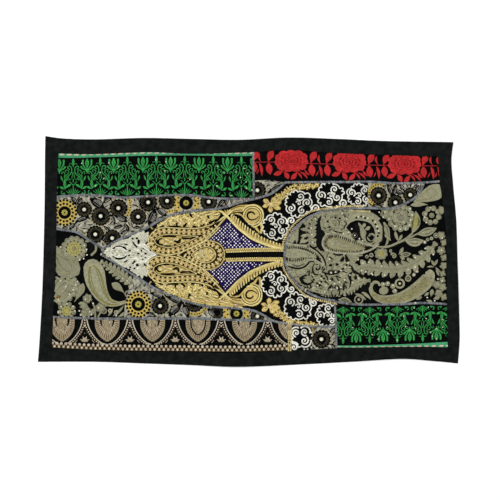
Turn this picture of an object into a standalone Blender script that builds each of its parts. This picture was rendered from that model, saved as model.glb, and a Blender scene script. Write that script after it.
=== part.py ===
"""Embroidered patchwork panel, lying face up.

A black ground cloth carries thirteen patches cut from embroidered textiles and laid edge to edge.
Its margins are folded over to the front as a wide hem with mitred corners, which covers the
patches' outer edges. The panel lies flat on z = 0 but for a few low swells in the cloth.
X runs along its long side and Y along its short side, and the origin is under its middle.
"""

import math

import bmesh
import bpy
from mathutils import Vector
from mathutils.geometry import delaunay_2d_cdt, intersect_point_tri_2d

MM = 0.001

# Driving sizes, in metres
CLOTH_THICKNESS = 0.0010
PATCH_THICKNESS = 0.0012
GAP = 0.0003
HEM_WIDTH = 0.0335
TUCK = 0.0060
STEP_START = 0.0080
STEP_END = 0.0120
EDGE_SPACING = 0.034
SEAM_SPACING = 0.028
LATTICE_SPACING = 0.040

# Heights of the layers over the ground cloth's underside
CLOTH_TOP = CLOTH_THICKNESS
PATCH_BOTTOM = CLOTH_TOP + GAP
PATCH_TOP = PATCH_BOTTOM + PATCH_THICKNESS
HEM_ON_CLOTH = CLOTH_TOP + GAP
HEM_ON_PATCH = PATCH_TOP + GAP

# The panel's outer edge, clockwise from the top left corner: x, y in millimetres
OUTER_EDGE = {
    "top": ((-490, 278), (-445, 272), (-368, 270), (-252, 273), (-137, 271), (-21, 269),
            (95, 274), (210, 271), (326, 266), (442, 264), (493, 263)),
    "right": ((493, 263), (488, 220), (492, 162), (500, 76), (503, -26), (507, -156),
              (508, -214), (504, -270)),
    "bottom": ((504, -270), (442, -264), (365, -259), (249, -266), (133, -272), (-21, -278),
               (-137, -274), (-252, -270), (-368, -266), (-508, -266)),
    "left": ((-508, -266), (-504, -214), (-496, -69), (-492, 105), (-491, 220), (-490, 278)),
}

# The hem's free edge over the patches, side by side in the same order: x, y in millimetres
INNER_EDGE = {
    "top": ((-458, 237), (-385, 234), (-301, 237), (-238, 239), (-133, 235), (11, 239),
            (99, 244), (208, 237), (345, 232), (456, 228)),
    "right": ((456, 228), (460, 167), (474, 53), (477, -122), (479, -232)),
    "bottom": ((479, -232), (437, -230), (352, -230), (220, -233), (98, -239), (-10, -244),
               (-187, -242), (-327, -240), (-474, -233)),
    "left": ((-474, -233), (-469, -112), (-465, -52), (-463, 27), (-462, 136), (-458, 237)),
}

# The round opening of the yoke, which the right paisley cloth fills: an arc of an ellipse
ROUND_MIDDLE = (216, -9)
ROUND_RADII = (132, 112)
ROUND_ANGLES = (85, 266)
ROUND_PIECES = 15

# Seams between patches: x, y in millimetres. Seams that meet share a point, written alike in both.
# Those that run out to the hem end under it.
SEAMS = {
    "green_upper_foot": ((-486, 131), (-385, 136), (-301, 130), (-262, 132), (-151, 136),
                         (-78, 128), (12, 126)),
    "green_upper_side": ((11, 258), (11, 215), (12, 171), (12, 126)),
    "scrap_head": ((12, 171), (51, 172), (88, 166)),
    "rose_foot": ((88, 166), (181, 167), (237, 167), (287, 168), (355, 164), (422, 166), (482, 169)),
    "strip_upper_foot": ((-486, 55), (-442, 51), (-415, 46), (-392, 32), (-351, 6)),
    "yoke_nose": ((-351, 6), (-351, -8)),
    "yoke_head": ((-351, 6), (-310, 29), (-249, 55), (-195, 84), (-134, 97), (-72, 103),
                  (-10, 121), (12, 126), (56, 140), (88, 166)),
    "yoke_foot": ((-351, -8), (-301, -42), (-277, -57), (-233, -85), (-187, -106), (-110, -130),
                  (5, -141), (59, -167), (99, -174), (152, -180), (210, -181)),
    "arch_head": ((-495, -158), (-387, -161), (-301, -162), (-142, -162), (21, -167), (59, -167)),
    "left_cloth_side": ((-277, -57), (-289, -91), (-298, -124), (-301, -162)),
    "cloud_end": ((287, 168), (287, 104)),
    "arch_side": ((99, -174), (101, -258)),
    "scroll_side": ((152, -180), (152, -258)),
}
ROUND_HEAD = ((287, 104), (336, 103), (363, 109), (386, 120), (403, 132), (415, 148), (422, 166))
ROUND_FOOT = ((266, -128), (369, -127), (420, -124), (496, -127))
GREEN_LOWER_SIDE = ((210, -181), (211, -256))

# Each patch: a point inside it, x, y in millimetres, and its main colour as linear red, green, blue
PATCHES = {
    "green_border_upper": ((-200, 180), (0.02, 0.17, 0.06)),
    "rose_border": ((250, 200), (0.45, 0.02, 0.03)),
    "flower_strip_upper": ((-350, 80), (0.22, 0.21, 0.18)),
    "flower_scrap_top": ((40, 150), (0.20, 0.20, 0.20)),
    "yoke": ((-100, 0), (0.55, 0.38, 0.12)),
    "flower_scrap_right": ((340, 135), (0.16, 0.15, 0.13)),
    "paisley_cloth_right": ((300, 0), (0.26, 0.26, 0.17)),
    "paisley_cloth_left": ((-400, -60), (0.26, 0.26, 0.17)),
    "flower_strip_lower": ((-220, -130), (0.20, 0.19, 0.15)),
    "arch_border": ((-200, -200), (0.36, 0.28, 0.20)),
    "scroll_scrap": ((125, -210), (0.50, 0.49, 0.44)),
    "flower_scrap_bottom": ((180, -210), (0.10, 0.09, 0.07)),
    "green_border_lower": ((350, -180), (0.02, 0.17, 0.06)),
}
HEM_BLACK = (0.011, 0.012, 0.012)
CLOTH_ROUGHNESS = 0.85

# Low swells where the cloth doesn't lie quite flat, in millimetres and degrees:
# middle x, middle y, height, half length, half width, turn from the X axis
SWELLS = (
    (-250, 268, 2.6, 150, 100, 0),
    (98, 272, 2.8, 160, 110, 0),
    (352, -250, 2.4, 170, 110, -4),
    (-30, -275, 2.2, 190, 110, 0),
    (-500, -40, 2.2, 170, 100, 90),
    (500, -90, 2.4, 180, 110, 90),
    (488, 205, 1.8, 110, 100, 90),
    (-120, 60, 1.6, 210, 110, 24),
    (170, -40, 1.8, 190, 120, -58),
    (-300, -100, 1.5, 180, 110, -38),
    (300, 120, 1.4, 170, 110, 6),
)


def clear_scene():
    for obj in list(bpy.data.objects):
        bpy.data.objects.remove(obj, do_unlink=True)


def metres(rows):
    return [Vector((x, y)) * MM for x, y in rows]


def rise(point):
    """Height of the cloth's underside over the surface that it lies on."""
    total = 0.0
    for middle_x, middle_y, height, half_length, half_width, turn in SWELLS:
        dx = point.x / MM - middle_x
        dy = point.y / MM - middle_y
        cosine = math.cos(math.radians(turn))
        sine = math.sin(math.radians(turn))
        along = (dx * cosine + dy * sine) / half_length
        across = (dy * cosine - dx * sine) / half_width
        total += height * max(0.0, 1 - along * along - across * across) ** 3
    return total * MM


def raised(point, height):
    return Vector((point.x, point.y, rise(point) + height))


def smooth_point(before, start, end, after, t):
    """A point between start and end on the smooth curve through all four."""
    linear = (end - before) * t
    square = (before * 2 - start * 5 + end * 4 - after) * t ** 2
    cube = (start * 3 - before - end * 3 + after) * t ** 3
    return start + (linear + square + cube) / 2


def smooth_line(points, spacing):
    """A smooth curve through the points, cut into pieces of about the spacing."""
    line = [points[0]]
    for i in range(len(points) - 1):
        before = points[max(i - 1, 0)]
        after = points[min(i + 2, len(points) - 1)]
        pieces = max(1, round((points[i + 1] - points[i]).length / spacing))
        for piece in range(1, pieces):
            line.append(smooth_point(before, points[i], points[i + 1], after, piece / pieces))
        line.append(points[i + 1])
    return line


def evenly_spaced(line, count):
    """The line's start and count - 1 more points, at equal distances along it."""
    lengths = [0.0]
    for start, end in zip(line, line[1:]):
        lengths.append(lengths[-1] + (end - start).length)
    result = []
    piece = 0
    for i in range(count):
        wanted = lengths[-1] * i / count
        while lengths[piece + 1] < wanted:
            piece += 1
        part = (wanted - lengths[piece]) / (lengths[piece + 1] - lengths[piece])
        result.append(line[piece].lerp(line[piece + 1], part))
    return result


def edge_stations(sides):
    """Points all round a four-sided edge, as many on a side as its partner edge has there."""
    stations = []
    for name, rows in sides.items():
        reference = metres(OUTER_EDGE[name])
        count = round((reference[-1] - reference[0]).length / EDGE_SPACING)
        stations += evenly_spaced(smooth_line(metres(rows), 0.2 * EDGE_SPACING), count)
    return stations


def round_seam():
    """The yoke's round opening, from its top over its left side to its foot."""
    first, last = ROUND_ANGLES
    seam = []
    for piece in range(ROUND_PIECES + 1):
        angle = math.radians(first + (last - first) * piece / ROUND_PIECES)
        x = ROUND_MIDDLE[0] + ROUND_RADII[0] * math.cos(angle)
        y = ROUND_MIDDLE[1] + ROUND_RADII[1] * math.sin(angle)
        seam.append(Vector((x, y)) * MM)
    return seam


def seam_lines():
    lines = [smooth_line(metres(rows), SEAM_SPACING) for rows in SEAMS.values()]
    opening = round_seam()
    lines.append(opening)
    lines.append(smooth_line([opening[0]] + metres(ROUND_HEAD), SEAM_SPACING))
    lines.append(smooth_line([opening[-1]] + metres(ROUND_FOOT), SEAM_SPACING))
    lines.append(smooth_line([opening[-1]] + metres(GREEN_LOWER_SIDE), SEAM_SPACING))
    return lines


def lattice(frame, taken):
    """An even triangular lattice over the frame's box, clear of the points that are taken."""
    row_height = LATTICE_SPACING * math.sqrt(3) / 2
    left = min(point.x for point in frame)
    right = max(point.x for point in frame)
    bottom = min(point.y for point in frame)
    top = max(point.y for point in frame)
    result = []
    for row in range(int((top - bottom) / row_height) + 1):
        shift = LATTICE_SPACING / 2 * (row % 2)
        for column in range(int((right - left) / LATTICE_SPACING) + 1):
            point = Vector((left + column * LATTICE_SPACING + shift, bottom + row * row_height))
            if min((point - other).length for other in taken) > 0.45 * LATTICE_SPACING:
                result.append(point)
    return result


def divide_panel(frame):
    """The panel inside the frame as triangles whose edges follow the frame and every seam.

    Returns the points, the triangles, the edges that no patch crosses, and for each edge that
    lies on the frame the number of its frame side.
    """
    points = list(frame)
    edges = [(i, (i + 1) % len(frame)) for i in range(len(frame))]
    for line in seam_lines():
        edges += [(len(points) + i, len(points) + i + 1) for i in range(len(line) - 1)]
        points += line
    points += lattice(frame, points)
    points, made_edges, triangles, _, edge_sources, _ = delaunay_2d_cdt(points, edges, [], 0, 1e-6)
    barriers = set()
    frame_sides = {}
    for edge, sources in zip(made_edges, edge_sources):
        if sources:
            barriers.add(frozenset(edge))
        for source in sources:
            if source < len(frame):
                frame_sides[frozenset(edge)] = source
    return points, triangles, barriers, frame_sides


def triangle_edges(triangle):
    return [(triangle[i], triangle[(i + 1) % 3]) for i in range(3)]


def fill_from(seed, points, triangles, barriers):
    """The triangles reached from the seed point without crossing a barrier edge."""
    neighbours = {}
    for index, triangle in enumerate(triangles):
        for edge in triangle_edges(triangle):
            neighbours.setdefault(frozenset(edge), []).append(index)
    start = next(
        index
        for index, triangle in enumerate(triangles)
        if intersect_point_tri_2d(seed, *(points[corner] for corner in triangle))
    )
    found = {start}
    waiting = [start]
    while waiting:
        for edge in triangle_edges(triangles[waiting.pop()]):
            if frozenset(edge) in barriers:
                continue
            for other in neighbours[frozenset(edge)]:
                if other not in found:
                    found.add(other)
                    waiting.append(other)
    return [triangles[index] for index in sorted(found)]


def boundary_edges(triangles):
    """The directed edges that only one of the triangles has."""
    directed = {edge for triangle in triangles for edge in triangle_edges(triangle)}
    return sorted(edge for edge in directed if (edge[1], edge[0]) not in directed)


def drawn_in(points, boundary, distance):
    """The boundary's points, each moved inwards by the distance from both of its edges."""
    inward = {}
    for start, end in boundary:
        run = (points[end] - points[start]).normalized()
        for corner in (start, end):
            inward.setdefault(corner, []).append(Vector((-run.y, run.x)))
    moved = {}
    for corner, (first, second) in inward.items():
        moved[corner] = points[corner] + (first + second) * distance / (1 + first.dot(second))
    return moved


def make_object(name, corners, faces, colour):
    mesh = bpy.data.meshes.new(name)
    mesh.from_pydata(corners, [], faces)
    shape = bmesh.new()
    shape.from_mesh(mesh)
    bmesh.ops.recalc_face_normals(shape, faces=shape.faces)
    shape.to_mesh(mesh)
    shape.free()
    mesh.shade_smooth()
    mesh.set_sharp_from_angle(angle=math.radians(40))
    mesh.materials.append(cloth_material(name, colour))
    obj = bpy.data.objects.new(name, mesh)
    bpy.context.scene.collection.objects.link(obj)
    return obj


def cloth_material(name, colour):
    material = bpy.data.materials.new(name)
    material.use_nodes = True
    shader = material.node_tree.nodes["Principled BSDF"]
    shader.inputs["Base Color"].default_value = (*colour, 1)
    shader.inputs["Roughness"].default_value = CLOTH_ROUGHNESS
    shader.inputs["Metallic"].default_value = 0
    return material


def make_patch(name, colour, points, triangles):
    """A patch as one thin solid, half a gap inside its seams."""
    boundary = boundary_edges(triangles)
    outline = drawn_in(points, boundary, GAP / 2)
    used = sorted({corner for triangle in triangles for corner in triangle})
    number = {corner: i for i, corner in enumerate(used)}
    flat = [outline.get(corner, points[corner]) for corner in used]
    corners = [raised(point, PATCH_TOP) for point in flat]
    corners += [raised(point, PATCH_BOTTOM) for point in flat]
    under = len(used)
    faces = [[number[corner] for corner in triangle] for triangle in triangles]
    faces += [[under + corner for corner in reversed(face)] for face in faces]
    for start, end in boundary:
        faces.append([number[end], number[start], under + number[start], under + number[end]])
    return make_object(name, corners, faces, colour)


def hem_section():
    """The hem in section, from the ground cloth's top round the outer fold to its underside.

    Each row is the distance outwards from the hem's free edge and the height.
    """
    slot_end = HEM_WIDTH - 2 * CLOTH_THICKNESS
    fold_radius = CLOTH_THICKNESS + GAP / 2
    return (
        (TUCK, CLOTH_TOP),
        (slot_end, CLOTH_TOP),
        (slot_end + GAP, fold_radius),
        (slot_end, HEM_ON_CLOTH),
        (STEP_END, HEM_ON_CLOTH),
        (STEP_START, HEM_ON_PATCH),
        (0, HEM_ON_PATCH),
        (0, HEM_ON_PATCH + CLOTH_THICKNESS),
        (STEP_START, HEM_ON_PATCH + CLOTH_THICKNESS),
        (STEP_END, HEM_ON_CLOTH + CLOTH_THICKNESS),
        (HEM_WIDTH - fold_radius, 2 * fold_radius),
        (HEM_WIDTH - 0.3 * fold_radius, 1.7 * fold_radius),
        (HEM_WIDTH, fold_radius),
        (HEM_WIDTH - 0.3 * fold_radius, 0.3 * fold_radius),
        (HEM_WIDTH - fold_radius, 0),
        (TUCK, 0),
    )


def ring_places(points, frame, frame_sides):
    """The frame's points in order, seam ends included: point number, frame side, part along it."""
    places = {}
    for edge, side in frame_sides.items():
        start = frame[side]
        run = frame[(side + 1) % len(frame)] - start
        for corner in edge:
            part = (points[corner] - start).dot(run) / run.length_squared
            if part < 0.999:
                places[corner] = (side, max(part, 0.0))
    return [(corner, *places[corner]) for corner in sorted(places, key=places.get)]


def between(stations, side, part):
    return stations[side].lerp(stations[(side + 1) % len(stations)], part)


def make_ground_cloth(points, triangles, inner, outer, frame, frame_sides):
    """The ground cloth with its margins folded over to the front, as one closed solid."""
    used = sorted({corner for triangle in triangles for corner in triangle})
    top = {corner: i for i, corner in enumerate(used)}
    under = {corner: i + len(used) for i, corner in enumerate(used)}
    corners = [raised(points[corner], CLOTH_TOP) for corner in used]
    corners += [raised(points[corner], 0) for corner in used]
    faces = [[top[corner] for corner in triangle] for triangle in triangles]
    faces += [[under[corner] for corner in reversed(triangle)] for triangle in triangles]
    ribs = []
    for corner, side, part in ring_places(points, frame, frame_sides):
        free_edge = between(inner, side, part)
        fold = between(outer, side, part)
        rib = [top[corner]]
        for distance, height in hem_section()[1:-1]:
            rib.append(len(corners))
            corners.append(raised(free_edge.lerp(fold, distance / HEM_WIDTH), height))
        rib.append(under[corner])
        ribs.append(rib)
    for rib, following in zip(ribs, ribs[1:] + ribs[:1]):
        for row in range(len(rib) - 1):
            faces.append([rib[row], following[row], following[row + 1], rib[row + 1]])
    return make_object("black_cloth", corners, faces, HEM_BLACK)


def main():
    clear_scene()
    inner = edge_stations(INNER_EDGE)
    outer = edge_stations(OUTER_EDGE)
    frame = [edge.lerp(fold, TUCK / HEM_WIDTH) for edge, fold in zip(inner, outer)]
    points, triangles, barriers, frame_sides = divide_panel(frame)
    every_triangle = []
    for name, (inside, colour) in PATCHES.items():
        patch = fill_from(Vector(inside) * MM, points, triangles, barriers)
        make_patch(name, colour, points, patch)
        every_triangle += patch
    make_ground_cloth(points, every_triangle, inner, outer, frame, frame_sides)


main()
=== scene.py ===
"""Looks of the embroidered patchwork panel, laid out as an add-on and run as a script.

The panel lies face up: a black ground cloth with its margins turned over as a hem, thirteen
patches of old embroidery, grey overcast seams, and thread, braid and beads raised on the patches.
"""

import math

import bmesh
import bpy
import numpy as np
from bpy.props import FloatProperty, FloatVectorProperty, PointerProperty
from bpy.types import Operator, Panel, PropertyGroup
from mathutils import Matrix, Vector


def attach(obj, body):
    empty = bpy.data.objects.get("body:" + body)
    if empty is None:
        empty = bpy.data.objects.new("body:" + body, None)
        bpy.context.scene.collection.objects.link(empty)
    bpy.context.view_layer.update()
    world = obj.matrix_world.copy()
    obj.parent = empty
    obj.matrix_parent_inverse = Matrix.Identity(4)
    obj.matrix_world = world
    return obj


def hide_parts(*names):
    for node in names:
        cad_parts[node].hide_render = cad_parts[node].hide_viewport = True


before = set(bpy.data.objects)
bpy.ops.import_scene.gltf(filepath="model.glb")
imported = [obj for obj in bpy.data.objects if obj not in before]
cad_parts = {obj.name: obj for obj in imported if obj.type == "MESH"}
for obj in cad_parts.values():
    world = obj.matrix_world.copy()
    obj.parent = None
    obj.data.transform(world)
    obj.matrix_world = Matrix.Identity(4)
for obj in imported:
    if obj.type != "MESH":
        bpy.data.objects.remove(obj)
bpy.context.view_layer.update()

bl_info = {
    "name": "Embroidered patchwork panel",
    "version": (1, 0, 0),
    "blender": (4, 5, 0),
    "location": "3D View > Sidebar > Patchwork",
    "description": "Dresses the packed patchwork panel with its hem, patches, embroidery and beads",
    "category": "Object",
}

MM = 0.001

# Where a pixel of the 500 by 500 photograph lies on the panel, in metres
PHOTO_PIXEL = 0.00241
PHOTO_MIDDLE = (248.75, 251.4)

# Layer heights over the ground cloth's underside, in millimetres, as in the solids
CLOTH_THICKNESS = 1.0
LAYER_GAP = 0.3
PATCH_BOTTOM = 1.3
PATCH_TOP = 2.5
HEM_WIDTH = 33.5
TUCK = 6.0

# The panel's outer edge and the hem's free edge, clockwise from the top left corner:
# x, y in millimetres
OUTER_EDGE = {
    "top": (
        (-490, 278), (-445, 272), (-368, 270), (-252, 273), (-137, 271), (-21, 269), (95, 274),
        (210, 271), (326, 266), (442, 264), (493, 263),
    ),
    "right": (
        (493, 263), (488, 220), (492, 162), (500, 76), (503, -26), (507, -156), (508, -214), (504, -270),
    ),
    "bottom": (
        (504, -270), (442, -264), (365, -259), (249, -266), (133, -272), (-21, -278), (-137, -274),
        (-252, -270), (-368, -266), (-508, -266),
    ),
    "left": ((-508, -266), (-504, -214), (-496, -69), (-492, 105), (-491, 220), (-490, 278)),
}
INNER_EDGE = {
    "top": (
        (-458, 237), (-385, 234), (-301, 237), (-238, 239), (-133, 235), (11, 239), (99, 244), (208, 237),
        (345, 232), (456, 228),
    ),
    "right": ((456, 228), (460, 167), (474, 53), (477, -122), (479, -232)),
    "bottom": (
        (479, -232), (437, -230), (352, -230), (220, -233), (98, -239), (-10, -244), (-187, -242),
        (-327, -240), (-474, -233),
    ),
    "left": ((-474, -233), (-469, -112), (-465, -52), (-463, 27), (-462, 136), (-458, 237)),
}
EDGE_STEPS = {"top": 128, "right": 70, "bottom": 128, "left": 70}

# Low swells in the cloth, in millimetres and degrees, as in the solids:
# middle x, middle y, height, half length, half width, turn from the X axis
SWELLS = (
    (-250, 268, 2.6, 150, 100, 0), (98, 272, 2.8, 160, 110, 0), (352, -250, 2.4, 170, 110, -4),
    (-30, -275, 2.2, 190, 110, 0), (-500, -40, 2.2, 170, 100, 90), (500, -90, 2.4, 180, 110, 90),
    (488, 205, 1.8, 110, 100, 90), (-120, 60, 1.6, 210, 110, 24), (170, -40, 1.8, 190, 120, -58),
    (-300, -100, 1.5, 180, 110, -38), (300, 120, 1.4, 170, 110, 6),
)

# Creases pressed into the hem: x, y, length, width, turn in degrees, depth, in
# millimetres. The first four are the mitred corners.
CREASES = (
    (-474, 257, 56, 3, -52, 1.1), (475, 246, 52, 3, 45, 1.1), (492, -251, 52, 3, -56, 1.1),
    (-491, -250, 56, 3, 44, 1.1), (476, 201, 46, 7, 2, 1.1), (474, 214, 40, 5, -6, 0.8),
    (462, 252, 44, 6, 12, 0.7), (-482, -19, 40, 6, 4, 0.9), (-466, -252, 36, 5, 58, 0.8),
    (-414, -254, 34, 6, 62, 0.7), (-300, 254, 60, 8, 12, 0.6), (240, 256, 70, 9, -9, 0.6),
    (60, -256, 80, 9, 8, 0.6), (300, -246, 60, 8, -14, 0.6), (491, -40, 60, 8, 80, 0.6),
    (-484, 120, 60, 8, 97, 0.6),
)

# Seams with a grey overcast cord: x, y in millimetres
SEAM_CORDS = {
    "green_upper_foot": (
        (-472, 131), (-385, 136), (-301, 130), (-262, 132), (-151, 136), (-78, 128), (12, 126),
    ),
    "green_upper_side": ((11, 240), (11, 215), (12, 171), (12, 126)),
    "rose_foot": ((88, 166), (181, 167), (237, 167), (287, 168), (355, 164), (422, 166), (463, 169)),
    "strip_upper_foot": ((-472, 55), (-442, 51), (-415, 46), (-392, 32), (-351, 6)),
    "yoke_nose": ((-351, 6), (-352, -1), (-351, -8)),
    "yoke_head": (
        (-351, 6), (-310, 29), (-249, 55), (-195, 84), (-134, 97), (-72, 103), (-10, 121), (12, 126),
        (56, 140), (88, 166),
    ),
    "yoke_foot": (
        (-351, -8), (-301, -42), (-277, -57), (-233, -85), (-187, -106), (-110, -130), (5, -141),
        (59, -167), (99, -174), (152, -180), (210, -181),
    ),
    "arch_head": ((-473, -158), (-387, -161), (-301, -162), (-142, -162), (21, -167), (59, -167)),
    "round_head": (
        (228, 103), (287, 104), (336, 103), (363, 109), (386, 120), (403, 132), (415, 148), (422, 166),
    ),
    "round_foot": ((207, -121), (266, -128), (369, -127), (420, -124), (480, -127)),
    "green_lower_side": ((207, -121), (210, -181), (211, -236)),
}
ROUND_MIDDLE = (216, -9)
ROUND_RADII = (132, 112)

# Threads whose colour isn't in the sidebar; those whose names say painted shade stand for shade under and
# beside raised stitches
THREADS = {
    "deep green": "#17693a",
    "deep red": "#8a171b",
    "deep gold": "#ab8f4e",
    "dark gold": "#4a3817",
    "band green": "#4aa070",
    "ink": "#040505",
    "bone": "#cecdb6",
    "silver": "#a8a69c",
    "pale olive": "#bcb99c",
    "yellow olive": "#b0a85e",
    "deep olive": "#5d5d4a",
    "muted yellow": "#938e66",
    "pale sand": "#d3c6ae",
    "ochre": "#8f6a30",
    "bead tan": "#e9cfa4",
    "coffee": "#5e4a2b",
    "thread shade": "#8f907e",
    "swirl gold": "#9a9068",
    "silver grey": "#98968c",
    "heart yellow": "#b5ac52",
    "stem beige": "#a09468",
    "worn gold": "#cbb26d",
}


def hex_to_linear(colour):
    """A colour written as sRGB hex, as linear red, green and blue."""
    channels = [int(colour[i:i + 2], 16) / 255 for i in (1, 3, 5)]
    return [c / 12.92 if c <= 0.04045 else ((c + 0.055) / 1.055) ** 2.4 for c in channels]


def linear(colour):
    """A colour's linear channels, from sRGB hex or from a colour of the sidebar."""
    return hex_to_linear(colour) if isinstance(colour, str) else list(colour)


def shade(colour, factor):
    """A colour made lighter or darker by a factor."""
    return [min(1.0, channel * factor) for channel in linear(colour)]


def thread_colour(name):
    """A thread's linear colour: the sidebar's where it has this thread, else the list's."""
    chosen = getattr(bpy.context.scene.patchwork.colours, name.replace(" ", "_"), None)
    return linear(THREADS[name] if chosen is None else chosen)


def along_and_across(x, y, middle_x, middle_y, turn):
    """Points x, y in metres as millimetres along and across a line that is turned about a middle."""
    dx, dy = x / MM - middle_x, y / MM - middle_y
    cosine, sine = math.cos(math.radians(turn)), math.sin(math.radians(turn))
    return dx * cosine + dy * sine, dy * cosine - dx * sine


def rise(x, y):
    """Height in metres of the cloth's underside at points x, y in metres."""
    total = np.zeros(np.shape(x))
    for middle_x, middle_y, height, half_length, half_width, turn in SWELLS:
        along, across = along_and_across(x, y, middle_x, middle_y, turn)
        total += height * np.maximum(0.0, 1 - (along / half_length) ** 2 - (across / half_width) ** 2) ** 3
    return total * MM


def smooth_line(points, step):
    """A smooth curve through the points, with a point about every step."""
    points = np.asarray(points, float)
    ends = np.vstack([points[:1], points, points[-1:]])
    line = [points[:1]]
    for i in range(len(points) - 1):
        before, start, end, after = ends[i:i + 4]
        pieces = max(1, round(float(np.hypot(*(end - start))) / step))
        t = (np.arange(1, pieces + 1) / pieces)[:, None]
        straight = (end - before) * t
        square = (before * 2 - start * 5 + end * 4 - after) * t ** 2
        cube = (start * 3 - before - end * 3 + after) * t ** 3
        line.append(start + (straight + square + cube) / 2)
    return np.vstack(line)


def distances(line):
    """How far along a line each of its points lies."""
    return np.concatenate([[0], np.cumsum(np.hypot(*np.diff(line, axis=0).T))])


def ways_along(line):
    """The way that a line runs at each of its points, as unit vectors."""
    tangent = np.gradient(line, axis=0)
    return tangent / np.maximum(np.hypot(*tangent.T), 1e-9)[:, None]


def sideways(way):
    """A way, or each of many, turned a quarter to its side."""
    return np.stack([-way[..., 1], way[..., 0]], axis=-1)


def swelling_line(rows, step):
    """A smooth line through rows of x, y and width, and the width at each of its points."""
    rows = np.asarray(rows, float)
    path = smooth_line(rows[:, :2], step)
    lengths, along = distances(rows[:, :2]), distances(path)
    return path, np.interp(along / along[-1], lengths / lengths[-1], rows[:, 2])


def evenly_spaced(line, count):
    """count + 1 points at equal distances along the line, both ends included."""
    lengths = distances(line)
    wanted = np.linspace(0, lengths[-1], count + 1)
    return np.stack([np.interp(wanted, lengths, line[:, k]) for k in (0, 1)], axis=1)


def edge_line(sides, name):
    """One side of the edge in metres, with that side's number of points."""
    return evenly_spaced(smooth_line(np.array(sides[name]) * MM, 5 * MM), EDGE_STEPS[name])


def edge_loop(sides):
    """All the sides as one closed loop, each corner once."""
    return np.vstack([edge_line(sides, name)[:-1] for name in EDGE_STEPS])


OPENING = {name: edge_line(INNER_EDGE, name) for name in EDGE_STEPS}


def within_opening(x, y):
    """The points moved to the hem's free edge where they lie under the hem."""
    top = np.interp(x, *OPENING["top"].T)
    bottom = np.interp(x, *OPENING["bottom"][::-1].T)
    y = np.clip(y, bottom, top)
    left = np.interp(y, OPENING["left"][:, 1], OPENING["left"][:, 0])
    right = np.interp(y, OPENING["right"][::-1, 1], OPENING["right"][::-1, 0])
    return np.clip(x, left, right), y


def place(pixels):
    """Points given as photo column and row, as x, y in metres on the panel."""
    pixels = np.asarray(pixels, float)
    x = (pixels[..., 0] - PHOTO_MIDDLE[0]) * PHOTO_PIXEL
    y = (PHOTO_MIDDLE[1] - pixels[..., 1]) * PHOTO_PIXEL
    return np.stack([x, y], axis=-1)


# Node trees

def add_node(tree, kind, settings=None, inputs=None):
    """Adds one node. An input is a value, or a node and the name or number of its output."""
    node = tree.nodes.new(kind)
    for key, value in (settings or {}).items():
        setattr(node, key, value)
    for key, value in (inputs or {}).items():
        if isinstance(value, tuple) and isinstance(value[0], bpy.types.Node):
            tree.links.new(value[0].outputs[value[1]], node.inputs[key])
        else:
            node.inputs[key].default_value = value
    return node


def new_material(name, colour, roughness, metallic=0.0, specular=0.5):
    """A material, its tree and its Principled shader, with what is even set on the shader."""
    material = bpy.data.materials.new(name)
    material.use_nodes = True
    shader = material.node_tree.nodes["Principled BSDF"]
    shader.inputs["Base Color"].default_value = (*linear(colour), 1)
    shader.inputs["Roughness"].default_value = roughness
    shader.inputs["Metallic"].default_value = metallic
    shader.inputs["Specular IOR Level"].default_value = specular
    material.diffuse_color = (*linear(colour), 1)
    return material, material.node_tree, shader


def mottle(tree, coordinates, size_mm, colours):
    """Blends two colours by a noise whose patches are about size_mm across."""
    noise = add_node(tree, "ShaderNodeTexNoise", {},
                     {"Vector": (coordinates, "Object"), "Scale": 1 / (size_mm * MM), "Detail": 3.0})
    ramp = add_node(tree, "ShaderNodeValToRGB", {}, {"Fac": (noise, "Fac")})
    for element, position, colour in zip(ramp.color_ramp.elements, (0.35, 0.65), colours):
        element.position = position
        element.color = (*linear(colour), 1)
    return ramp


def weave_bump(tree, coordinates, shader, pitch_mm, depth_mm):
    """A plain weave: threads over and under each other, a pitch apart both ways."""
    scale = 2 * math.pi / (pitch_mm * MM)
    split = add_node(tree, "ShaderNodeSeparateXYZ", {}, {"Vector": (coordinates, "Object")})
    waves = []
    for axis in ("X", "Y"):
        scaled = add_node(tree, "ShaderNodeMath", {"operation": "MULTIPLY"}, {0: (split, axis), 1: scale})
        waves.append(add_node(tree, "ShaderNodeMath", {"operation": "SINE"}, {0: (scaled, 0)}))
    crossed = add_node(tree, "ShaderNodeMath", {"operation": "MULTIPLY"},
                       {0: (waves[0], 0), 1: (waves[1], 0)})
    bump = add_node(tree, "ShaderNodeBump", {},
                    {"Height": (crossed, 0), "Distance": depth_mm * MM, "Strength": 0.6})
    tree.links.new(bump.outputs["Normal"], shader.inputs["Normal"])


def woven_cloth(name, colours, mottle_mm, pitch_mm, roughness=0.9, specular=0.02):
    """Plain-woven cloth: matt, mottled between two colours, with a fine grid of threads. The mottle is
    uneven dye, on the hem also painted shade of small folds and on the silver cloth painted reflection.
    """
    material, tree, shader = new_material(name, colours[0], roughness, specular=specular)
    coordinates = add_node(tree, "ShaderNodeTexCoord")
    ramp = mottle(tree, coordinates, mottle_mm, colours)
    tree.links.new(ramp.outputs["Color"], shader.inputs["Base Color"])
    weave_bump(tree, coordinates, shader, pitch_mm, 0.15)
    return material


def moulded_bead(name, colour, roughness):
    """Moulded beads: a smooth coat, a little uneven in tone and gloss from bead to bead."""
    material, tree, shader = new_material(name, colour, roughness)
    coordinates = add_node(tree, "ShaderNodeTexCoord")
    ramp = mottle(tree, coordinates, 9, (shade(colour, 0.84), shade(colour, 1.08)))
    tree.links.new(ramp.outputs["Color"], shader.inputs["Base Color"])
    worn = add_node(tree, "ShaderNodeTexNoise", {},
                    {"Vector": (coordinates, "Object"), "Scale": 1 / (4.0 * MM), "Detail": 2.0})
    dulled = add_node(tree, "ShaderNodeMapRange", {},
                      {"Value": (worn, "Fac"), "From Min": 0.3, "From Max": 0.7,
                       "To Min": roughness - 0.08, "To Max": roughness + 0.12})
    tree.links.new(dulled.outputs["Result"], shader.inputs["Roughness"])
    return material


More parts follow.
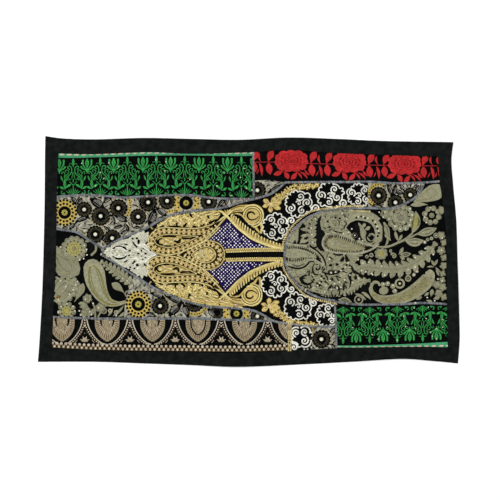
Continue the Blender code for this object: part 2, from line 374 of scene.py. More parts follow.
def stitched_thread(name, roughness, pitch_mm, contrast, specular, metallic=0.0):
    """Stranded thread laid side by side: fine bumped ridges across each stitched shape, with painted
    shade between them and a painted highlight on their crests, in the colour that the stitches carry."""
    material, tree, shader = new_material(name, "#808080", roughness, metallic, specular=specular)
    thread = add_node(tree, "ShaderNodeAttribute", {"attribute_name": "thread"})
    stitch = add_node(tree, "ShaderNodeAttribute", {"attribute_name": "stitch"})
    coordinates = add_node(tree, "ShaderNodeTexCoord")
    split = add_node(tree, "ShaderNodeSeparateXYZ", {}, {"Vector": (stitch, "Vector")})
    wobble = add_node(tree, "ShaderNodeTexNoise", {},
                      {"Vector": (coordinates, "Object"), "Scale": 1 / (3.0 * MM), "Detail": 2.0})
    slanted = add_node(tree, "ShaderNodeMath", {"operation": "MULTIPLY_ADD"},
                       {0: (split, "X"), 1: 0.5, 2: (split, "Y")})
    shifted = add_node(tree, "ShaderNodeMath", {"operation": "MULTIPLY_ADD"},
                       {0: (wobble, "Fac"), 1: 1.2, 2: (slanted, 0)})
    waves = add_node(tree, "ShaderNodeMath", {"operation": "MULTIPLY"},
                     {0: (shifted, 0), 1: 2 * math.pi / pitch_mm})
    ridge = add_node(tree, "ShaderNodeMath", {"operation": "SINE"}, {0: (waves, 0)})
    # Painted shade and highlight: the colour is darkened between the ridges and lightened on their crests
    painted_ridge_light = add_node(tree, "ShaderNodeMapRange", {},
                      {"Value": (ridge, 0), "From Min": -1.0, "From Max": 1.0,
                       "To Min": 1 - contrast, "To Max": 1 + 0.4 * contrast})
    patches = add_node(tree, "ShaderNodeTexNoise", {},
                       {"Vector": (coordinates, "Object"), "Scale": 1 / (7.0 * MM), "Detail": 3.0})
    fade = add_node(tree, "ShaderNodeMapRange", {},
                    {"Value": (patches, "Fac"), "From Min": 0.3, "From Max": 0.7,
                     "To Min": 0.85, "To Max": 1.12})
    grain = add_node(tree, "ShaderNodeTexNoise", {},
                     {"Vector": (coordinates, "Object"), "Scale": 1 / (2.6 * MM), "Detail": 1.0})
    knots = add_node(tree, "ShaderNodeMapRange", {},
                     {"Value": (grain, "Fac"), "From Min": 0.3, "From Max": 0.7,
                      "To Min": 0.78, "To Max": 1.2})
    mixed = add_node(tree, "ShaderNodeMath", {"operation": "MULTIPLY"}, {0: (painted_ridge_light, 0), 1: (fade, 0)})
    both = add_node(tree, "ShaderNodeMath", {"operation": "MULTIPLY"}, {0: (mixed, 0), 1: (knots, 0)})
    colour = add_node(tree, "ShaderNodeVectorMath", {"operation": "SCALE"},
                      {0: (thread, "Color"), "Scale": (both, 0)})
    tree.links.new(colour.outputs["Vector"], shader.inputs["Base Color"])
    bump = add_node(tree, "ShaderNodeBump", {},
                    {"Height": (ridge, 0), "Distance": 0.25 * MM, "Strength": 0.8})
    tree.links.new(bump.outputs["Normal"], shader.inputs["Normal"])
    return material


# Meshes

def new_object(name, points, faces, materials, smooth_angle=50, edges=()):
    """A mesh object; its sharp edges are those that bend by more than smooth_angle, in degrees."""
    mesh = bpy.data.meshes.new(name)
    mesh.from_pydata(np.asarray(points).tolist(), list(edges), faces)
    for material in materials:
        mesh.materials.append(material)
    mesh.shade_smooth()
    if smooth_angle is not None:
        mesh.set_sharp_from_angle(angle=math.radians(smooth_angle))
    obj = bpy.data.objects.new(name, mesh)
    bpy.context.scene.collection.objects.link(obj)
    return obj


def carry(piece, slot, *nodes):
    """The piece rides on the panel's one body; slot is not used."""
    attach(piece, "root")
    if nodes:
        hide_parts(*nodes)
    return piece


def top_edges(obj):
    """The edges round a thin node's upper face, as two arrays of x, y in metres."""
    mesh = obj.data
    corners = np.empty(len(mesh.vertices) * 3)
    mesh.vertices.foreach_get("co", corners)
    corners = corners.reshape(-1, 3)
    _, number = np.unique(np.round(corners / (0.01 * MM)), axis=0, return_inverse=True)
    number = number.reshape(-1)
    place_of = {}
    edges = {}
    for polygon in mesh.polygons:
        if polygon.normal.z < 0.7:
            continue
        found = [int(number[v]) for v in polygon.vertices]
        for v, merged in zip(polygon.vertices, found):
            place_of[merged] = corners[v, :2]
        for start, end in zip(found, found[1:] + found[:1]):
            edges[(start, end)] = True
    loop = [edge for edge in edges if (edge[1], edge[0]) not in edges]
    return np.array([place_of[a] for a, _ in loop]), np.array([place_of[b] for _, b in loop])


def inside(points, edges):
    """Which of the points, x and y, lie inside the closed line of edges."""
    result = np.zeros(len(points), bool)
    for (x0, y0), (x1, y1) in zip(*edges):
        crosses = (points[:, 1] < y0) != (points[:, 1] < y1)
        if crosses.any():
            at = x0 + (points[crosses, 1] - y0) * (x1 - x0) / (y1 - y0)
            result[crosses] ^= points[crosses, 0] < at
    return result


def bent_path(base, tip, bend):
    """A path from base to tip that bows sideways by bend, and each point's share of it."""
    base, tip = np.asarray(base, float), np.asarray(tip, float)
    t = np.linspace(0, 1, 9)
    across = np.array([base[1] - tip[1], tip[0] - base[0]])
    across = across / max(1e-6, float(np.hypot(*across)))
    return base + (tip - base) * t[:, None] + across * (4 * bend * t * (1 - t))[:, None], t


def turned(points, degrees):
    """Points turned about the origin, clockwise as seen in the photo."""
    cosine, sine = math.cos(math.radians(degrees)), math.sin(math.radians(degrees))
    points = np.asarray(points, float)
    return np.stack([points[..., 0] * cosine - points[..., 1] * sine,
                     points[..., 0] * sine + points[..., 1] * cosine], axis=-1)


def around(x, y, radius, angle):
    """The point at an angle, in radians, on a circle about x, y."""
    return x + radius * math.cos(angle), y + radius * math.sin(angle)


def between(start, end, share):
    """The point at a share of the way from start to end."""
    return start[0] * (1 - share) + end[0] * share, start[1] * (1 - share) + end[1] * share


def arc(x, y, radius, start, end, stretch=1.0, step=1.2):
    """Part of a circle or ellipse, in degrees clockwise from the right."""
    count = max(4, round(abs(math.radians(end - start)) * radius / step))
    angle = np.radians(np.linspace(start, end, count))
    return np.stack([x + radius * stretch * np.cos(angle), y + radius * np.sin(angle)], axis=1)


class Needlework:
    """Raised stitches for one patch, gathered as closed low ridges and domes.

    Paths and widths are in photo pixels, heights and lifts in millimetres over the patch.
    """

    # Photo pixels: the width from which a ridge has five points across, its least half width, and
    # the half width from which it has its whole height
    WIDE = 3.0
    THINNEST = 0.02
    FULL = 0.35
    # How far the ridges' edges sink into their patch, in millimetres
    SINK = 0.1

    def __init__(self, patch, seed=1):
        self.patch = patch
        self.random = np.random.default_rng(seed)
        self.points = []
        self.stitches = []
        self.colours = []
        self.faces = []
        self.count = 0

    def gather(self, points, stitches, faces, thread):
        # Each stroke's colour is scaled by one random factor: partly uneven dye, partly painted sheen for
        # the gloss of satin stitch that changes with the stroke's direction
        dye_and_sheen_tint = np.array(thread_colour(thread)) * self.random.uniform(0.88, 1.12)
        self.points.append(points)
        self.stitches.append(stitches)
        self.colours.append(np.tile([*dye_and_sheen_tint, 1.0], (len(points), 1)))
        self.faces += [[corner + self.count for corner in face] for face in faces]
        self.count += len(points)

    def stroke(self, path, width, thread, height=0.9, lift=0.0):
        """A ridge along a path of photo pixels, of an even width or a width for each point."""
        line = place(path)
        count = len(line)
        half = np.broadcast_to(np.asarray(width, float), (count,)) * PHOTO_PIXEL / 2
        half = np.maximum(half, self.THINNEST * PHOTO_PIXEL)
        normal = sideways(ways_along(line))
        wide = half.max() * 2 > self.WIDE * PHOTO_PIXEL
        across = np.array([1, 0.62, 0, -0.62, -1] if wide else [1, 0, -1])
        flat = line[:, None, :] + normal[:, None, :] * (across[None, :, None] * half[:, None, None])
        domed = np.sqrt(np.maximum(0, 1 - across ** 2))
        reach = np.minimum(1, half / (self.FULL * PHOTO_PIXEL))
        z = lift + height * domed[None, :] * reach[:, None]
        z[:, (0, -1)] = lift - self.SINK
        along = distances(line) / MM
        sections = len(across)
        points = np.concatenate([flat, z[:, :, None] * MM], axis=2).reshape(-1, 3)
        stitches = np.stack([
            (across[None, :] * half[:, None] / MM).reshape(-1),
            np.repeat(along, sections),
            np.zeros(count * sections),
        ], axis=1)
        faces = []
        for i in range(count - 1):
            here = i * sections
            there = here + sections
            for j in range(sections):
                k = (j + 1) % sections
                faces.append((here + j, here + k, there + k, there + j))
        faces.append(tuple(reversed(range(sections))))
        faces.append(tuple(range((count - 1) * sections, count * sections)))
        self.gather(points, stitches, faces, thread)

    def loop(self, path, width, thread, height=0.9, lift=0.0):
        """A ridge along a closed path, its two ends sunk into each other."""
        path = np.asarray(path, float)
        self.stroke(np.vstack([path, path[:2]]), width, thread, height, lift)

    def dome(self, x, y, radius, thread, height=0.8, lift=0.0, sides=8, stretch=1.0, turn=0.0):
        """A low round dome; stretch and turn make it an ellipse."""
        rings = (1.0, 0.75, 0.38) if radius > 2 else (1.0, 0.6)
        angle = np.linspace(0, 2 * math.pi, sides, endpoint=False)
        middle = place((x, y))
        cosine, sine = math.cos(math.radians(turn)), math.sin(math.radians(turn))
        points = []
        for ring in rings:
            along = np.cos(angle) * ring * radius * stretch * PHOTO_PIXEL
            across = np.sin(angle) * ring * radius * PHOTO_PIXEL
            z = lift + (height * math.sqrt(1 - ring ** 2) if ring < 1 else -self.SINK)
            points.append(np.stack([
                middle[0] + along * cosine - across * sine,
                middle[1] + along * sine + across * cosine,
                np.full(sides, z * MM),
            ], axis=1))
        points.append([[middle[0], middle[1], (lift + height) * MM]])
        points = np.vstack(points)
        faces = []
        for ring in range(len(rings) - 1):
            for i in range(sides):
                k = (i + 1) % sides
                low = ring * sides
                faces.append((low + i, low + k, low + sides + k, low + sides + i))
        top = (len(rings) - 1) * sides
        for i in range(sides):
            faces.append((top + i, top + (i + 1) % sides, len(points) - 1))
        faces.append(tuple(reversed(range(sides))))
        stitches = np.zeros((len(points), 3))
        stitches[:, :2] = (points[:, :2] - middle) / MM
        self.gather(points, stitches, faces, thread)

    def leaf(self, base, tip, width, thread, bend=0.0, plump=0.5, height=0.9, lift=0.0, ends=0.1):
        """A leaf or petal from base to tip, bent sideways, widest at the share plump of its length."""
        path, t = bent_path(base, tip, bend)
        profile = np.sin(np.pi * t ** (math.log(0.5) / math.log(plump))) ** 0.8
        self.stroke(path, width * np.maximum(profile, ends), thread, height, lift)

    def ring(self, x, y, radius, width, thread, height=0.8, lift=0.0):
        """A closed round ridge."""
        angle = np.linspace(0, 2 * math.pi, max(8, round(radius * 3.2)), endpoint=False)
        path = np.stack([x + radius * np.cos(angle), y + radius * np.sin(angle)], axis=1)
        self.loop(path, width, thread, height, lift)

    def curl(self, x, y, radius, start, turns, width, thread, height=0.9, lift=0.0, core=0.15, knob=0.0):
        """A scroll that winds inwards from its start, in degrees clockwise from the right."""
        count = max(6, round(abs(turns) * 14))
        t = np.linspace(0, 1, count)
        angle = math.radians(start) + t * turns * 2 * math.pi
        reach = radius * (1 - (1 - core) * t)
        path = np.stack([x + reach * np.cos(angle), y + reach * np.sin(angle)], axis=1)
        self.stroke(path, width * (1 - 0.25 * t), thread, height, lift)
        if knob:
            self.dome(*path[-1], knob, thread, height, lift, sides=8)

    def finish(self, name, material, slot):
        """The gathered stitches as one piece, cut off at the patch's seams and at the hem."""
        points = np.vstack(self.points)
        stitches = np.vstack(self.stitches)
        colours = np.vstack(self.colours)
        first = np.array([face[0] for face in self.faces])
        third = np.array([face[len(face) // 2] for face in self.faces])
        middles = (points[first, :2] + points[third, :2]) / 2
        kept = inside(middles, top_edges(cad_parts[self.patch]))
        x, y = within_opening(middles[:, 0], middles[:, 1])
        kept &= np.hypot(x - middles[:, 0], y - middles[:, 1]) < 1e-5
        faces = [face for face, keep in zip(self.faces, kept) if keep]
        used = np.unique(np.concatenate([np.array(face) for face in faces]))
        number = np.full(len(points), -1)
        number[used] = np.arange(len(used))
        faces = [tuple(int(number[corner]) for corner in face) for face in faces]
        points, stitches, colours = points[used], stitches[used], colours[used]
        points[:, 0], points[:, 1] = within_opening(points[:, 0], points[:, 1])
        points[:, 2] += PATCH_TOP * MM + rise(points[:, 0], points[:, 1])
        obj = new_object(name, points, faces, [material])
        stitch = obj.data.attributes.new("stitch", "FLOAT_VECTOR", "POINT")
        stitch.data.foreach_set("vector", stitches.reshape(-1))
        dyed = obj.data.attributes.new("thread", "FLOAT_COLOR", "POINT")
        dyed.data.foreach_set("color", colours.reshape(-1))
        return carry(obj, slot)


# Sizes and colours that a user would change

def metres(name, description, default, low, high):
    """A size in metres for the sidebar."""
    return FloatProperty(name=name, description=description, default=default, min=low, max=high,
                         unit="LENGTH")


def dye(name, description, colour):
    """A colour for the sidebar, from sRGB hex."""
    return FloatVectorProperty(name=name, description=description, default=hex_to_linear(colour), size=3,
                               min=0.0, max=1.0, subtype="COLOR")


class PanelSizes(PropertyGroup):
    """Sizes of the cords, braids and beads."""

    cord_width: metres("Seam cord width", "Width of the grey overcast seams", 0.0070, 0.003, 0.012)
    cord_pitch: metres("Seam stitch pitch", "Distance between overcast stitches", 0.0017, 0.001, 0.004)
    cord_thread: metres("Seam thread", "Thickness of one overcast stitch", 0.0024, 0.0008, 0.004)
    braid_width: metres("Braid width", "Width of the gold braid round the opening", 0.0084, 0.003, 0.012)
    braid_pitch: metres("Braid pitch", "Distance between the braid's twists", 0.0046, 0.002, 0.009)
    braid_thread: metres("Braid strand", "Thickness of one twist of the braid", 0.0034, 0.001, 0.006)
    flower_pearl: metres("Flower pearl", "Radius of the pearls in the dark flowers", 0.0048, 0.002, 0.006)
    small_pearl: metres("Small pearl", "Radius of the pearls on the olive cloths", 0.00205, 0.001, 0.003)
    sequin: metres("Sequin", "Radius of the sequins on the green borders", 0.00145, 0.0005, 0.003)
    white_dot: metres("White dot", "Radius of the largest beads on the violet insets", 0.0019, 0.0008, 0.003)


class PanelColours(PropertyGroup):
    """Colours of the cloths, threads and beads."""

    hem_black: dye("Hem black", "Ground cloth and hem", "#101211")
    patch_black: dye("Patch black", "Cloth under the embroidered patches", "#050606")
    lame_silver: dye("Silver cloth", "Cloth under the dark flowers", "#b2ae9b")
    cord_grey: dye("Seam grey", "Overcast seams", "#868b8e")
    braid_gold: dye("Braid gold", "Braid round the opening", "#ead596")
    leaf_green: dye("Leaf green", "Main thread of the green borders", "#3a9b4d")
    rose_red: dye("Rose red", "Main thread of the rose border", "#c02c2e")
    gold: dye("Gold", "Flat gold thread of the yoke", "#dcc378")
    pale_gold: dye("Pale gold", "Raised gold cords of the yoke", "#f4e49c")
    cream: dye("Cream", "Cord of the medallions and of the pale leaf", "#f1f0e2")
    violet: dye("Violet", "Ground of the yoke's insets", "#251456")
    olive: dye("Olive", "Main thread of the paisley cloths", "#9e9c7e")
    sand: dye("Sand", "Main thread of the arches", "#a59679")
    yellow: dye("Yellow", "Pierced rings and strips between the dark flowers", "#c8b05e")
    pearl: dye("Pearl", "Pearls and sequins", "#d6d4bc")
    glass: dye("White glass", "Beads on the violet insets", "#f4f3f4")


class PanelLooks(PropertyGroup):
    """All that the sidebar can change."""

    sizes: PointerProperty(type=PanelSizes, name="Sizes",
                           description="Sizes of the cords, braids and beads")
    colours: PointerProperty(type=PanelColours, name="Colours",
                             description="Colours of cloths, threads and beads")


# Ground cloth and hem

def crease_depth(x, y):
    """How far the creases press the hem down at points x, y in metres, in millimetres."""
    total = np.zeros(np.shape(x))
    for middle_x, middle_y, length, width, turn, depth in CREASES:
        along, across = along_and_across(x, y, middle_x, middle_y, turn)
        fade = np.clip(2 - 2 * np.abs(along) / (length / 2), 0, 1)
        total += depth * np.exp(-(across / width) ** 2) * fade
    return total


def ripple(x, y):
    """Soft unevenness of cloth that was turned over and sewn by hand, in millimetres."""
    wave = np.sin(x * 61 + 3 * np.sin(y * 17)) * np.sin(y * 73 + 2 * np.sin(x * 23))
    return 0.28 * wave + 0.14 * np.sin(x * 140 + y * 90)


def hem_section():
    """The hem in section: distance outwards from its free edge and height, in millimetres."""
    radius = CLOTH_THICKNESS + LAYER_GAP / 2
    rows = [(TUCK, CLOTH_THICKNESS), (14, CLOTH_THICKNESS), (HEM_WIDTH - 2, CLOTH_THICKNESS),
            (HEM_WIDTH - 1.7, radius), (HEM_WIDTH - 2, 1.3), (13, 1.3), (10.5, 2.0), (8, 2.8), (1, 2.8)]
    for angle in (-90, -30, 30, 90):
        rows.append((0.55 - 0.75 * math.cos(math.radians(angle)),
                     3.45 + 0.75 * math.sin(math.radians(angle))))
    rows += [(2.2, 4.0), (5, 3.85), (8, 3.6), (11, 3.1), (14, 2.75), (18, 2.55), (23, 2.45), (28, 2.4)]
    for angle in (90, 60, 30, 0, -30, -60, -90):
        rows.append((HEM_WIDTH - radius * (1 - math.cos(math.radians(angle))),
                     radius + radius * math.sin(math.radians(angle))))
    rows += [(28, 0), (14, 0), (TUCK, 0)]
    return rows


def frame_grid(inner, outer):
    """The sheet inside the hem's root as a grid that follows its four uneven sides."""
    root = inner + (outer - inner) * TUCK / HEM_WIDTH
    wide, high = EDGE_STEPS["top"], EDGE_STEPS["right"]
    corners = np.cumsum([0, wide, high, wide])
    top = root[corners[0]:corners[0] + wide + 1]
    right = root[corners[1]:corners[1] + high + 1]
    bottom = root[corners[2]:corners[2] + wide + 1][::-1]
    left = np.vstack([root[corners[3]:], root[:1]])[::-1]
    u = (np.arange(wide + 1) / wide)[None, :, None]
    v = (np.arange(high + 1) / high)[:, None, None]
    sides = (1 - v) * top[None] + v * bottom[None] + (1 - u) * left[:, None] + u * right[:, None]
    corner = ((1 - u) * (1 - v) * top[0] + u * (1 - v) * top[-1]
              + (1 - u) * v * bottom[0] + u * v * bottom[-1])
    return sides - corner


# Height over the ground cloth's underside from which the hem is rippled and creased, in millimetres
CREASED_FROM = 2.3


def build_ground_cloth(material):
    """The ground cloth with its turned hem as one closed sheet."""
    inner = edge_loop(INNER_EDGE)
    outer = edge_loop(OUTER_EDGE)
    grid = frame_grid(inner, outer)
    high, wide = grid.shape[0] - 1, grid.shape[1] - 1
    flat = grid.reshape(-1, 2)
    base = rise(flat[:, 0], flat[:, 1])
    points = [np.column_stack([flat, base + CLOTH_THICKNESS * MM]), np.column_stack([flat, base])]
    under = len(flat)
    faces = []
    for row in range(high):
        for column in range(wide):
            a = row * (wide + 1) + column
            b, c, d = a + 1, a + wide + 2, a + wide + 1
            faces.append((a, d, c, b))
            faces.append((under + a, under + b, under + c, under + d))
    rim = list(range(wide))
    rim += [row * (wide + 1) + wide for row in range(high)]
    rim += [high * (wide + 1) + column for column in range(wide, 0, -1)]
    rim += [row * (wide + 1) for row in range(high, 0, -1)]
    rows = hem_section()[1:-1]
    rings = [rim]
    start = 2 * under
    for distance, height in rows:
        ring = inner + (outer - inner) * distance / HEM_WIDTH
        z = rise(ring[:, 0], ring[:, 1]) + height * MM
        if height > CREASED_FROM:
            fade = min(1, (HEM_WIDTH - distance) / 6) * min(1, (height - 2.2) / 0.3)
            z += fade * (ripple(ring[:, 0], ring[:, 1]) - crease_depth(ring[:, 0], ring[:, 1])) * MM
        points.append(np.column_stack([ring, z]))
        rings.append(list(range(start, start + len(ring))))
        start += len(ring)
    rings.append([under + corner for corner in rim])
    for near, far in zip(rings, rings[1:]):
        for i in range(len(near)):
            k = (i + 1) % len(near)
            faces.append((near[i], near[k], far[k], far[i]))
    obj = new_object("ground_cloth", np.vstack(points), faces, [material])
    carry(obj, "black_cloth", "black_cloth")
    return obj


# Patches


def build_patch(node, material):
    """A finer copy of a patch's solid: same outline, its faces bent to the swells."""
    obj = bpy.data.objects.new(node + "_cloth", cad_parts[node].data.copy())
    bpy.context.scene.collection.objects.link(obj)
    mesh = obj.data
    mesh.materials.clear()
    mesh.materials.append(material)
    shape = bmesh.new()
    shape.from_mesh(mesh)
    bmesh.ops.remove_doubles(shape, verts=shape.verts, dist=0.01 * MM)
    long_edges = [edge for edge in shape.edges if edge.calc_length() > 5 * MM]
    bmesh.ops.subdivide_edges(shape, edges=long_edges, cuts=3, use_grid_fill=True)
    middle = (PATCH_TOP + PATCH_BOTTOM) / 2 * MM
    for vertex in shape.verts:
        base = float(rise(vertex.co.x, vertex.co.y))
        layer = PATCH_TOP if vertex.co.z - base > middle else PATCH_BOTTOM
        vertex.co.z = base + layer * MM
    shape.to_mesh(mesh)
    shape.free()
    mesh.shade_smooth()
    mesh.set_sharp_from_angle(angle=math.radians(50))
    carry(obj, node, node)
    starts, ends = top_edges(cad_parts[node])
    return obj


# Beads: x, y and radius in photo pixels, height of their middle over the cloth in millimetres

def bead_points(rows, patch, lift):
    """Bead places that lie on a patch, as x, y, z in metres with their radius."""
    rows = np.asarray(rows, float)
    flat = place(rows[:, :2])
    kept = inside(flat, top_edges(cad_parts[patch]))
    flat, radius = flat[kept], rows[kept, 2] * PHOTO_PIXEL
    z = rise(flat[:, 0], flat[:, 1]) + (PATCH_TOP + lift) * MM
    return np.column_stack([flat, z]), radius


def new_tree(name, inputs):
    """A geometry tree with an input for each name and kind of socket."""
    tree = bpy.data.node_groups.new(name, "GeometryNodeTree")
    tree.interface.new_socket("Geometry", in_out="INPUT", socket_type="NodeSocketGeometry")
    for label, kind in inputs.items():
        tree.interface.new_socket(label, in_out="INPUT", socket_type=kind)
    tree.interface.new_socket("Geometry", in_out="OUTPUT", socket_type="NodeSocketGeometry")
    return tree, add_node(tree, "NodeGroupInput"), add_node(tree, "NodeGroupOutput")


def grown_mesh(obj, tree, values, name):
    """The plain mesh that a geometry tree makes from an object, in place of that object."""
    modifier = obj.modifiers.new(tree.name, "NODES")
    modifier.node_group = tree
    for item in tree.interface.items_tree:
        if item.item_type == "SOCKET" and item.in_out == "INPUT" and item.name in values:
            modifier[item.identifier] = values[item.name]
    graph = bpy.context.evaluated_depsgraph_get()
    mesh = bpy.data.meshes.new_from_object(obj.evaluated_get(graph))
    obj.modifiers.clear()
    mesh.name = name
    grown = bpy.data.objects.new(name, mesh)
    bpy.context.scene.collection.objects.link(grown)
    bpy.data.objects.remove(obj)
    return grown


def bead_tree():
    """A low round bead on every point, as large as the point's bead_size says."""
    tree, given, made = new_tree("beads", {"Flatness": "NodeSocketFloat", "Finish": "NodeSocketMaterial"})
    points = add_node(tree, "GeometryNodeMeshToPoints", {}, {"Mesh": (given, "Geometry")})
    ball = add_node(tree, "GeometryNodeMeshUVSphere", {}, {"Segments": 8, "Rings": 6, "Radius": 1.0})
    radius = add_node(tree, "GeometryNodeInputNamedAttribute", {"data_type": "FLOAT"}, {"Name": "bead_size"})
    low = add_node(tree, "ShaderNodeMath", {"operation": "MULTIPLY"},
                   {0: (radius, 0), 1: (given, "Flatness")})
    size = add_node(tree, "ShaderNodeCombineXYZ", {}, {"X": (radius, 0), "Y": (radius, 0), "Z": (low, 0)})
    beads = add_node(tree, "GeometryNodeInstanceOnPoints", {},
                     {"Points": (points, "Points"), "Instance": (ball, "Mesh"), "Scale": (size, 0)})
    real = add_node(tree, "GeometryNodeRealizeInstances", {}, {"Geometry": (beads, 0)})
    smooth = add_node(tree, "GeometryNodeSetShadeSmooth", {}, {"Geometry": (real, 0)})
    coloured = add_node(tree, "GeometryNodeSetMaterial", {},
                        {"Geometry": (smooth, 0), "Material": (given, "Finish")})
    tree.links.new(coloured.outputs[0], made.inputs[0])
    return tree


def sew_beads(name, rows, patch, material, flatness, lift):
    """Beads on a patch as one piece; flatness is their height as a share of their width."""
    points, radius = bead_points(rows, patch, lift)
    obj = new_object(name + "_points", points, [], [], smooth_angle=None)
    obj.data.attributes.new("bead_size", "FLOAT", "POINT").data.foreach_set("value", radius)
    tree = bpy.data.node_groups.get("beads") or bead_tree()
    beads = grown_mesh(obj, tree, {"Flatness": flatness, "Finish": material}, name)
    return carry(beads, patch)


# Green borders, in photo pixels: the selvedge's middle line, its width at some x, the pattern's two
# sides, x of each finial and palmette between them, and how wide the motifs are drawn
GREEN_BORDERS = {
    "green_border_upper": {
        "band": (
            (50, 155.4), (75, 155.9), (100, 155.4), (140, 154.2), (185, 153.9), (230, 154.2), (252, 154),
        ),
        "band_width": ((50, 4.8), (100, 4), (185, 3.4), (252, 4.2)),
        "near": ((50, 157.6), (75, 158.2), (100, 157.4), (140, 156), (185, 155.8), (252, 156.2)),
        "far": ((50, 195.6), (89, 194.8), (124, 196), (186, 194.4), (216, 197.2), (253, 198.2)),
        "finials": (45.2, 73.4, 100.4, 127.5, 156.5, 184.8, 213.3, 241.4),
        "palmettes": (59.5, 87.3, 113.8, 143, 170.7, 199, 227.5, 255.5),
        "wide": 1,
    },
    "green_border_lower": {
        "band": ((334, 346.4), (360, 346.4), (400, 345.6), (430, 344.9), (452, 344.2)),
        "band_width": ((334, 2), (370, 2.4), (400, 3), (425, 4.2), (452, 6)),
        "near": ((334, 344.4), (360, 343.6), (400, 342.6), (430, 341.6), (452, 341.4)),
        "far": ((334, 306.4), (372, 306.8), (400, 306), (430, 305), (452, 305.6)),
        "finials": (316.4, 343, 369.5, 397, 422.5, 449),
        "palmettes": (329.6, 356.1, 383, 409.5, 436.3),
        "wide": 0.94,
    },
}
# Sequins on the green borders: x, y in photo pixels
GREEN_SEQUINS = {
    "green_border_upper": (
        (217.5, 166.5), (244, 168.5), (236, 172), (224, 173), (247.5, 173.5), (217, 186), (246.5, 188.5),
        (82, 163.5), (109, 163), (118.5, 166.5), (100.5, 172.5), (104, 178.5), (95.5, 186), (156, 160),
        (166, 162), (165, 171), (246, 182), (252, 190), (231, 195.5), (240.5, 177.5), (190, 179.5),
    ),
    "green_border_lower": (
        (363.5, 314), (391.5, 314.5), (403.5, 316), (428, 307), (414, 308), (442.5, 319.5), (426, 318.5),
        (352.5, 327.5), (405.5, 326.5), (415.5, 328), (387, 327), (378, 329), (430, 332), (436.5, 328.5),
        (442.5, 327), (432, 336), (436.5, 338.5), (397, 340), (372, 334.5), (387.5, 333.5), (378, 339),
    ),
}


# Height that the green motifs are drawn at, and the pitch of the selvedge's marks, in photo pixels
MOTIF_HEIGHT = 38
MARK_PITCH = 7.3


def column_at(border, middle):
    """Takes a motif's own width and height to photo pixels on one column of a border."""
    rows = GREEN_BORDERS[border]

    def at(points):
        points = np.asarray(points, float)
        x = middle + points[..., 0] * rows["wide"]
        near = np.interp(x, *np.array(rows["near"]).T)
        far = np.interp(x, *np.array(rows["far"]).T)
        return np.stack([x, near + (far - near) * points[..., 1] / MOTIF_HEIGHT], axis=-1)

    return at


# Palmette, half of it, in the motif's own pixels: width, then points u, v
PALMETTE_LINES = (
    (2.1, ((0.9, 11.6), (2.9, 9.2), (4.3, 6.2), (4.3, 2.8))),
    (1.9, ((0.6, 12.8), (2.6, 12), (4.5, 10.9), (6, 9.2))),
)
# Scrolls, stems and rays beside a column's middle, half of them
FINIAL_LINES = (
    (0.8, ((0.2, 7.8), (1.1, 6.2), (2.4, 5.5), (4, 6.5))),
    (
        1.25,
        (
            (3.5, 11.6), (4.9, 11.1), (5.5, 9.6), (4.7, 8.5), (3.1, 8.5), (1.9, 9.9), (1.5, 12.4),
            (1.8, 14.4), (2.9, 16.5), (4.3, 17.9), (6.2, 19.5), (7.8, 21.6),
        ),
    ),
    (
        1.1,
        (
            (6.9, 14.9), (8, 14.1), (7.8, 12.9), (6.5, 12.3), (5.1, 12.8), (4.5, 14.2), (4.9, 15.8),
            (6.2, 17), (7.9, 18.8), (9.2, 21),
        ),
    ),
    (1.1, ((10.8, 16.5), (11.7, 15.5), (11.3, 14.5), (10, 14.3), (8.9, 15.3), (8.4, 17), (8.9, 19.6))),
    (0.95, ((0.5, 14.6), (0.9, 18), (1.5, 21.4))),
    (1, ((7.2, 21.2), (6.3, 19.7), (4.8, 20), (4.1, 21.6), (2.4, 22.3))), (0.8, ((5.6, 22), (5.2, 23.4))),
    (0.95, ((3.8, 24.2), (2, 25.8), (0.3, 27.8))),
    (1.15, ((10.7, 33.4), (12, 34.6), (11.5, 36.5), (10, 36.7), (9.2, 35.2))),
)
# Leaves of a finial: base u, v, tip u, v, width, where it is widest
FINIAL_LEAVES = (
    (7.9, 31, 8.6, 21.6, 3.3, 0.4), (9.8, 24.4, 12.3, 18.4, 1.9, 0.6), (7.2, 24, 6.4, 20.8, 1.3, 0.5),
    (7.9, 31.2, 2.5, 27, 2.9, 0.66), (8, 31.8, 13.4, 29.2, 2.7, 0.62), (0.4, 37.8, 7.2, 33.6, 1.15, 0.66),
    (0.3, 37.8, 4.7, 32.2, 1.15, 0.66), (0.2, 37.8, 2.3, 31, 1.1, 0.66),
)


def green_palmette(work, at):
    """A lotus of five petals on a short stem."""
    work.leaf(at((0, 10.6)), at((0, 1.2)), 4.2, "leaf green", 0, 0.55, height=1.1, ends=0.25)
    work.leaf(at((0, 9.0)), at((0, 3.4)), 1.5, "deep green", 0, 0.5, 0.2, 1.0)
    for side in (-1, 1):
        for width, rows in PALMETTE_LINES:
            path = at(smooth_line([(side * u, v) for u, v in rows], 1.0))
            work.stroke(path, width * np.linspace(0.55, 1.0, len(path)), "leaf green")
            work.dome(*path[-1], width * 0.5, "leaf green", 0.9, 0, 8)
    work.dome(*at((0, 12.7)), 1.7, "leaf green", 0.9, 0, 10, 1.3)
    work.stroke(at([(0, 12.6), (0, 14.5), (0, 16.2)]), (1.8, 1.3, 0.9), "leaf green")


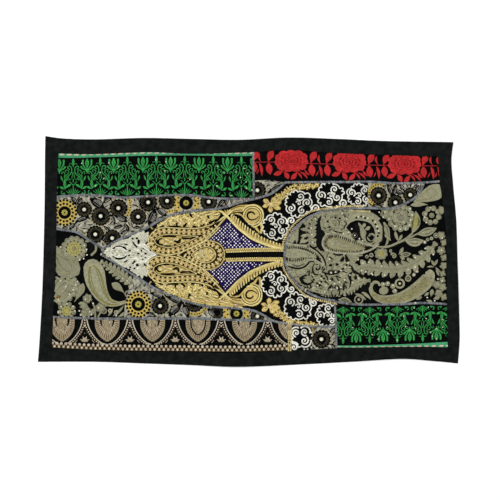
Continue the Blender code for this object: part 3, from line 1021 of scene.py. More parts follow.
def green_finial(work, at):
    """A bud over paired scrolls, side buds, foot leaves and a low fan, one column of the border."""
    work.leaf(at((0, 6.8)), at((0, 0.2)), 2.8, "leaf green", 0, 0.5, 1.0, 0, 0.3)
    work.stroke(at([(0, 6.4), (0, 9.2)]), 1.0, "leaf green")
    work.stroke(at([(0, 21.6), (0, 25.0)]), 1.1, "leaf green")
    work.stroke(at([(0, 27.0), (0, 32.0), (0, 37.6)]), (0.9, 1.2, 1.6), "leaf green")
    for side in (-1, 1):
        for width, rows in FINIAL_LINES:
            work.stroke(at(smooth_line([(side * u, v) for u, v in rows], 1.0)), 0.88 * width, "leaf green")
        for u0, v0, u1, v1, width, plump in FINIAL_LEAVES:
            base, tip = at((side * u0, v0)), at((side * u1, v1))
            work.leaf(base, tip, 0.92 * width, "leaf green", side * 0.3, plump, 1.0, 0, 0.3)
        work.stroke(at([(side * 7.9, 29.0), (side * 8.3, 25.6)]), 0.7, "deep green", 0.2, 1.0)
        work.dome(*at((side * 5.6, 21.7)), 0.8, "leaf green", 0.9, 0, 7)
        work.dome(*at((side * 8.8, 36.6)), 0.9, "leaf green", 0.8, 0, 7)


def embroider_green_border(border, material):
    """Palmettes, finials and the marked selvedge of one green border."""
    work = Needlework(border, seed=3)
    rows = GREEN_BORDERS[border]
    for middle in rows["palmettes"]:
        green_palmette(work, column_at(border, middle))
    for middle in rows["finials"]:
        green_finial(work, column_at(border, middle))
    band = smooth_line(rows["band"], 2)
    width = np.interp(band[:, 0], *np.array(rows["band_width"]).T)
    work.stroke(band, width, "band green", 0.6)
    upside = -1 if border.endswith("lower") else 1
    for x in np.arange(band[0, 0] + 2, band[-1, 0], MARK_PITCH):
        y = np.interp((x, x + 6), *band.T)
        wide = float(np.interp(x, *np.array(rows["band_width"]).T))
        low, high = y[0] - upside * 0.22 * wide, y[1] - upside * 0.3 * wide
        work.leaf((x, low), (x + 5.6, high), 0.46 * wide, "pale sand", upside * 0.3, 0.5, 0.3, 0.55)
    return work.finish(border + "_silk", material, border)


# Rose border: middle x, middle y of each rose, in photo pixels
ROSES = ((291.3, 161.0), (349.4, 161.8), (404.4, 163.8))
# Joints of the rose border's leaf pairs: x, y, size
ROSE_JOINTS = (
    (253.8, 161.4, 0.86), (268.2, 162, 1), (310.8, 163.2, 1.05), (326.4, 163.8, 1), (368.6, 165, 1),
    (383.6, 165.2, 0.95), (422.6, 165.8, 0.95),
)
# Thin forks between the leaf pairs: x, y of their joint
ROSE_FORKS = ((260.4, 162.6), (320.0, 164.6), (377.4, 165.8), (431.6, 166.0), (438.4, 166.2))
# Middle line of the rose border's stem
ROSE_STEM = (
    (252, 162.2), (275, 162.2), (300, 163.2), (330, 164.2), (360, 165), (385, 165.4), (415, 165.8),
    (446, 166),
)
# Petal rings of a rose from the outside in: petals, reach, petal width, start angle
ROSE_RINGS = ((11, 14.6, 5.2, 4), (10, 11.4, 3.4, 22), (8, 8.3, 3, 0), (6, 5.3, 2.6, 30), (4, 2.6, 2, 10))
# Leaves under a rose, from its middle: base x, base y, tip x, tip y, width, bend
ROSE_LEAVES = (
    (-8, 9.4, -17.6, 13.6, 5, -0.6), (-7.4, 10.6, -3, 18, 5, -0.5), (5.8, 11, -0.4, 18.2, 4.8, -0.5),
    (4.4, 10.6, 10.6, 17.8, 2, -1), (7.6, 10.6, 16, 17.6, 2.4, -1.3), (12.8, 7.6, 18.2, 14.2, 2.2, 0.8),
)


def embroider_rose(work, x, y):
    """One full-blown rose: rings of overlapping bowed petals over a dark red disc of painted shade that
    shows as dark gaps between them, a dark red curl of painted shade at its heart, and leaves below.
    """
    # Painted shade between the petals: a dark red disc under them
    work.dome(x, y, 9.6, "deep red", 0.6, 0, 26, 1.55)
    for ring, (count, reach, size, start) in enumerate(ROSE_RINGS):
        for k in range(count):
            middle = start + 360 * k / count
            half = 180 / count * 1.12
            angle = np.radians(np.linspace(middle - half, middle + half, 9))
            share = np.linspace(-1, 1, 9)
            out = (reach - 0.5 * size) * (1 + 0.10 * (1 - share ** 2)) + 0.5 * share
            out *= (np.cos(angle) ** 4 + np.sin(angle) ** 4) ** -0.14
            path = np.stack([x + out * 1.1 * np.cos(angle), y + out * 0.7 * np.sin(angle)], axis=1)
            squeeze = 0.9 if abs(math.sin(angle[4])) < 0.7 else 0.75
            width = size * np.maximum(0.3, np.sqrt(1 - 0.9 * share ** 2)) * squeeze
            work.stroke(path, 0.94 * width, "rose red", 0.6, 0.35 + 0.1 * ring)
    # Painted shade in the rose's heart: a dark red curl
    work.curl(x, y, 1.6, 20, 0.9, 0.6, "deep red", 0.3, 1.25)
    for u0, v0, u1, v1, width, bend in ROSE_LEAVES:
        work.leaf((x + u0, y + v0), (x + u1, y + v1), width, "rose red", bend, 0.58, ends=0.25)


def embroider_rose_border(material):
    """The stem, the three roses, and the leaf pairs and forks between them."""
    work = Needlework("rose_border", seed=5)
    work.stroke(smooth_line(ROSE_STEM, 4), 0.75, "rose red", 0.6)
    for x, y in ROSES:
        embroider_rose(work, x, y)
    for x, y, size in ROSE_JOINTS:
        upper, lower = (x + 5.2 * size, y - 10.9 * size), (x + 2.0 * size, y + 12.4 * size)
        work.leaf((x, y), upper, 7.0 * size, "rose red", -0.9, 0.62, 1.0, 0, 0.12)
        work.leaf((x + 0.6, y + 0.8), lower, 7.0 * size, "rose red", 0.3, 0.5, 1.0, 0, 0.12)
    for x, y in ROSE_FORKS:
        work.leaf((x + 1.0, y - 0.6), (x - 0.6, y - 9.8), 2.3, "rose red", -1.6, 0.6)
        work.leaf((x - 1.0, y + 0.6), (x + 1.4, y + 13.4), 3.2, "rose red", -0.9, 0.45)
        work.leaf((x - 1.8, y + 6.0), (x - 4.4, y + 11.6), 1.4, "rose red", -0.5, 0.5)
    return work.finish("rose_border_silk", material, "rose_border")


# Pinwheel flowers on the silver cloth: x, y, radius, spokes. A pearl is sewn on those with more
# spokes than this.
PEARL_SPOKES = 12
PINWHEELS = {
    "flower_strip_upper": (
        (84.4, 209.6, 7.9, 15), (100.8, 216.2, 9.7, 18), (118.5, 208.2, 9.2, 15), (138.3, 216.8, 8.3, 16),
        (95.5, 234.4, 8.9, 16), (112.4, 238.2, 8.8, 15), (148.3, 202.4, 9.4, 14), (167.2, 201, 8.6, 15),
        (208.8, 201.8, 8.6, 16),
    ),
    "flower_scrap_top": ((257.3, 190.4, 8.8, 15),),
    "flower_scrap_right": ((378.4, 195.6, 8.8, 17), (395.2, 202.6, 8.2, 14), (410, 195, 7.5, 14)),
    "flower_strip_lower": (
        (160.2, 305.9, 8.7, 16), (194.6, 303, 9.4, 15), (217, 312.4, 6.8, 12), (257.4, 316.2, 7, 14),
    ),
    "flower_scrap_bottom": ((321.3, 339.1, 9.4, 16),),
}
# Ringed flowers: x, y, radius of the yellow heart, radius of the black ring, and the two rings of
# holes in the yellow ground round it
RINGED = {
    "flower_strip_upper": ((64.8, 212.6, 3.3, 6.2, 7.9, 12), (186.2, 203, 3.1, 6.7, 0, 0)),
    "flower_scrap_top": (),
    "flower_scrap_right": (),
    "flower_strip_lower": ((138.5, 304.2, 3.5, 6.6, 8.4, 12.2), (236.5, 313.6, 3.1, 6.2, 0, 0)),
    "flower_scrap_bottom": (),
}
# Strips of pierced yellow ground between flowers: points along each strip, and its rows of holes
PIERCED = {
    "flower_strip_upper": (
        (((129, 198.6), (130.4, 204), (130.2, 209), (127.2, 216)), 1),
        (((177.6, 195.6), (176.8, 201.4), (177, 206.4), (178.6, 211.4)), 2),
        (((167.4, 212.2), (171, 211.2), (175, 210.4)), 1),
        (((196.6, 196.6), (197.2, 201), (196.4, 206), (195.2, 209.6)), 2),
    ),
    "flower_scrap_top": (),
    "flower_scrap_right": (
        (((382.8, 185.6), (378, 184.6), (373.2, 186.2), (370, 190), (368.8, 195)), 1),
        (((369, 198.6), (371.2, 202.2), (374.6, 204.4)), 1),
    ),
    "flower_strip_lower": (
        (((189.6, 313.4), (196, 314.2), (202, 312.2), (206, 308.2)), 1),
        (((246, 308.6), (246.4, 313), (245.8, 318)), 2), (((226.4, 307.6), (226, 313), (226.6, 318)), 2),
    ),
    "flower_scrap_bottom": ((((309.8, 336.4), (310.6, 332), (313.4, 328.2)), 1),),
}
# Dark leaves: base x, base y, tip x, tip y, width, bend
DARK_LEAVES = {
    "flower_strip_upper": (
        (76.4, 204, 71.6, 196.8, 5.4, 0.3), (77, 204.4, 82.2, 197.6, 5, 0.6),
        (104.2, 208.8, 90, 198.6, 9.6, 0.6), (103.4, 203.4, 112, 197.8, 5.4, -0.9),
        (89.6, 217, 75.4, 222.4, 5.6, 0.8), (75.6, 223.4, 69.6, 229.8, 5.2, 0.6),
        (110.6, 214, 115, 225, 4.4, -0.5), (115, 215.6, 127.4, 222, 7.6, -0.8),
        (113.6, 228.2, 123, 226.2, 3.8, -0.4), (132.4, 204.4, 139.4, 207.6, 1.8, -0.3),
        (148.4, 224.8, 155.6, 208.8, 9, 0.6), (167, 216.4, 156.2, 207.8, 7, 0.3),
        (131, 222, 135, 229.6, 1.5, 0.8), (133.8, 227.4, 140.4, 227, 3.8, 0.2),
        (104, 226, 110, 230.4, 3.6, 0.3), (78.6, 228.8, 85.4, 234.8, 1.3, -0.4),
        (126.4, 224, 129, 231, 4.2, 0.3), (80, 235.4, 88, 238.6, 3.4, 0.3),
        (218, 206, 224.4, 198.6, 5.4, 0.5), (226, 205.4, 228.6, 198, 5, -0.9),
        (231.6, 204.4, 232, 198, 3, -0.4), (156, 214.6, 152.6, 221, 1.3, 0.6),
        (216, 209, 221, 204.6, 3.4, 0.3), (106.6, 236, 103, 241.4, 4, 0.3),
        (136.4, 197.4, 141, 200.4, 3, 0.3), (120.4, 234, 128.6, 229.4, 4.6, 0.4),
        (62, 230, 66.6, 226, 4.4, 0.3),
    ),
    "flower_scrap_top": ((267.4, 192.8, 282.6, 184.2, 6.6, 0.9), (264.4, 198.6, 268.4, 192.4, 1.4, 0.3)),
    "flower_scrap_right": (
        (391.6, 196, 387, 184, 5.6, 0.6), (392.4, 196, 396, 184.4, 5, 0.6),
        (403.6, 193.4, 394.6, 189.6, 5.6, -0.8), (404, 191, 399, 184.4, 4.6, 0.4),
        (416, 192.6, 418.6, 185, 4.4, -0.6), (413, 187.6, 416.4, 184.2, 3, 0.4),
        (372, 205, 383, 207.6, 4.6, -0.5), (404.6, 203, 408.4, 199.6, 3, 0.2),
        (419.4, 191, 421.4, 186.4, 2.6, 0.3),
    ),
    "flower_strip_lower": (
        (165.4, 298.4, 150, 293, 6.4, 1), (184, 304, 166.6, 296.4, 7.4, 0.6),
        (181.6, 304.2, 168.8, 315.8, 9.2, 0.6), (183.4, 303.8, 188.2, 317.6, 7.4, -0.6),
        (207.6, 308.6, 215.6, 318, 6.6, -0.5), (147.4, 311.6, 156.4, 316.6, 4.8, 0.4),
        (250, 309.6, 259.6, 312.4, 4.6, -0.5), (216.6, 305.6, 210.8, 304.4, 3.8, 0.3),
        (262, 312, 269, 317, 3.6, 0.3), (252, 316.6, 260.6, 317.8, 3.6, 0.3),
        (154.8, 300.6, 151.4, 305.6, 2.6, 0.3),
    ),
    "flower_scrap_bottom": (
        (310.4, 345.4, 315.6, 351.6, 4.6, 0.3), (329.6, 332.4, 335, 327.4, 4.6, 0.4),
        (332, 343.6, 336, 350, 4.6, 0.3), (322.6, 350, 328, 352, 3, 0.3),
    ),
}
# Thin pale stems that wind between the flowers: points of each, in photo pixels
PALE_STEMS = {
    "flower_strip_upper": (
        ((109.6, 208), (111.6, 213), (111, 218.4), (108.4, 223.4)),
        (
            (96.6, 210.2), (92.4, 213.4), (91.6, 218), (94, 222.6), (98.6, 225.4), (102.4, 229),
            (105, 234), (104.4, 241),
        ),
        ((66, 195), (65.6, 200)), ((140.4, 209), (144.6, 211.6), (146.6, 216.4)),
        ((129.2, 217), (131, 223), (132, 230)), ((157, 197), (157.4, 203.4), (161, 209), (166.6, 213.6)),
        ((88, 240.6), (85.8, 236), (79.4, 229.4)),
    ),
    "flower_scrap_top": (((264.6, 197.4), (266.6, 192), (268, 187)),),
    "flower_scrap_right": (
        ((386.6, 206.6), (387, 200), (389.4, 194), (392, 186)),
        ((400.6, 193), (403.6, 198), (405.4, 203.6)),
    ),
    "flower_strip_lower": (
        ((152, 291.6), (160, 292.4), (165.6, 297.6), (170.6, 303.6), (176.6, 304.4)),
        ((169.6, 306), (168.4, 311), (163.4, 315.6)),
    ),
    "flower_scrap_bottom": (((333, 327), (331.6, 337), (332.4, 346)),),
}


def pinwheel(work, x, y, radius, spokes):
    """A black flower of curved petals with scalloped ends, parted by fine lines of dull gold."""
    work.ring(x, y, radius + 0.5, 0.3, "stem beige", 0.3)
    work.dome(x, y, radius + 0.1, "ink", 0.5, 0, 30)
    for k in range(spokes):
        start = 360 * (k + 0.5) / spokes + 46
        work.dome(*around(x, y, radius - 1.0, math.radians(start)), 1.35, "ink", 0.5, 0.05, 8)
        t = np.linspace(0, 1, 8)
        angle = np.radians(360 * k / spokes + 60 * t ** 1.1)
        reach = radius * (0.42 + 0.46 * t)
        path = np.stack([x + reach * np.cos(angle), y + reach * np.sin(angle)], axis=1)
        thread = "swirl gold" if k % 3 else "silver grey"
        work.stroke(path, 0.04 + 0.15 * np.sin(np.pi * t ** 1.6) ** 0.8, thread, 0.3, 0.5)
    work.dome(x, y, 0.36 * radius, "ink", 0.7, 0.3, 14)


def ringed_flower(work, x, y, heart, ring, near, far):
    """A yellow heart in a black ring, some with a ground of yellow pierced by dark holes."""
    if far:
        work.dome(x, y, 1.08 * (far + 1.1), "yellow", 0.45, 0, 28, 0.93)
        for row, reach in enumerate((near + 0.3, far - 0.5)):
            count = round(2 * math.pi * reach / 3.5)
            for k in range(count):
                angle = 2 * math.pi * (k + 0.5 * (row % 2)) / count
                spot = (x + reach * math.cos(angle), y + 1.08 * reach * math.sin(angle))
                work.dome(*spot, 1.3, "ink", 0.3, 0.42, 8)
    work.dome(x, y, ring + 0.2, "ink", 0.4, 0.5, 24)
    work.dome(x, y, 0.9 * heart, "heart yellow", 0.5, 0.85, 14)
    for k in range(9):
        angle = 2 * math.pi * (k + 0.5) / 9
        work.dome(*around(x, y, 0.8 * heart, angle), 0.7, "heart yellow", 0.4, 0.9, 6)
    work.dome(x, y, 0.95, "ink", 0.4, 1.35, 8)


def dark_leaf(work, base, tip, width, bend):
    """A black leaf with fine lines of dull silver laid along it."""
    work.leaf(base, tip, width, "ink", bend, 0.5, 0.45, 0, 0.2)
    if width < 2:
        return
    base, tip = np.array(base), np.array(tip)
    path, t = bent_path(base, tip, bend)
    across = np.array([base[1] - tip[1], tip[0] - base[0]]) / np.hypot(*(tip - base))
    reach = np.sin(np.pi * t) ** 0.8 * width
    if width > 6.2:
        shares, wide = (-0.2, 0.02, 0.16, 0.3), (0.3, 0.5, 0.8, 0.6)
    elif width > 4.2:
        shares, wide = (-0.1, 0.16), (0.3, 0.7)
    else:
        shares, wide = (0.1,), (0.5,)
    for row, share in enumerate(shares):
        keep = (t > 0.16 + 0.06 * (row % 2)) & (t < 0.86 - 0.5 * abs(share))
        line = (path + across * (share * reach)[:, None])[keep]
        work.stroke(line, wide[row], "silver" if row % 2 else "silver grey", 0.2, 0.5)


# Tries at the small black leaves that fill the ground, and the room round each, in photo pixels
FILLING_TRIES = 2600
FILLING_ROOM = 3.7


def black_filling(work, taken):
    """Small black leaves where the larger forms, given as x, y and radius, leave room."""
    corners = np.array([(x, y) for x, y, reach in taken])
    low, high = corners.min(axis=0) - 12, corners.max(axis=0) + 12
    for _ in range(FILLING_TRIES):
        spot = work.random.uniform(low, high)
        if all(math.hypot(spot[0] - x, spot[1] - y) > reach for x, y, reach in taken):
            way = turned((work.random.uniform(1.8, 3.4), 0.0), work.random.uniform(0, 180))
            width, bend = work.random.uniform(1.0, 2.2), work.random.uniform(-0.8, 0.8)
            work.leaf(spot - way, spot + way, width, "ink", bend, 0.5, 0.35)
            taken.append((*spot, FILLING_ROOM))


def embroider_flower_cloth(patch, material):
    """Pierced strips, leaves, flowers and the black filling of one silver cloth."""
    work = Needlework(patch, seed=11)
    for strip, rows in PIERCED[patch]:
        path = smooth_line(strip, 1.2)
        work.stroke(path, 3.8 + 2.4 * (rows - 1), "yellow", 0.35)
        for k, (point, way) in enumerate(zip(path[::2], ways_along(path)[::2])):
            side, hole = (0.0, 0.8) if rows == 1 else ((1.4, -1.4)[k % 2], 0.95)
            work.dome(*(point + sideways(way) * side), hole, "ink", 0.3, 0.36, 7)
    for rows in PALE_STEMS[patch]:
        work.stroke(smooth_line(rows, 1.2), 1.1, "stem beige", 0.4)
    for x0, y0, x1, y1, width, bend in DARK_LEAVES[patch]:
        dark_leaf(work, (x0, y0), (x1, y1), width, bend)
    for row in PINWHEELS[patch]:
        pinwheel(work, *row)
    for row in RINGED[patch]:
        ringed_flower(work, *row)
    taken = [(x, y, radius + 1.6) for x, y, radius, _ in PINWHEELS[patch]]
    taken += [(row[0], row[1], max(row[3], row[5]) + 2.0) for row in RINGED[patch]]
    taken += [((x0 + x1) / 2, (y0 + y1) / 2, 0.3 * width + 2.0)
              for x0, y0, x1, y1, width, bend in DARK_LEAVES[patch]]
    black_filling(work, taken)
    return work.finish(patch + "_thread", material, patch)


# Seam cords

def seam_lines():
    """Every corded seam's line in metres: the drawn ones and the round opening's arc."""
    lines = {name: smooth_line(np.array(rows) * MM, 4 * MM) for name, rows in SEAM_CORDS.items()}
    angle = np.radians(np.linspace(85, 266, 60))
    x = ROUND_MIDDLE[0] + (ROUND_RADII[0] - 2.5) * np.cos(angle)
    y = ROUND_MIDDLE[1] + (ROUND_RADII[1] - 2.5) * np.sin(angle)
    lines["round_opening"] = np.stack([x, y], axis=1) * MM
    return lines


def overcast_tree():
    """Close slanted stitches over each seam line, as wide and as close as the inputs say."""
    tree, given, made = new_tree("overcast", {
        "Cord Width": "NodeSocketFloat", "Pitch": "NodeSocketFloat", "Slant": "NodeSocketFloat",
        "Thread": "NodeSocketFloat", "Finish": "NodeSocketMaterial"})
    curve = add_node(tree, "GeometryNodeMeshToCurve", {}, {"Mesh": (given, "Geometry")})
    points = add_node(tree, "GeometryNodeCurveToPoints", {"mode": "LENGTH"},
                      {"Curve": (curve, "Curve"), "Length": (given, "Pitch")})
    ball = add_node(tree, "GeometryNodeMeshUVSphere", {}, {"Segments": 6, "Rings": 5, "Radius": 0.5})
    uneven = add_node(tree, "FunctionNodeRandomValue", {"data_type": "FLOAT"},
                      {2: 0.82, 3: 1.12, "Seed": 4})
    wide = add_node(tree, "ShaderNodeMath", {"operation": "MULTIPLY"},
                    {0: (given, "Cord Width"), 1: (uneven, 1)})
    high = add_node(tree, "ShaderNodeMath", {"operation": "MULTIPLY"}, {0: (given, "Thread"), 1: 0.9})
    size = add_node(tree, "ShaderNodeCombineXYZ", {},
                    {"X": (given, "Thread"), "Y": (wide, 0), "Z": (high, 0)})
    lean = add_node(tree, "FunctionNodeRandomValue", {"data_type": "FLOAT"}, {2: -0.14, 3: 0.14, "Seed": 9})
    slant = add_node(tree, "ShaderNodeMath", {"operation": "ADD"}, {0: (given, "Slant"), 1: (lean, 1)})
    align = add_node(tree, "FunctionNodeAlignRotationToVector", {"axis": "X"},
                     {"Vector": (points, "Tangent")})
    turn = add_node(tree, "FunctionNodeAxisAngleToRotation", {}, {"Axis": (0, 0, 1), "Angle": (slant, 0)})
    both = add_node(tree, "FunctionNodeRotateRotation", {"rotation_space": "LOCAL"},
                    {"Rotation": (align, 0), "Rotate By": (turn, 0)})
    stitches = add_node(tree, "GeometryNodeInstanceOnPoints", {},
                        {"Points": (points, "Points"), "Instance": (ball, "Mesh"), "Rotation": (both, 0),
                         "Scale": (size, 0)})
    tone = add_node(tree, "FunctionNodeRandomValue", {"data_type": "FLOAT"}, {2: 0.0, 3: 1.0, "Seed": 21})
    dyed = add_node(tree, "GeometryNodeStoreNamedAttribute", {"data_type": "FLOAT", "domain": "INSTANCE"},
                    {"Geometry": (stitches, 0), "Name": "dye", "Value": (tone, 1)})
    real = add_node(tree, "GeometryNodeRealizeInstances", {}, {"Geometry": (dyed, 0)})
    smooth = add_node(tree, "GeometryNodeSetShadeSmooth", {}, {"Geometry": (real, 0)})
    coloured = add_node(tree, "GeometryNodeSetMaterial", {},
                        {"Geometry": (smooth, 0), "Material": (given, "Finish")})
    tree.links.new(coloured.outputs[0], made.inputs[0])
    return tree


def overcast(name, lines, width, pitch, slant, thread, material, slot, height=0.4):
    """Stitches over the lines as one piece; height is of their middle over the patch, in mm."""
    points, edges = [], []
    for line in lines:
        x, y = within_opening(line[:, 0], line[:, 1])
        line = np.stack([x, y], axis=1)
        start = len(points)
        points += [(px, py, float(rise(px, py)) + (PATCH_TOP + height) * MM) for px, py in line]
        edges += [(start + i, start + i + 1) for i in range(len(line) - 1)]
    obj = new_object(name + "_lines", points, [], [], smooth_angle=None, edges=edges)
    tree = bpy.data.node_groups.get("overcast") or overcast_tree()
    values = {"Cord Width": width, "Pitch": pitch, "Slant": slant, "Thread": thread, "Finish": material}
    return carry(grown_mesh(obj, tree, values, name), slot)


def cord_thread(name, colour_a, colour_b, roughness=0.7, speck=None):
    """Cotton sewing thread: matt, each stitch a little lighter or darker than its neighbour."""
    material, tree, shader = new_material(name, colour_a, roughness, specular=0.2)
    tone = add_node(tree, "ShaderNodeAttribute", {"attribute_name": "dye"})
    coordinates = add_node(tree, "ShaderNodeTexCoord")
    patches = add_node(tree, "ShaderNodeTexNoise", {},
                       {"Vector": (coordinates, "Object"), "Scale": 1 / (14 * MM), "Detail": 2.0})
    both = add_node(tree, "ShaderNodeMath", {"operation": "MULTIPLY_ADD"},
                    {0: (tone, "Fac"), 1: 0.4, 2: (patches, "Fac")})
    ramp = add_node(tree, "ShaderNodeValToRGB", {}, {"Fac": (both, 0)})
    for element, position, colour in zip(ramp.color_ramp.elements, (0.4, 1.0), (colour_a, colour_b)):
        element.position = position
        element.color = (*linear(colour), 1)
    if speck:
        few = add_node(tree, "ShaderNodeMath", {"operation": "GREATER_THAN"}, {0: (tone, "Fac"), 1: 0.95})
        ramp = add_node(tree, "ShaderNodeMix", {"data_type": "RGBA"},
                        {0: (few, 0), 6: (ramp, "Color"), 7: (*hex_to_linear(speck), 1)})
    tree.links.new(ramp.outputs["Result" if speck else "Color"], shader.inputs["Base Color"])
    return material


# Yoke. Everything above its slit is drawn once and laid again below it, turned over.

YOKE_MIRROR = (-1.4, 510.4)


def yoke_place(points, lower):
    """Points of the upper half, or the same ones laid over below the slit."""
    points = np.asarray(points, float)
    if not lower:
        return points
    return np.stack([points[..., 0] + YOKE_MIRROR[0], YOKE_MIRROR[1] - points[..., 1]], axis=-1)


PAISLEY_OUTER = (
    (219.5, 220.2), (212.5, 224.2), (202.9, 227.3), (193.3, 228.5), (177.4, 228.2), (164.6, 227.5),
    (155.7, 230.4), (150.2, 236), (148.4, 243), (150.6, 248.9), (155.7, 252.8), (164.6, 254.5),
    (174.2, 254), (183.8, 251.2), (196.5, 245.5), (206.1, 240.4), (220, 227.2),
)
PAISLEY_INNER = (
    (198.4, 236.6), (183.8, 235.4), (174.2, 234.3), (163.4, 234.9), (157, 237.6), (154.8, 241.2),
    (158.3, 245), (165.9, 247.2), (174.2, 246.8), (183.8, 243.8), (198.4, 236.6),
)
PAISLEY_BEADS = (
    (211, 228.8), (200, 232), (188, 232.2), (175, 231.2), (163.6, 231.2), (156.2, 233.8), (152, 238.6),
    (151.8, 243.8), (156, 249), (165, 251), (175, 250.4), (185.6, 247.2), (197, 241.8), (206, 236.4),
    (214.6, 228.6),
)
HEART_OUTER = (
    (177.4, 255.2), (183.8, 251), (193.3, 246.3), (202.9, 241.7), (209.3, 240.9), (215.7, 242.2),
    (221, 245.4), (223.9, 250.8), (224.4, 255.4), (223.4, 260.4), (220, 265), (215, 268.2),
    (208.3, 269.4), (201.6, 268.2), (190.2, 261.4), (183.8, 258), (177.4, 255.2),
)
HEART_INNER = (
    (191.4, 255), (196, 250.4), (202, 247.4), (208, 246.8), (213.4, 249.8), (215.6, 254.8),
    (213.6, 259.6), (208.6, 262.4), (202, 262.2), (196, 259.4), (191.4, 255),
)
HEART_BEADS = (
    (187, 253.6), (194, 249), (203, 244.6), (210, 244), (216.6, 247), (219.8, 252), (219.6, 258.4),
    (216, 263.6), (209, 266.2), (202, 265.2), (194, 260.8), (187, 256.6),
)
# Flower heads of the gold band over the paisleys: x, y, radius
BAND_FLOWERS = (
    (165, 224.6, 2.3), (171.8, 223.4, 2.8), (176.6, 218.4, 2.7), (181.5, 222.6, 3.2), (184.6, 216.6, 2.2),
    (189.5, 220.4, 3.4), (196, 215.8, 2.7), (197.6, 223, 3.1), (203.8, 217.6, 3), (204.6, 223.4, 2.3),
    (170.6, 218.6, 2.1), (159.4, 226.4, 2), (190.6, 226, 1.6), (211.6, 217.2, 2.1), (213.2, 221, 1.6),
    (154.6, 228.6, 1.5),
)
# Leaves inside the paisleys: base x, base y, tip x, tip y
INNER_LEAVES = (
    (164.6, 238.2, 169.4, 240.6), (168.4, 237.6, 173.8, 238.4), (164.8, 241.6, 169, 244.4),
    (169, 242, 173.6, 241), (169.4, 244.6, 174.6, 243.6), (173.2, 240.4, 176, 237.6),
    (180, 239.6, 184.4, 241.2), (180.4, 242, 184.8, 240), (184.6, 239, 189.8, 238.4),
    (164, 245, 167, 242.6), (186, 240.6, 190.6, 238.6),
)
INSET_UPPER = (
    (227.1, 219.4), (232.6, 225.4), (238.3, 231.2), (244.6, 236.2), (251, 240.8), (256, 243.2),
    (261.2, 245.2), (269.6, 247.8), (247, 248.4), (224.9, 249.4), (221.7, 245.4), (216.6, 241.8),
    (207.2, 240.4), (217, 230),
)
FEATHERS = 19
ROSETTE = (252.3, 216.0)


def darn(work, outline, thread, step=1.3, turn=0.0, height=0.12, lift=0.0):
    """Fills an outline with close parallel rows of flat stitches, a step apart."""
    outline = turned(np.asarray(outline, float), -turn)
    starts, ends = outline, np.roll(outline, -1, axis=0)
    for row in np.arange(outline[:, 1].min() + step / 2, outline[:, 1].max(), step):
        crossing = (starts[:, 1] < row) != (ends[:, 1] < row)
        share = (row - starts[crossing, 1]) / (ends[crossing, 1] - starts[crossing, 1])
        found = np.sort(starts[crossing, 0] + share * (ends[crossing, 0] - starts[crossing, 0]))
        for left, right in zip(found[::2], found[1::2]):
            if right - left > 0.8:
                count = max(2, round((right - left) / 6) + 1)
                line = np.column_stack([np.linspace(left, right, count), np.full(count, row)])
                work.stroke(turned(line, turn), step * 1.5, thread, height, lift)


def bead_band(work, path, width, pitch=5.0):
    """A band of flat gold thread with tan beads, between pairs of dark eyelets, along a middle line."""
    line = smooth_line(path, 1.0)
    work.stroke(line, width, "worn gold", 0.3)
    stations = evenly_spaced(line, max(2, round(distances(line)[-1] / pitch)))
    ways = ways_along(stations)
    for point, way, side in zip(stations, ways, sideways(ways)):
        bead = point + way * pitch / 2
        work.dome(*bead, 1.5, "deep gold", 0.25, 0.3, 9)
        work.dome(*bead, 1.1, "bead tan", 0.6, 0.4, 8)
        for s in (-1, 1):
            spot = point + side * s * width * 0.27
            work.dome(*spot, 1.0, "ink", 0.25, 0.4, 8)
            work.dome(*(bead + side * s * width * 0.3), 0.8, "pale gold", 0.4, 0.4, 6)


def edged_cord(work, path, width, height=1.1):
    """A raised gold cord over a wider coffee stroke that paints shade along both its sides."""
    # Painted shade along the cord's sides
    work.stroke(path, width + 1.0, "coffee", 0.3, 0.35)
    work.stroke(path, width, "pale gold", height, 0.1)


def small_flower(work, x, y, radius, thread, heart, count=5, start=0.0, lift=0.0, height=0.8):
    """A few round petals about a bead-like heart."""
    for k in range(count):
        angle = math.radians(start + 360 * k / count)
        work.dome(*around(x, y, 0.62 * radius, angle), 0.4 * radius, thread, height, lift, 8)
    work.dome(x, y, 0.36 * radius, heart, height * 0.7, lift + height * 0.75, 6)


# Dark openings in the gold work of the upper half: points along each, with its width
GOLD_GAPS = (
    ((152.6, 231.2, 0.6), (154.6, 227.8, 2.4), (157.2, 225.4, 1.6)),
    ((159.4, 227.2, 0.8), (164.6, 225.8, 1.1)), ((169, 226.2, 1), (175, 226.6, 1.4), (179.6, 226.4, 1)),
    ((176.6, 222.8, 0.7), (177, 225.6, 1.6)), ((183.2, 226.6, 1.2), (185.6, 225, 2), (186.2, 223.4, 1)),
    ((192.6, 226.2, 1), (196.4, 227, 1.3)), ((202.8, 225.8, 1), (204.6, 224.2, 1.8)),
    ((208.6, 222.6, 1), (213, 221.4, 1.6), (217, 219.4, 0.8)),
    ((189.8, 212.6, 1.4), (191.2, 215.8, 1.8), (191.6, 217, 0.8)),
    ((208.4, 215.6, 1), (208.6, 218.4, 1.6)), ((204.6, 229.6, 1), (208.8, 228.8, 1.4)),
    ((162.6, 236.6, 0.8), (169, 236.2, 1.4), (176.4, 236.6, 1)),
    ((181.6, 237.6, 1), (184, 238.4, 1.6), (190, 238.6, 1), (196, 237, 0.6)),
    ((156.8, 239.6, 0.8), (157, 242.4, 2), (160.4, 245, 1)),
    ((174, 241, 1), (177.4, 241.8, 1.5), (180, 239.6, 0.8)), ((174, 244.8, 1.2), (176.6, 244.8, 0.8)),
    ((164, 245.6, 0.6), (168, 246.2, 1.3), (171, 245.8, 0.6)),
    ((212.4, 225.6, 0.8), (217.4, 220.6, 1.6), (221, 216.4, 0.9)), ((219, 212.4, 0.6), (222, 213.6, 0.9)),
)
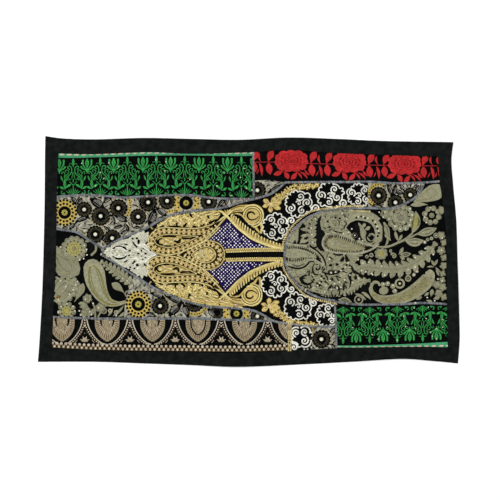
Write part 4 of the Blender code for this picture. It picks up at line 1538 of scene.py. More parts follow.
# Loose leaves laid on the gold band: base x, base y, tip x, tip y
GOLD_LEAVES = (
    (156, 227.4, 163, 222.6), (160.6, 223.4, 168, 219.4), (168, 221.4, 174, 216.6),
    (205, 214.6, 213, 212.6), (212.6, 214.8, 221.4, 212), (199.4, 213.4, 206.4, 211.6),
    (188.2, 213.2, 195, 212.4), (207.6, 219.8, 214.4, 216.2),
)


# Ground between the lower half's flower band and the seam: along the band, then back along the seam
LOWER_EDGING = (
    (178, 296), (190, 297), (204, 299), (218, 299.2), (230, 301), (240, 305), (243, 308.4), (226, 307.4),
    (212, 307), (200, 305.6), (190, 302.6), (178, 298.6),
)


GOLD_BAND = (
    (153.6, 229), (158, 224.4), (165, 219.6), (176, 215.6), (188, 214), (200, 212), (214, 210.6),
    (222, 211), (218, 218.6), (208, 223.6), (196, 226.4), (180, 226.6), (166, 226.2),
)


def gold_flower_band(work, at, hand):
    """The band over the paisley: a darned ground, flower heads on coffee discs of painted shade, and loose
    leaves over wider dark gold leaves of painted shade.
    """
    darn(work, at(GOLD_BAND), "gold", 1.25, 12 * hand, 0.08, 0.1)
    for k, (x, y, radius) in enumerate(BAND_FLOWERS):
        x, y = at((x, y))
        # Painted shade round each flower head: a wider coffee disc under it
        work.dome(x, y, radius * 1.42, "coffee", 0.3, 0.2, 12)
        for j in range(6):
            spot = around(x, y, 0.86 * radius, x * 0.7 + math.pi * j / 3)
            work.dome(*spot, 0.5 * radius, ("gold", "pale gold")[j % 2], 0.6, 0.35, 8)
        work.dome(x, y, 0.55 * radius, "pale gold" if k % 3 else "bead tan", 0.6, 0.5, 8)
        work.dome(x + 0.2, y + 0.3, 0.2 * radius, "coffee", 0.3, 0.95, 6)
    for x0, y0, x1, y1 in GOLD_LEAVES:
        base, tip = at((x0, y0)), at((x1, y1))
        # Painted shade round each leaf: a wider dark gold leaf under it
        work.leaf(base, tip, 3.8, "dark gold", 0.5 * hand, 0.5, 0.3, 0.4)
        work.leaf(base, tip, 2.5, "pale gold", 0.5 * hand, 0.5, 0.5, 0.65)
        work.stroke((between(base, tip, 0.2), between(base, tip, 0.7)), 0.4, "coffee", 0.2, 1.05)


def gold_paisley(work, at, hand):
    """The paisley: its ground, leaves, dark openings and two scrolls, then its beads and cords."""
    edged_cord(work, at(arc(153.4, 226.6, 2.4, 200, 20)), 1.3)
    darn(work, at(PAISLEY_INNER), "worn gold", 1.2, 0, 0.08, 0.1)
    for k, (x0, y0, x1, y1) in enumerate(INNER_LEAVES):
        base, tip = at((x0, y0)), at((x1, y1))
        # Painted shade round each leaf: a wider coffee leaf under it
        work.leaf(base, tip, 2.5, "coffee", 0.3 * hand, 0.5, 0.3, 0.2)
        work.leaf(base, tip, 1.8, ("pale gold", "gold", "bead tan")[k % 3], 0.3 * hand, 0.5, 0.5, 0.4)
    for rows in GOLD_GAPS:
        rows = np.asarray(rows, float)
        work.stroke(at(rows[:, :2]), rows[:, 2] + 0.5, "ink", 0.3, 1.0)
    work.stroke(at(arc(161.4, 241.8, 3.0, 60, 290)), 1.6, "ink", 0.3, 0.8)
    work.curl(*at((161.8, 241.6)), 2.0, 230 * hand, 0.9 * hand, 1.1, "pale gold", 0.9, 0.3, knob=1.0)
    work.stroke(at(arc(178.0, 240.2, 2.6, -50, 130)), 1.4, "ink", 0.3, 0.8)
    work.curl(*at((177.6, 239.8)), 1.9, 200 * hand, 0.9 * hand, 1.1, "pale gold", 0.9, 0.3, knob=0.9)
    bead_band(work, at(PAISLEY_BEADS), 6.2)
    edged_cord(work, at(smooth_line(PAISLEY_INNER, 1.2)), 1.35, height=1.15)
    edged_cord(work, at(smooth_line(PAISLEY_OUTER, 1.2)), 1.5, height=1.2)


# Cords over the violet inset: from the paisley up to where they cross, and down its right side
INSET_LEFT_CORD = ((203.8, 241.2), (212, 232.4), (219.4, 224.6), (226.8, 216.2))
INSET_CROSSING_CORD = ((219.5, 220.6), (223, 217.8), (227, 215), (233, 210.4))
INSET_RIGHT_CORD = (
    (221, 211.6), (226.8, 216.2), (232.6, 222.4), (238.6, 228.6), (245.2, 233.8), (251.8, 238.6),
    (262, 243.2), (270.6, 246.2), (281, 248.6),
)


def inset_cords(work, at):
    """The cords at the violet inset's sides, and the small fan where they cross."""
    edged_cord(work, at(smooth_line(INSET_LEFT_CORD, 1.5)), 1.7, height=1.3)
    work.stroke(at(smooth_line(INSET_CROSSING_CORD, 1.5)), 1.9, "pale gold", 1.2, 0.2)
    work.stroke(at(smooth_line(INSET_RIGHT_CORD, 1.5)), 2.2, "pale gold", 1.3, 0.1)
    for tip in ((221.4, 210.6), (224.6, 209.8), (227.6, 209.6), (219.0, 212.6)):
        work.leaf(at((226.4, 214.8)), at(tip), 1.5, "gold", 0.2, 0.6)


FEATHER_SPINE = (
    (230.6, 218.4), (238, 226.4), (246, 233), (254, 238.4), (264, 242.6), (274, 245.6), (283, 247.6),
)
FEATHER_SHADE = ((233.4, 214.6), (237, 218.8), (241.4, 223.4), (246.6, 227.8), (252, 231.4))


def gold_feathers(work, at, hand):
    """The comb of feathers beside the inset, with dark gaps at the tips of all but the last, a painted
    highlight on each feather's crest and a line of painted shade beside each feather.
    """
    spine = smooth_line(FEATHER_SPINE, 1)
    work.stroke(at(smooth_line(FEATHER_SHADE, 1.2)), 3.4, "ink", 0.3, 0.15)
    feathers = []
    for k, foot in enumerate(evenly_spaced(spine, FEATHERS)):
        reach = np.interp(k, (0, 3, 8, 13, 18), (4.2, 6.8, 7.0, 4.8, 3.4))
        feathers.append((foot, foot + np.array([1.4 - 0.12 * k, -reach]), reach))
    for foot, tip, reach in feathers[1:15]:
        work.dome(*at(tip + (1.7, -0.5)), 1.5, "ink", 0.3, 0.45, 8)
        work.dome(*at(tip + (0.3, -1.6)), 1.3, "ink", 0.3, 0.45, 8)
    for k, (foot, tip, reach) in enumerate(feathers):
        work.leaf(at(foot + (0, 1.0)), at(tip), 2.7, "gold", 0.4 * hand, 0.6, 1.0, 0.05, 0.4)
        # Painted highlight: a pale gold leaf along the feather's crest
        crest = at(foot * 0.55 + tip * 0.45), at(tip + (0.1, -0.2))
        work.leaf(*crest, 1.6, "pale gold", 0.2 * hand, 0.6, 0.3, 0.85, 0.4)
        # Painted shade: a dark gold line beside the feather, between it and the next
        groove = at(foot + (1.6, -0.8)), at(foot + (2.1 - 0.07 * k, -0.68 * reach))
        work.stroke(groove, 0.45, "dark gold", 0.25, 0.85)
    work.stroke(at(spine + (0.6, -0.4)), 2.4, "gold", 0.5)


# The rosette's body from its tail to its head, with its width; and the dark spiral on it
ROSETTE_BODY = ((227, 212.6, 2), (232, 210.6, 4.4), (239, 208.6, 7), (246, 208.4, 8), (253, 207.8, 6.4))
ROSETTE_SPIRAL = (
    (258.6, 216.4), (256.6, 218.4), (253.6, 219.8), (250.4, 219.7), (248.2, 218), (247.4, 215.4),
    (248.3, 213.1), (250.9, 212.1), (253.4, 212.8), (254.7, 214.8),
)
# Lines round the rosette: width, thread, height and lift in millimetres, points
# The dark gold lines are painted shade between the rosette's cords
ROSETTE_LINES = (
    (0.7, "dark gold", 0.25, 0.55, ((244.6, 206.2), (238, 206.8), (231, 210))),
    (0.7, "dark gold", 0.25, 0.55, ((243, 210), (237, 210.4), (230, 212.6))),
    (0.7, "dark gold", 0.25, 0.55, ((247, 203.9), (240, 204.6), (233.6, 207.4))),
    (0.7, "dark gold", 0.25, 0.55, ((241, 212.6), (236, 212.4), (231, 213.6))),
    (1.6, "ink", 0.3, 0.5, ((233, 214.8), (236.6, 215.4), (236.8, 218), (234.6, 217.2))),
    (1.6, "ink", 0.3, 0.5, ((239.6, 218.4), (242, 221), (244.6, 224.4))),
    (1.6, "gold", 0.9, 0.1, ((244.6, 218.6), (240.8, 214.8), (236, 213.8), (232, 214.8))),
    (3, "gold", 0.9, 0, ((259.6, 223), (262, 226.4), (261.6, 230.2), (260.2, 233.8))),
    (2.6, "gold", 0.9, 0, ((251.4, 226), (255.6, 227.6), (257.6, 230.6), (259, 233.4))),
)


def gold_rosette(work, at, hand):
    """The large scroll: a broad body, pale rings and dark rings of painted shade that make them read as
    raised and sunk, a dark spiral, and lines about it.
    """
    x, y = at(ROSETTE)
    body = smooth_line([row[:2] for row in ROSETTE_BODY], 1.4)
    widths = [row[2] for row in ROSETTE_BODY]
    width = np.interp(np.arange(len(body)) * 1.4, (0, 5.4, 12.6, 19.6, 26.6), widths)
    work.stroke(at(body), width, "gold", 0.4)
    work.dome(x + 1.1, y - 1.6 * hand, 10.9, "gold", 0.5, 0, 28, 1.02)
    for radius, start, end in ((10.9, -150, 80), (8.7, -175, 120)):
        work.stroke(at(arc(*ROSETTE, radius, start, end)), 1.2, "pale gold", 0.5, 0.3)
    # Painted shade: thin dark gold rings that stand for sunk grooves
    for radius, start, end in ((9.8, -165, 40), (7.6, -190, 70)):
        work.stroke(at(arc(*ROSETTE, radius, start, end)), 0.7, "dark gold", 0.25, 0.6)
    spiral = smooth_line(ROSETTE_SPIRAL, 0.8)
    width = np.interp(np.linspace(0, 1, len(spiral)), (0, 0.4, 0.75, 1), (0.7, 1.5, 2.0, 1.2))
    work.stroke(at(spiral), width, "ink", 0.35, 0.85)
    for width, thread, height, lift, rows in ROSETTE_LINES:
        work.stroke(at(smooth_line(rows, 1.2)), width, thread, height, lift)
    for x, y, radius in ((235.6, 217.2, 1.0), (238.6, 219.0, 0.9), (254.4, 231.0, 1.2), (257.4, 233.8, 1.0)):
        work.dome(*at((x, y)), radius, "gold", 0.8)


# Petals of the open flower beside the rosette: base x, base y, tip x, tip y, width
GOLD_PETALS = (
    (270, 203.6, 263.4, 199.8, 5.6), (272, 204.2, 281.2, 202.2, 6.2), (271.6, 205.6, 280.4, 208.8, 5.6),
    (270, 205.6, 270.8, 212.4, 5.4), (271.4, 202.6, 275.4, 197.4, 5.6), (269.4, 204.6, 262.8, 206.8, 4.4),
)
GOLD_CHAIN = (
    (273.4, 200.6), (279.6, 197.2), (284.6, 193.6), (289, 190.2), (294.6, 187.6), (301.6, 186.6),
    (309, 186.4), (317.4, 185.6),
)
CHAIN_FLOWERS = 18
CHAIN_GAPS = (
    (283.2, 190.6), (286.8, 189), (288.7, 186.8), (284.2, 187.4), (291.3, 185), (292.6, 187.6),
    (296.4, 188), (298.2, 185), (280.4, 193),
)


def gold_petals(work, at):
    """An open flower of six petals about a bead: each petal over a wider dark leaf of painted shade, with a
    painted highlight on its crest and a dark vein of painted shade.
    """
    for x0, y0, x1, y1, width in GOLD_PETALS:
        base, tip = at((x0, y0)), at((x1, y1))
        # Painted shade round the petal: a wider dark gold leaf under it
        work.leaf(base, tip, width + 1.2, "dark gold", 0, 0.6, 0.35, 0.3, 0.4)
        work.leaf(base, tip, 0.86 * width, "gold", 0, 0.6, 0.6, 0.6, 0.4)
        # Painted highlight: a pale gold leaf along the petal's crest
        crest = between(base, tip, 0.4), between(base, tip, 0.9)
        work.leaf(*crest, 0.4 * width, "pale gold", 0, 0.5, 0.3, 1.0, 0.4)
        # Painted shade along the petal's vein
        work.stroke((between(base, tip, 0.2), between(base, tip, 0.6)), 0.8, "dark gold", 0.25, 1.1)
    work.dome(*at((271.2, 204.2)), 1.9, "bead tan", 0.8, 1.0)


def gold_chain(work, at):
    """The chain of small flowers that runs on from the open flower and thins out, each flower on a dark gold
    disc of painted shade.
    """
    chain = smooth_line(GOLD_CHAIN, 1.0)
    width = np.interp(np.linspace(0, 1, len(chain)), (0, 0.25, 0.5, 0.8, 1), (7.0, 8.0, 7.4, 5.2, 3.0))
    work.stroke(at(chain), width, "gold", 0.35)
    for k, point in enumerate(evenly_spaced(chain, CHAIN_FLOWERS)):
        side = 2.2 * math.sin(k * 2.4) * (1 - 0.5 * k / CHAIN_FLOWERS)
        x, y = at(point + (0.5 * side, side))
        # Painted shade round each flower: a dark gold disc under it
        work.dome(x, y, 2.6, "dark gold", 0.3, 0.15, 10)
        small_flower(work, x, y, 2.5, "gold", "pale gold", 4, k * 33, 0.35, 0.6)
        # Small dark dots between the flowers; the dark gold ones are painted shade
        work.dome(*at(point + (1.3, -side)), 0.9, "dark gold" if k % 2 else "deep gold", 0.3, 0.7, 6)
    for spot in CHAIN_GAPS:
        work.dome(*at(spot), 1.05, "ink", 0.3, 0.9, 7)


def gold_half(work, lower):
    """One half of the yoke's gold work, the lower one laid over from the upper."""
    def at(points):
        return yoke_place(points, lower)
    hand = -1 if lower else 1
    gold_flower_band(work, at, hand)
    gold_paisley(work, at, hand)
    inset_cords(work, at)
    gold_feathers(work, at, hand)
    gold_rosette(work, at, hand)
    gold_petals(work, at)
    gold_chain(work, at)


# Lobes of a medallion's rim, in degrees: half a lobe that goes round a scroll, and a lobe between
SCROLL_LOBE = 20
RIM_LOBE = 21


def cloud(work, x, y, radius, curls):
    """A medallion of cream cord: four scrolls from its middle inside a rim of round lobes."""
    width = 1.4
    curls = sorted(curls, key=lambda row: math.atan2(row[1] - y, row[0] - x))
    lobes = []
    for k, (cx, cy, size) in enumerate(curls):
        out = math.degrees(math.atan2(cy - y, cx - x))
        hand = 1 if k % 2 else -1
        work.curl(cx, cy, size + 0.3, out + 180 - 42 * hand, 1.3 * hand, width, "cream", 1.1, 0.05,
                  core=0.12, knob=0.9)
        lobes.append((out, SCROLL_LOBE, math.hypot(cx - x, cy - y) + size + 1.2))
        after = curls[(k + 1) % len(curls)]
        free = (math.degrees(math.atan2(after[1] - y, after[0] - x)) - out) % 360 - 2 * SCROLL_LOBE
        count = max(1, round(free / RIM_LOBE))
        for j in range(count):
            middle = abs(j - (count - 1) / 2) < 0.6
            lobes.append((out + SCROLL_LOBE + free * (j + 0.5) / count, 0.5 * free / count,
                          radius + (0.4 if middle else -0.3)))
    turn = np.arange(0, 360, 2.0)
    low = radius - 2.9
    reach = np.full(len(turn), low)
    for middle, half_lobe, top in lobes:
        off = (turn - middle + 180) % 360 - 180
        reach = np.maximum(reach, low + (top - low) * np.sqrt(np.maximum(0, 1 - (off / half_lobe) ** 2)))
    ways = np.stack([np.cos(np.radians(turn)), np.sin(np.radians(turn))], axis=1)
    work.loop(ways * reach[:, None] + (x, y), 0.9 * width, "cream", 1.1)
    work.curl(x, y, 3.0, 200, 1.0, width * 0.85, "cream", 1.1, 0.05, core=0.1, knob=0.8)


# Cloud medallions: x, y, radius, then each scroll's x, y, radius, in photo pixels
CLOUDS = (
    (
        275.2, 226.4, 13.2,
        ((271.2, 220, 3.9), (281.6, 221.8, 3.9), (271.8, 233.2, 3.9), (282.2, 230.4, 3.8)),
    ),
    (
        298.6, 203.4, 13.8,
        ((300.4, 196.6, 3.9), (291.2, 208.2, 3.9), (301.8, 210.4, 3.8), (306.8, 202.6, 3.9)),
    ),
    (
        330.4, 195.4, 13.8,
        ((321.4, 195.2, 3.9), (334.4, 189.4, 3.9), (337, 197.4, 3.8), (329, 201.8, 3.8)),
    ),
    (
        359, 195.4, 11.8,
        ((351.6, 192.8, 3.7), (364.6, 190.4, 3.6), (357.6, 201.4, 3.7), (366, 199.4, 3.4)),
    ),
    (274.6, 284, 13.2, ((270.8, 276.4, 3.9), (281, 279.8, 3.9), (281.2, 288.4, 3.8), (271, 290.8, 3.9))),
    (298.2, 306.6, 14.4, ((290.6, 302, 3.9), (300.6, 299.8, 3.9), (306.2, 307.4, 3.9), (299, 314, 4))),
    (327.4, 315, 12, ((328.2, 308.4, 3.7), (320.4, 314.8, 3.9), (334, 316, 3.2), (331.6, 321, 3))),
)
# Loose scrolls beside the medallions: x, y, radius, start angle, turns
LOOSE_SCROLLS = (
    (316, 208.4, 4.2, 160, 1.3), (343.5, 203.4, 4.2, 160, 1.3), (291.4, 220.8, 4, 150, 1.3),
    (291.2, 288.8, 4, -150, -1.3), (313.6, 302.6, 4, -150, -1.3),
)


# Pitch of the dots' slanted grid, and where the grid stands on the upper and the lower inset
DOT_PITCH = 2.55
DOT_GRIDS = ((238, 238), (238, 272))


def inset_dots():
    """Places of the white dots on the violet insets: a slanted grid, in photo pixels."""
    rows = []
    for lower in (False, True):
        outline = yoke_place(INSET_UPPER, lower)
        middle = outline.mean(axis=0)
        shrunk = outline + (middle - outline) * 0.07
        edges = (shrunk, np.roll(shrunk, -1, axis=0))
        steps = np.arange(-25, 26)
        spots = np.array([turned((i * DOT_PITCH, k * DOT_PITCH), 45) + DOT_GRIDS[lower]
                          for i in steps for k in steps])
        uneven = np.random.default_rng(5)
        spots += uneven.normal(0, 0.17, spots.shape)
        rows += [tuple(spot) for spot in spots[inside(spots, edges)] if uneven.uniform() > 0.07]
    return rows


HEART_MIDDLE = (204.8, 254.9)


def gold_heart(work):
    """The drop between the two paisleys: loose seed stitches inside two cords and a bead band."""
    bead_band(work, HEART_BEADS, 5.0, 4.3)
    work.dome(204.4, 254.9, 7.8, "worn gold", 0.4, 0, 24, 1.5)
    for k in range(150):
        x, y = work.random.uniform(192, 217), work.random.uniform(247.4, 262.2)
        if ((x - HEART_MIDDLE[0]) / 10.4) ** 2 + ((y - HEART_MIDDLE[1]) / 6.8) ** 2 < 1:
            work.dome(x, y, 0.8, ("pale gold", "bone", "gold", "coffee", "pale gold")[k % 5], 0.4, 0.4, 6)
    edged_cord(work, smooth_line(HEART_INNER, 1.2), 1.3, height=1.2)
    edged_cord(work, smooth_line(HEART_OUTER, 1.2), 1.5, height=1.2)
    for spot in ((224.5, 250.8), (224.5, 259.6), (223.0, 253.0), (223.0, 257.6)):
        work.dome(*spot, 0.9, "gold", 0.8)


# Braid at each side of the slit: its left and right end
SLIT_BRAIDS = (((226.0, 250.8), (283.0, 249.6)), ((226.0, 259.8), (283.0, 259.2)))
BRAID_KNOTS = 26


def gold_slit(work):
    """The slit: a flat braid with two rows of knots at each side, each knot with a dark dot of painted shade
    beside it, and black cloth between.
    """
    for (x0, y0), (x1, y1) in SLIT_BRAIDS:
        work.stroke(((x0, y0), ((x0 + x1) / 2, (y0 + y1) / 2 - 0.4), (x1, y1)), 4.2, "gold", 0.35)
        for row in (-1.3, 1.3):
            for k in range(BRAID_KNOTS):
                share = (k + (0.5 if row > 0 else 0)) / BRAID_KNOTS
                x, y = x0 + (x1 - x0) * share, y0 + (y1 - y0) * share - 0.4 * math.sin(math.pi * share)
                work.dome(x, y + row, 0.8, "pale gold", 0.5, 0.25, 6)
                # Painted shade: a dark gold dot beside each knot
                work.dome(x + 1.1, y + row * 0.35, 0.6, "dark gold", 0.3, 0.3, 6)
    work.stroke(((225.4, 255.8), (254.0, 255.0), (283.6, 254.6)), 6.6, "ink", 0.7)


def lower_edging(work):
    """The darned strip along the yoke's lower seam, with a row of leaves on it, each over a wider dark gold
    leaf of painted shade.
    """
    darn(work, LOWER_EDGING, "gold", 1.25, -8, 0.08, 0.1)
    for k, point in enumerate(evenly_spaced(np.array(LOWER_EDGING[:6], float), 13)[1:]):
        x, y = point + (0.4, 2.6 + 0.7 * math.sin(k * 2.1))
        thread = ("pale gold", "gold", "bead tan")[k % 3]
        # Painted shade round each leaf: a wider dark gold leaf under it
        work.leaf((x + 3.4, y + 0.6), (x - 3.0, y - 0.8), 2.9, "dark gold", 0.4, 0.5, 0.3, 0.3)
        work.leaf((x + 3.0, y + 0.5), (x - 2.8, y - 0.7), 1.9, thread, 0.4, 0.5, 0.5, 0.5)
        if k % 3 == 1:
            work.dome(x + 2.6, y + 2.2, 0.9, "ink", 0.3, 0.7, 7)


def embroider_yoke_gold(material):
    """The violet insets, both gold halves, the heart, the slit and the lower edging."""
    work = Needlework("yoke", seed=17)
    for lower in (False, True):
        darn(work, yoke_place(INSET_UPPER, lower), "violet", 1.3, 45)
        gold_half(work, lower)
    gold_heart(work)
    gold_slit(work)
    lower_edging(work)
    return work.finish("yoke_gold_thread", material, "yoke")


# Upper edge of the cream leaf from its left point to its right one; the lower edge mirrors it
LEAF_EDGE = (
    (97.6, 251.4), (103, 248.4), (108.4, 245.6), (114, 243.2), (120, 240.8), (126, 239.6), (130.6, 239.6),
    (131.4, 236.6), (135, 234.2), (140.4, 232.6), (144.4, 233), (148.4, 236), (148, 243), (149.4, 248.6),
    (153, 252.4), (158, 254.4),
)
# Its middle line
LEAF_MIDDLE = ((97.6, 251.4), (130.0, 252.8), (158.0, 254.4))
# Dark openings of its lace: points along each, with its width
LEAF_GAPS = (
    ((112.6, 248.8, 0.6), (115.4, 247.6, 1.3)),
    ((116, 246.6, 0.5), (119.4, 246, 0.9), (122.4, 246.8, 0.7)),
    ((122.8, 247, 1), (125.2, 248.2, 1.4), (126.8, 250, 0.7)), ((128.8, 250.2, 0.9), (131, 251, 1)),
    ((132.6, 241.6, 0.6), (135, 245, 1.4), (137.4, 247.4, 0.7)),
    ((135.8, 238.4, 1.6), (138.2, 238.4, 1.3)),
    ((138.8, 239.6, 0.8), (138.8, 241.6, 2.4), (138.4, 244, 1)),
    ((131.8, 238.6, 1.2), (133.8, 238.8, 1.2)), ((145.4, 244.2, 0.8), (148, 241.8, 1.4)),
    ((141.4, 249.8, 1.2), (141.9, 251.6, 0.9)), ((143, 248.2, 0.9), (144.2, 248.8, 0.8)),
    ((137.4, 253.5, 1.2), (139.6, 253.5, 1.2)), ((144.6, 253.4, 1.2), (146.8, 254, 1.4)),
    ((150, 248.8, 0.7), (150.8, 251.4, 0.6)), ((128.2, 255.9, 1.1), (130.2, 254.7, 0.9)),
    ((124, 258.2, 1), (126.8, 255.6, 0.8)),
    ((115.4, 258.6, 0.6), (119.4, 259.2, 0.9), (123.6, 258.2, 0.7)), ((113, 256.6, 1), (114, 256.4, 0.8)),
    ((141.2, 256.2, 1), (142, 256, 0.8)), ((145, 257.8, 1), (146.2, 257.2, 0.8)),
    ((142.4, 259.6, 1), (143.6, 259.4, 0.8)), ((132.2, 264, 0.7), (135.4, 260.8, 1.4)),
    ((136.6, 263.6, 0.8), (137.2, 265.4, 2.6), (139, 265, 1)), ((144, 263.6, 1), (145.8, 265.6, 1.3)),
    ((133.6, 268.4, 1.4), (135.4, 268.4, 1.2)), ((129.4, 267.2, 1.2), (131.2, 267.2, 1.2)),
    ((104, 249.4, 0.9), (106.2, 249, 0.8)), ((103.6, 254.2, 0.9), (106, 254.6, 0.8)),
    ((109.6, 246.8, 0.9), (111, 246.2, 0.8)), ((109, 257.6, 0.9), (111, 258.6, 0.8)),
    ((124, 243.6, 0.5), (127.6, 245, 0.8)), ((124, 262.2, 0.5), (127.6, 260.6, 0.8)),
)


# The point that the cream leaf's stitches run towards, and x where its scallops end
LEAF_FOOT = (158, 254.5)
LEAF_SCALLOPS_END = 149
# Fans of small leaves on the cream leaf: x, y, then their tips
LEAF_FANS = (
    (142.4, 238.6, ((143.4, 229.8), (148.8, 232.2), (138.2, 231.8), (134.4, 236.2), (149.4, 238.2))),
    (141.6, 269.4, ((142.2, 278.6), (147.2, 276.2), (137, 276.2), (133.4, 271.6), (148.4, 269.6))),
    (130.4, 242.6, ((130, 237.2), (125.8, 239.2))), (128.4, 263.8, ((128.6, 269), (123.8, 267))),
)
# The two lines round its eye, and y between them
LEAF_EYE = (
    ((110.4, 251.4), (113.6, 248.8), (119, 247.4), (124.4, 248.8), (127.6, 252.2)),
    ((110.4, 252.6), (113.6, 255.8), (119, 257.2), (124.4, 256.2), (127.6, 252.8)),
)
LEAF_EYE_MIDDLE = 252.4


def leaf_scallops(work, middle, sides):
    """Round scallops along both edges of the cream leaf, each with a small leaf inside."""
    for side in sides:
        for spot in evenly_spaced(side, 30)[1:-1]:
            if spot[0] < LEAF_SCALLOPS_END:
                toward = np.array([spot[0], np.interp(spot[0], *middle.T)]) - spot
                toward /= max(1.0, float(np.hypot(*toward)))
                work.dome(*(spot + toward * 0.8), 1.45, "bone", 0.6, 0.05, 9)
                base, tip = spot + toward * 5.4 + (1.6, 0), spot + toward * 1.2
                work.leaf(base, tip, 1.9, "bone", 0.2, 0.6, 0.4, 0.2, 0.3)


def leaf_ground(work, outline):
    """Small close stitches on the cream leaf, all towards its foot."""
    edges = (outline, np.roll(outline, -1, axis=0))
    spots = np.array([(x, y) for x in np.arange(101.0, 156.0, 2.3) for y in np.arange(232.0, 280.0, 2.1)])
    spots += work.random.normal(0, 0.35, spots.shape)
    for k, spot in enumerate(spots[inside(spots, edges)]):
        way = np.array(LEAF_FOOT) - spot
        way = way / float(np.hypot(*way)) * 1.7
        thread = ("bone", "cream", "bone", "thread shade")[k % 4]
        work.leaf(spot - way, spot + way, 1.15, thread, 0.2, 0.5, 0.35, 0.15, 0.3)


def cream_leaf(work):
    """The cream leaf at the yoke's left tip: small close stitches, a scalloped edge, dark openings."""
    middle = smooth_line(LEAF_MIDDLE, 1.0)
    edge = smooth_line(LEAF_EDGE, 1.0)
    mirror = edge.copy()
    mirror[:, 1] = 2 * np.interp(edge[:, 0], *middle.T) - edge[:, 1] + 1.0
    outline = np.vstack([edge, mirror[::-1]])
    darn(work, outline, "bone", 1.25, 0, 0.08, 0.1)
    leaf_scallops(work, middle, (edge, mirror))
    leaf_ground(work, outline)
    for x, y, tips in LEAF_FANS:
        for tip in tips:
            work.leaf((x, y), tip, 3.5, "bone", 0, 0.62, 0.7, 0.25, 0.25)
            work.stroke((between((x, y), tip, 0.3), between((x, y), tip, 0.7)), 0.6, "silver", 0.2, 0.85)
    for line in LEAF_EYE:
        path = smooth_line(line, 1.2)
        work.stroke(path, 1.0, "cream", 0.4, 0.5)
        away = np.sign(path[:, 1:] - LEAF_EYE_MIDDLE) * (0, 1.0)
        work.stroke((path + away)[3:-3], 0.9, "ink", 0.3, 0.6)
    for share in (-0.62, -0.3, 0.3, 0.62):
        path = smooth_line(((156.0, 254.5), (146.0, 254.2 + 9 * share), (134.0, 253.6 + 17 * share)), 1.4)
        work.stroke(path, 0.8, "cream", 0.25, 0.4)
    for rows in LEAF_GAPS:
        rows = np.asarray(rows, float)
        work.stroke(rows[:, :2], rows[:, 2] + 0.5, "ink", 0.3, 1.0)


def embroider_yoke_cream(material):
    """The scroll medallions, the loose scrolls and the cream leaf."""
    work = Needlework("yoke", seed=23)
    for x, y, radius, curls in CLOUDS:
        cloud(work, x, y, radius, curls)
    for x, y, radius, start, turns in LOOSE_SCROLLS:
        work.curl(x, y, radius, start, turns, 1.6, "cream", 1.0, 0.05, 0.12, 0.9)
    cream_leaf(work)
    return work.finish("yoke_cream_thread", material, "yoke")


# Olive paisley cloths, all in photo pixels

# Plain leaves and petals: base x, base y, tip x, tip y, width, bend, share of length at the widest
OLIVE_LEAVES = {
    "paisley_cloth_right": (
        (390.4, 240.6, 384, 222, 8.4, -1.6, 0.58), (412, 233, 415.6, 211.4, 8.6, 2.2, 0.5),
        (417, 234, 436.4, 228.2, 8.6, 0.8, 0.5), (405.2, 240.6, 423.4, 240.4, 8.8, 1.8, 0.5),
        (427.4, 204.8, 410.4, 205.4, 5, 0.8, 0.6), (398.6, 242, 395, 231, 3.4, -0.5, 0.6),
        (398, 241, 402, 234.6, 3, 0.3, 0.6), (384.4, 247, 387, 235.6, 2.4, 1.6, 0.5),
        (296.6, 244, 298.4, 228.4, 3.6, -0.5, 0.45), (292, 244, 293.4, 233, 4.4, 0.3, 0.5),
        (299.6, 244, 303.4, 237, 4.6, 0.5, 0.6), (338, 299.4, 351.4, 302.2, 5.4, -0.8, 0.5),
        (366, 300, 354.6, 293.6, 3.4, 0.8, 0.5), (370.6, 299.4, 360.6, 291.4, 3.2, 0.8, 0.5),
        (398.4, 254.6, 403, 247.4, 3.6, 0.4, 0.6), (400, 254.4, 410.8, 253.6, 5.2, 0.6, 0.5),
        (399.6, 255.6, 404.6, 259.6, 3.4, 0.2, 0.6), (434, 266, 431, 260, 2.6, 0.3, 0.5),
        (434.6, 265.6, 437.6, 259.4, 2.8, -0.3, 0.5), (434, 267, 426.6, 267.2, 1.8, 0.6, 0.5),
        (435.4, 267, 441, 272.6, 2.4, 0.5, 0.5), (436, 268, 439.2, 276, 2.4, 0.4, 0.5),
        (422, 297, 416, 299.4, 3.2, 0.2, 0.5), (430.6, 296.6, 432, 289, 4.2, 0.2, 0.6),
        (433, 299, 439.6, 296.4, 4, 0.2, 0.6), (426, 300, 432.4, 302.2, 3.6, 0.2, 0.6),
        (424, 296, 428.4, 292.4, 3, 0.2, 0.6),
    ),
    "paisley_cloth_left": (
        (74.6, 301.8, 83.4, 283.2, 7.6, 0.8, 0.68), (125, 293.6, 112, 283.2, 7.6, 0.8, 0.68),
        (57, 300, 63, 280.6, 4.2, -0.4, 0.6), (59, 300, 68.6, 282, 4.4, 0.5, 0.66),
        (60, 300.4, 73.4, 285.4, 4.4, 0.6, 0.7), (60.6, 301, 75.2, 290.6, 4.2, 0.6, 0.7),
        (60.6, 301.6, 72.4, 296, 3.8, 0.5, 0.7), (56, 291, 60.4, 277.6, 3, 0.5, 0.6),
        (56.4, 283, 66, 276.4, 2.4, -1, 0.5), (86, 303.4, 78.6, 303.8, 3.2, 0.5, 0.6),
        (87, 297.6, 83, 299.8, 2.6, 0.3, 0.6), (84, 310, 90.4, 308.6, 3.6, 0.3, 0.6),
        (108, 316, 113, 308, 2.6, 0.5, 0.5), (113, 316, 124, 305.4, 2.6, 0.8, 0.5),
        (118, 317, 128, 309.4, 3, 0.8, 0.5),
    ),
}
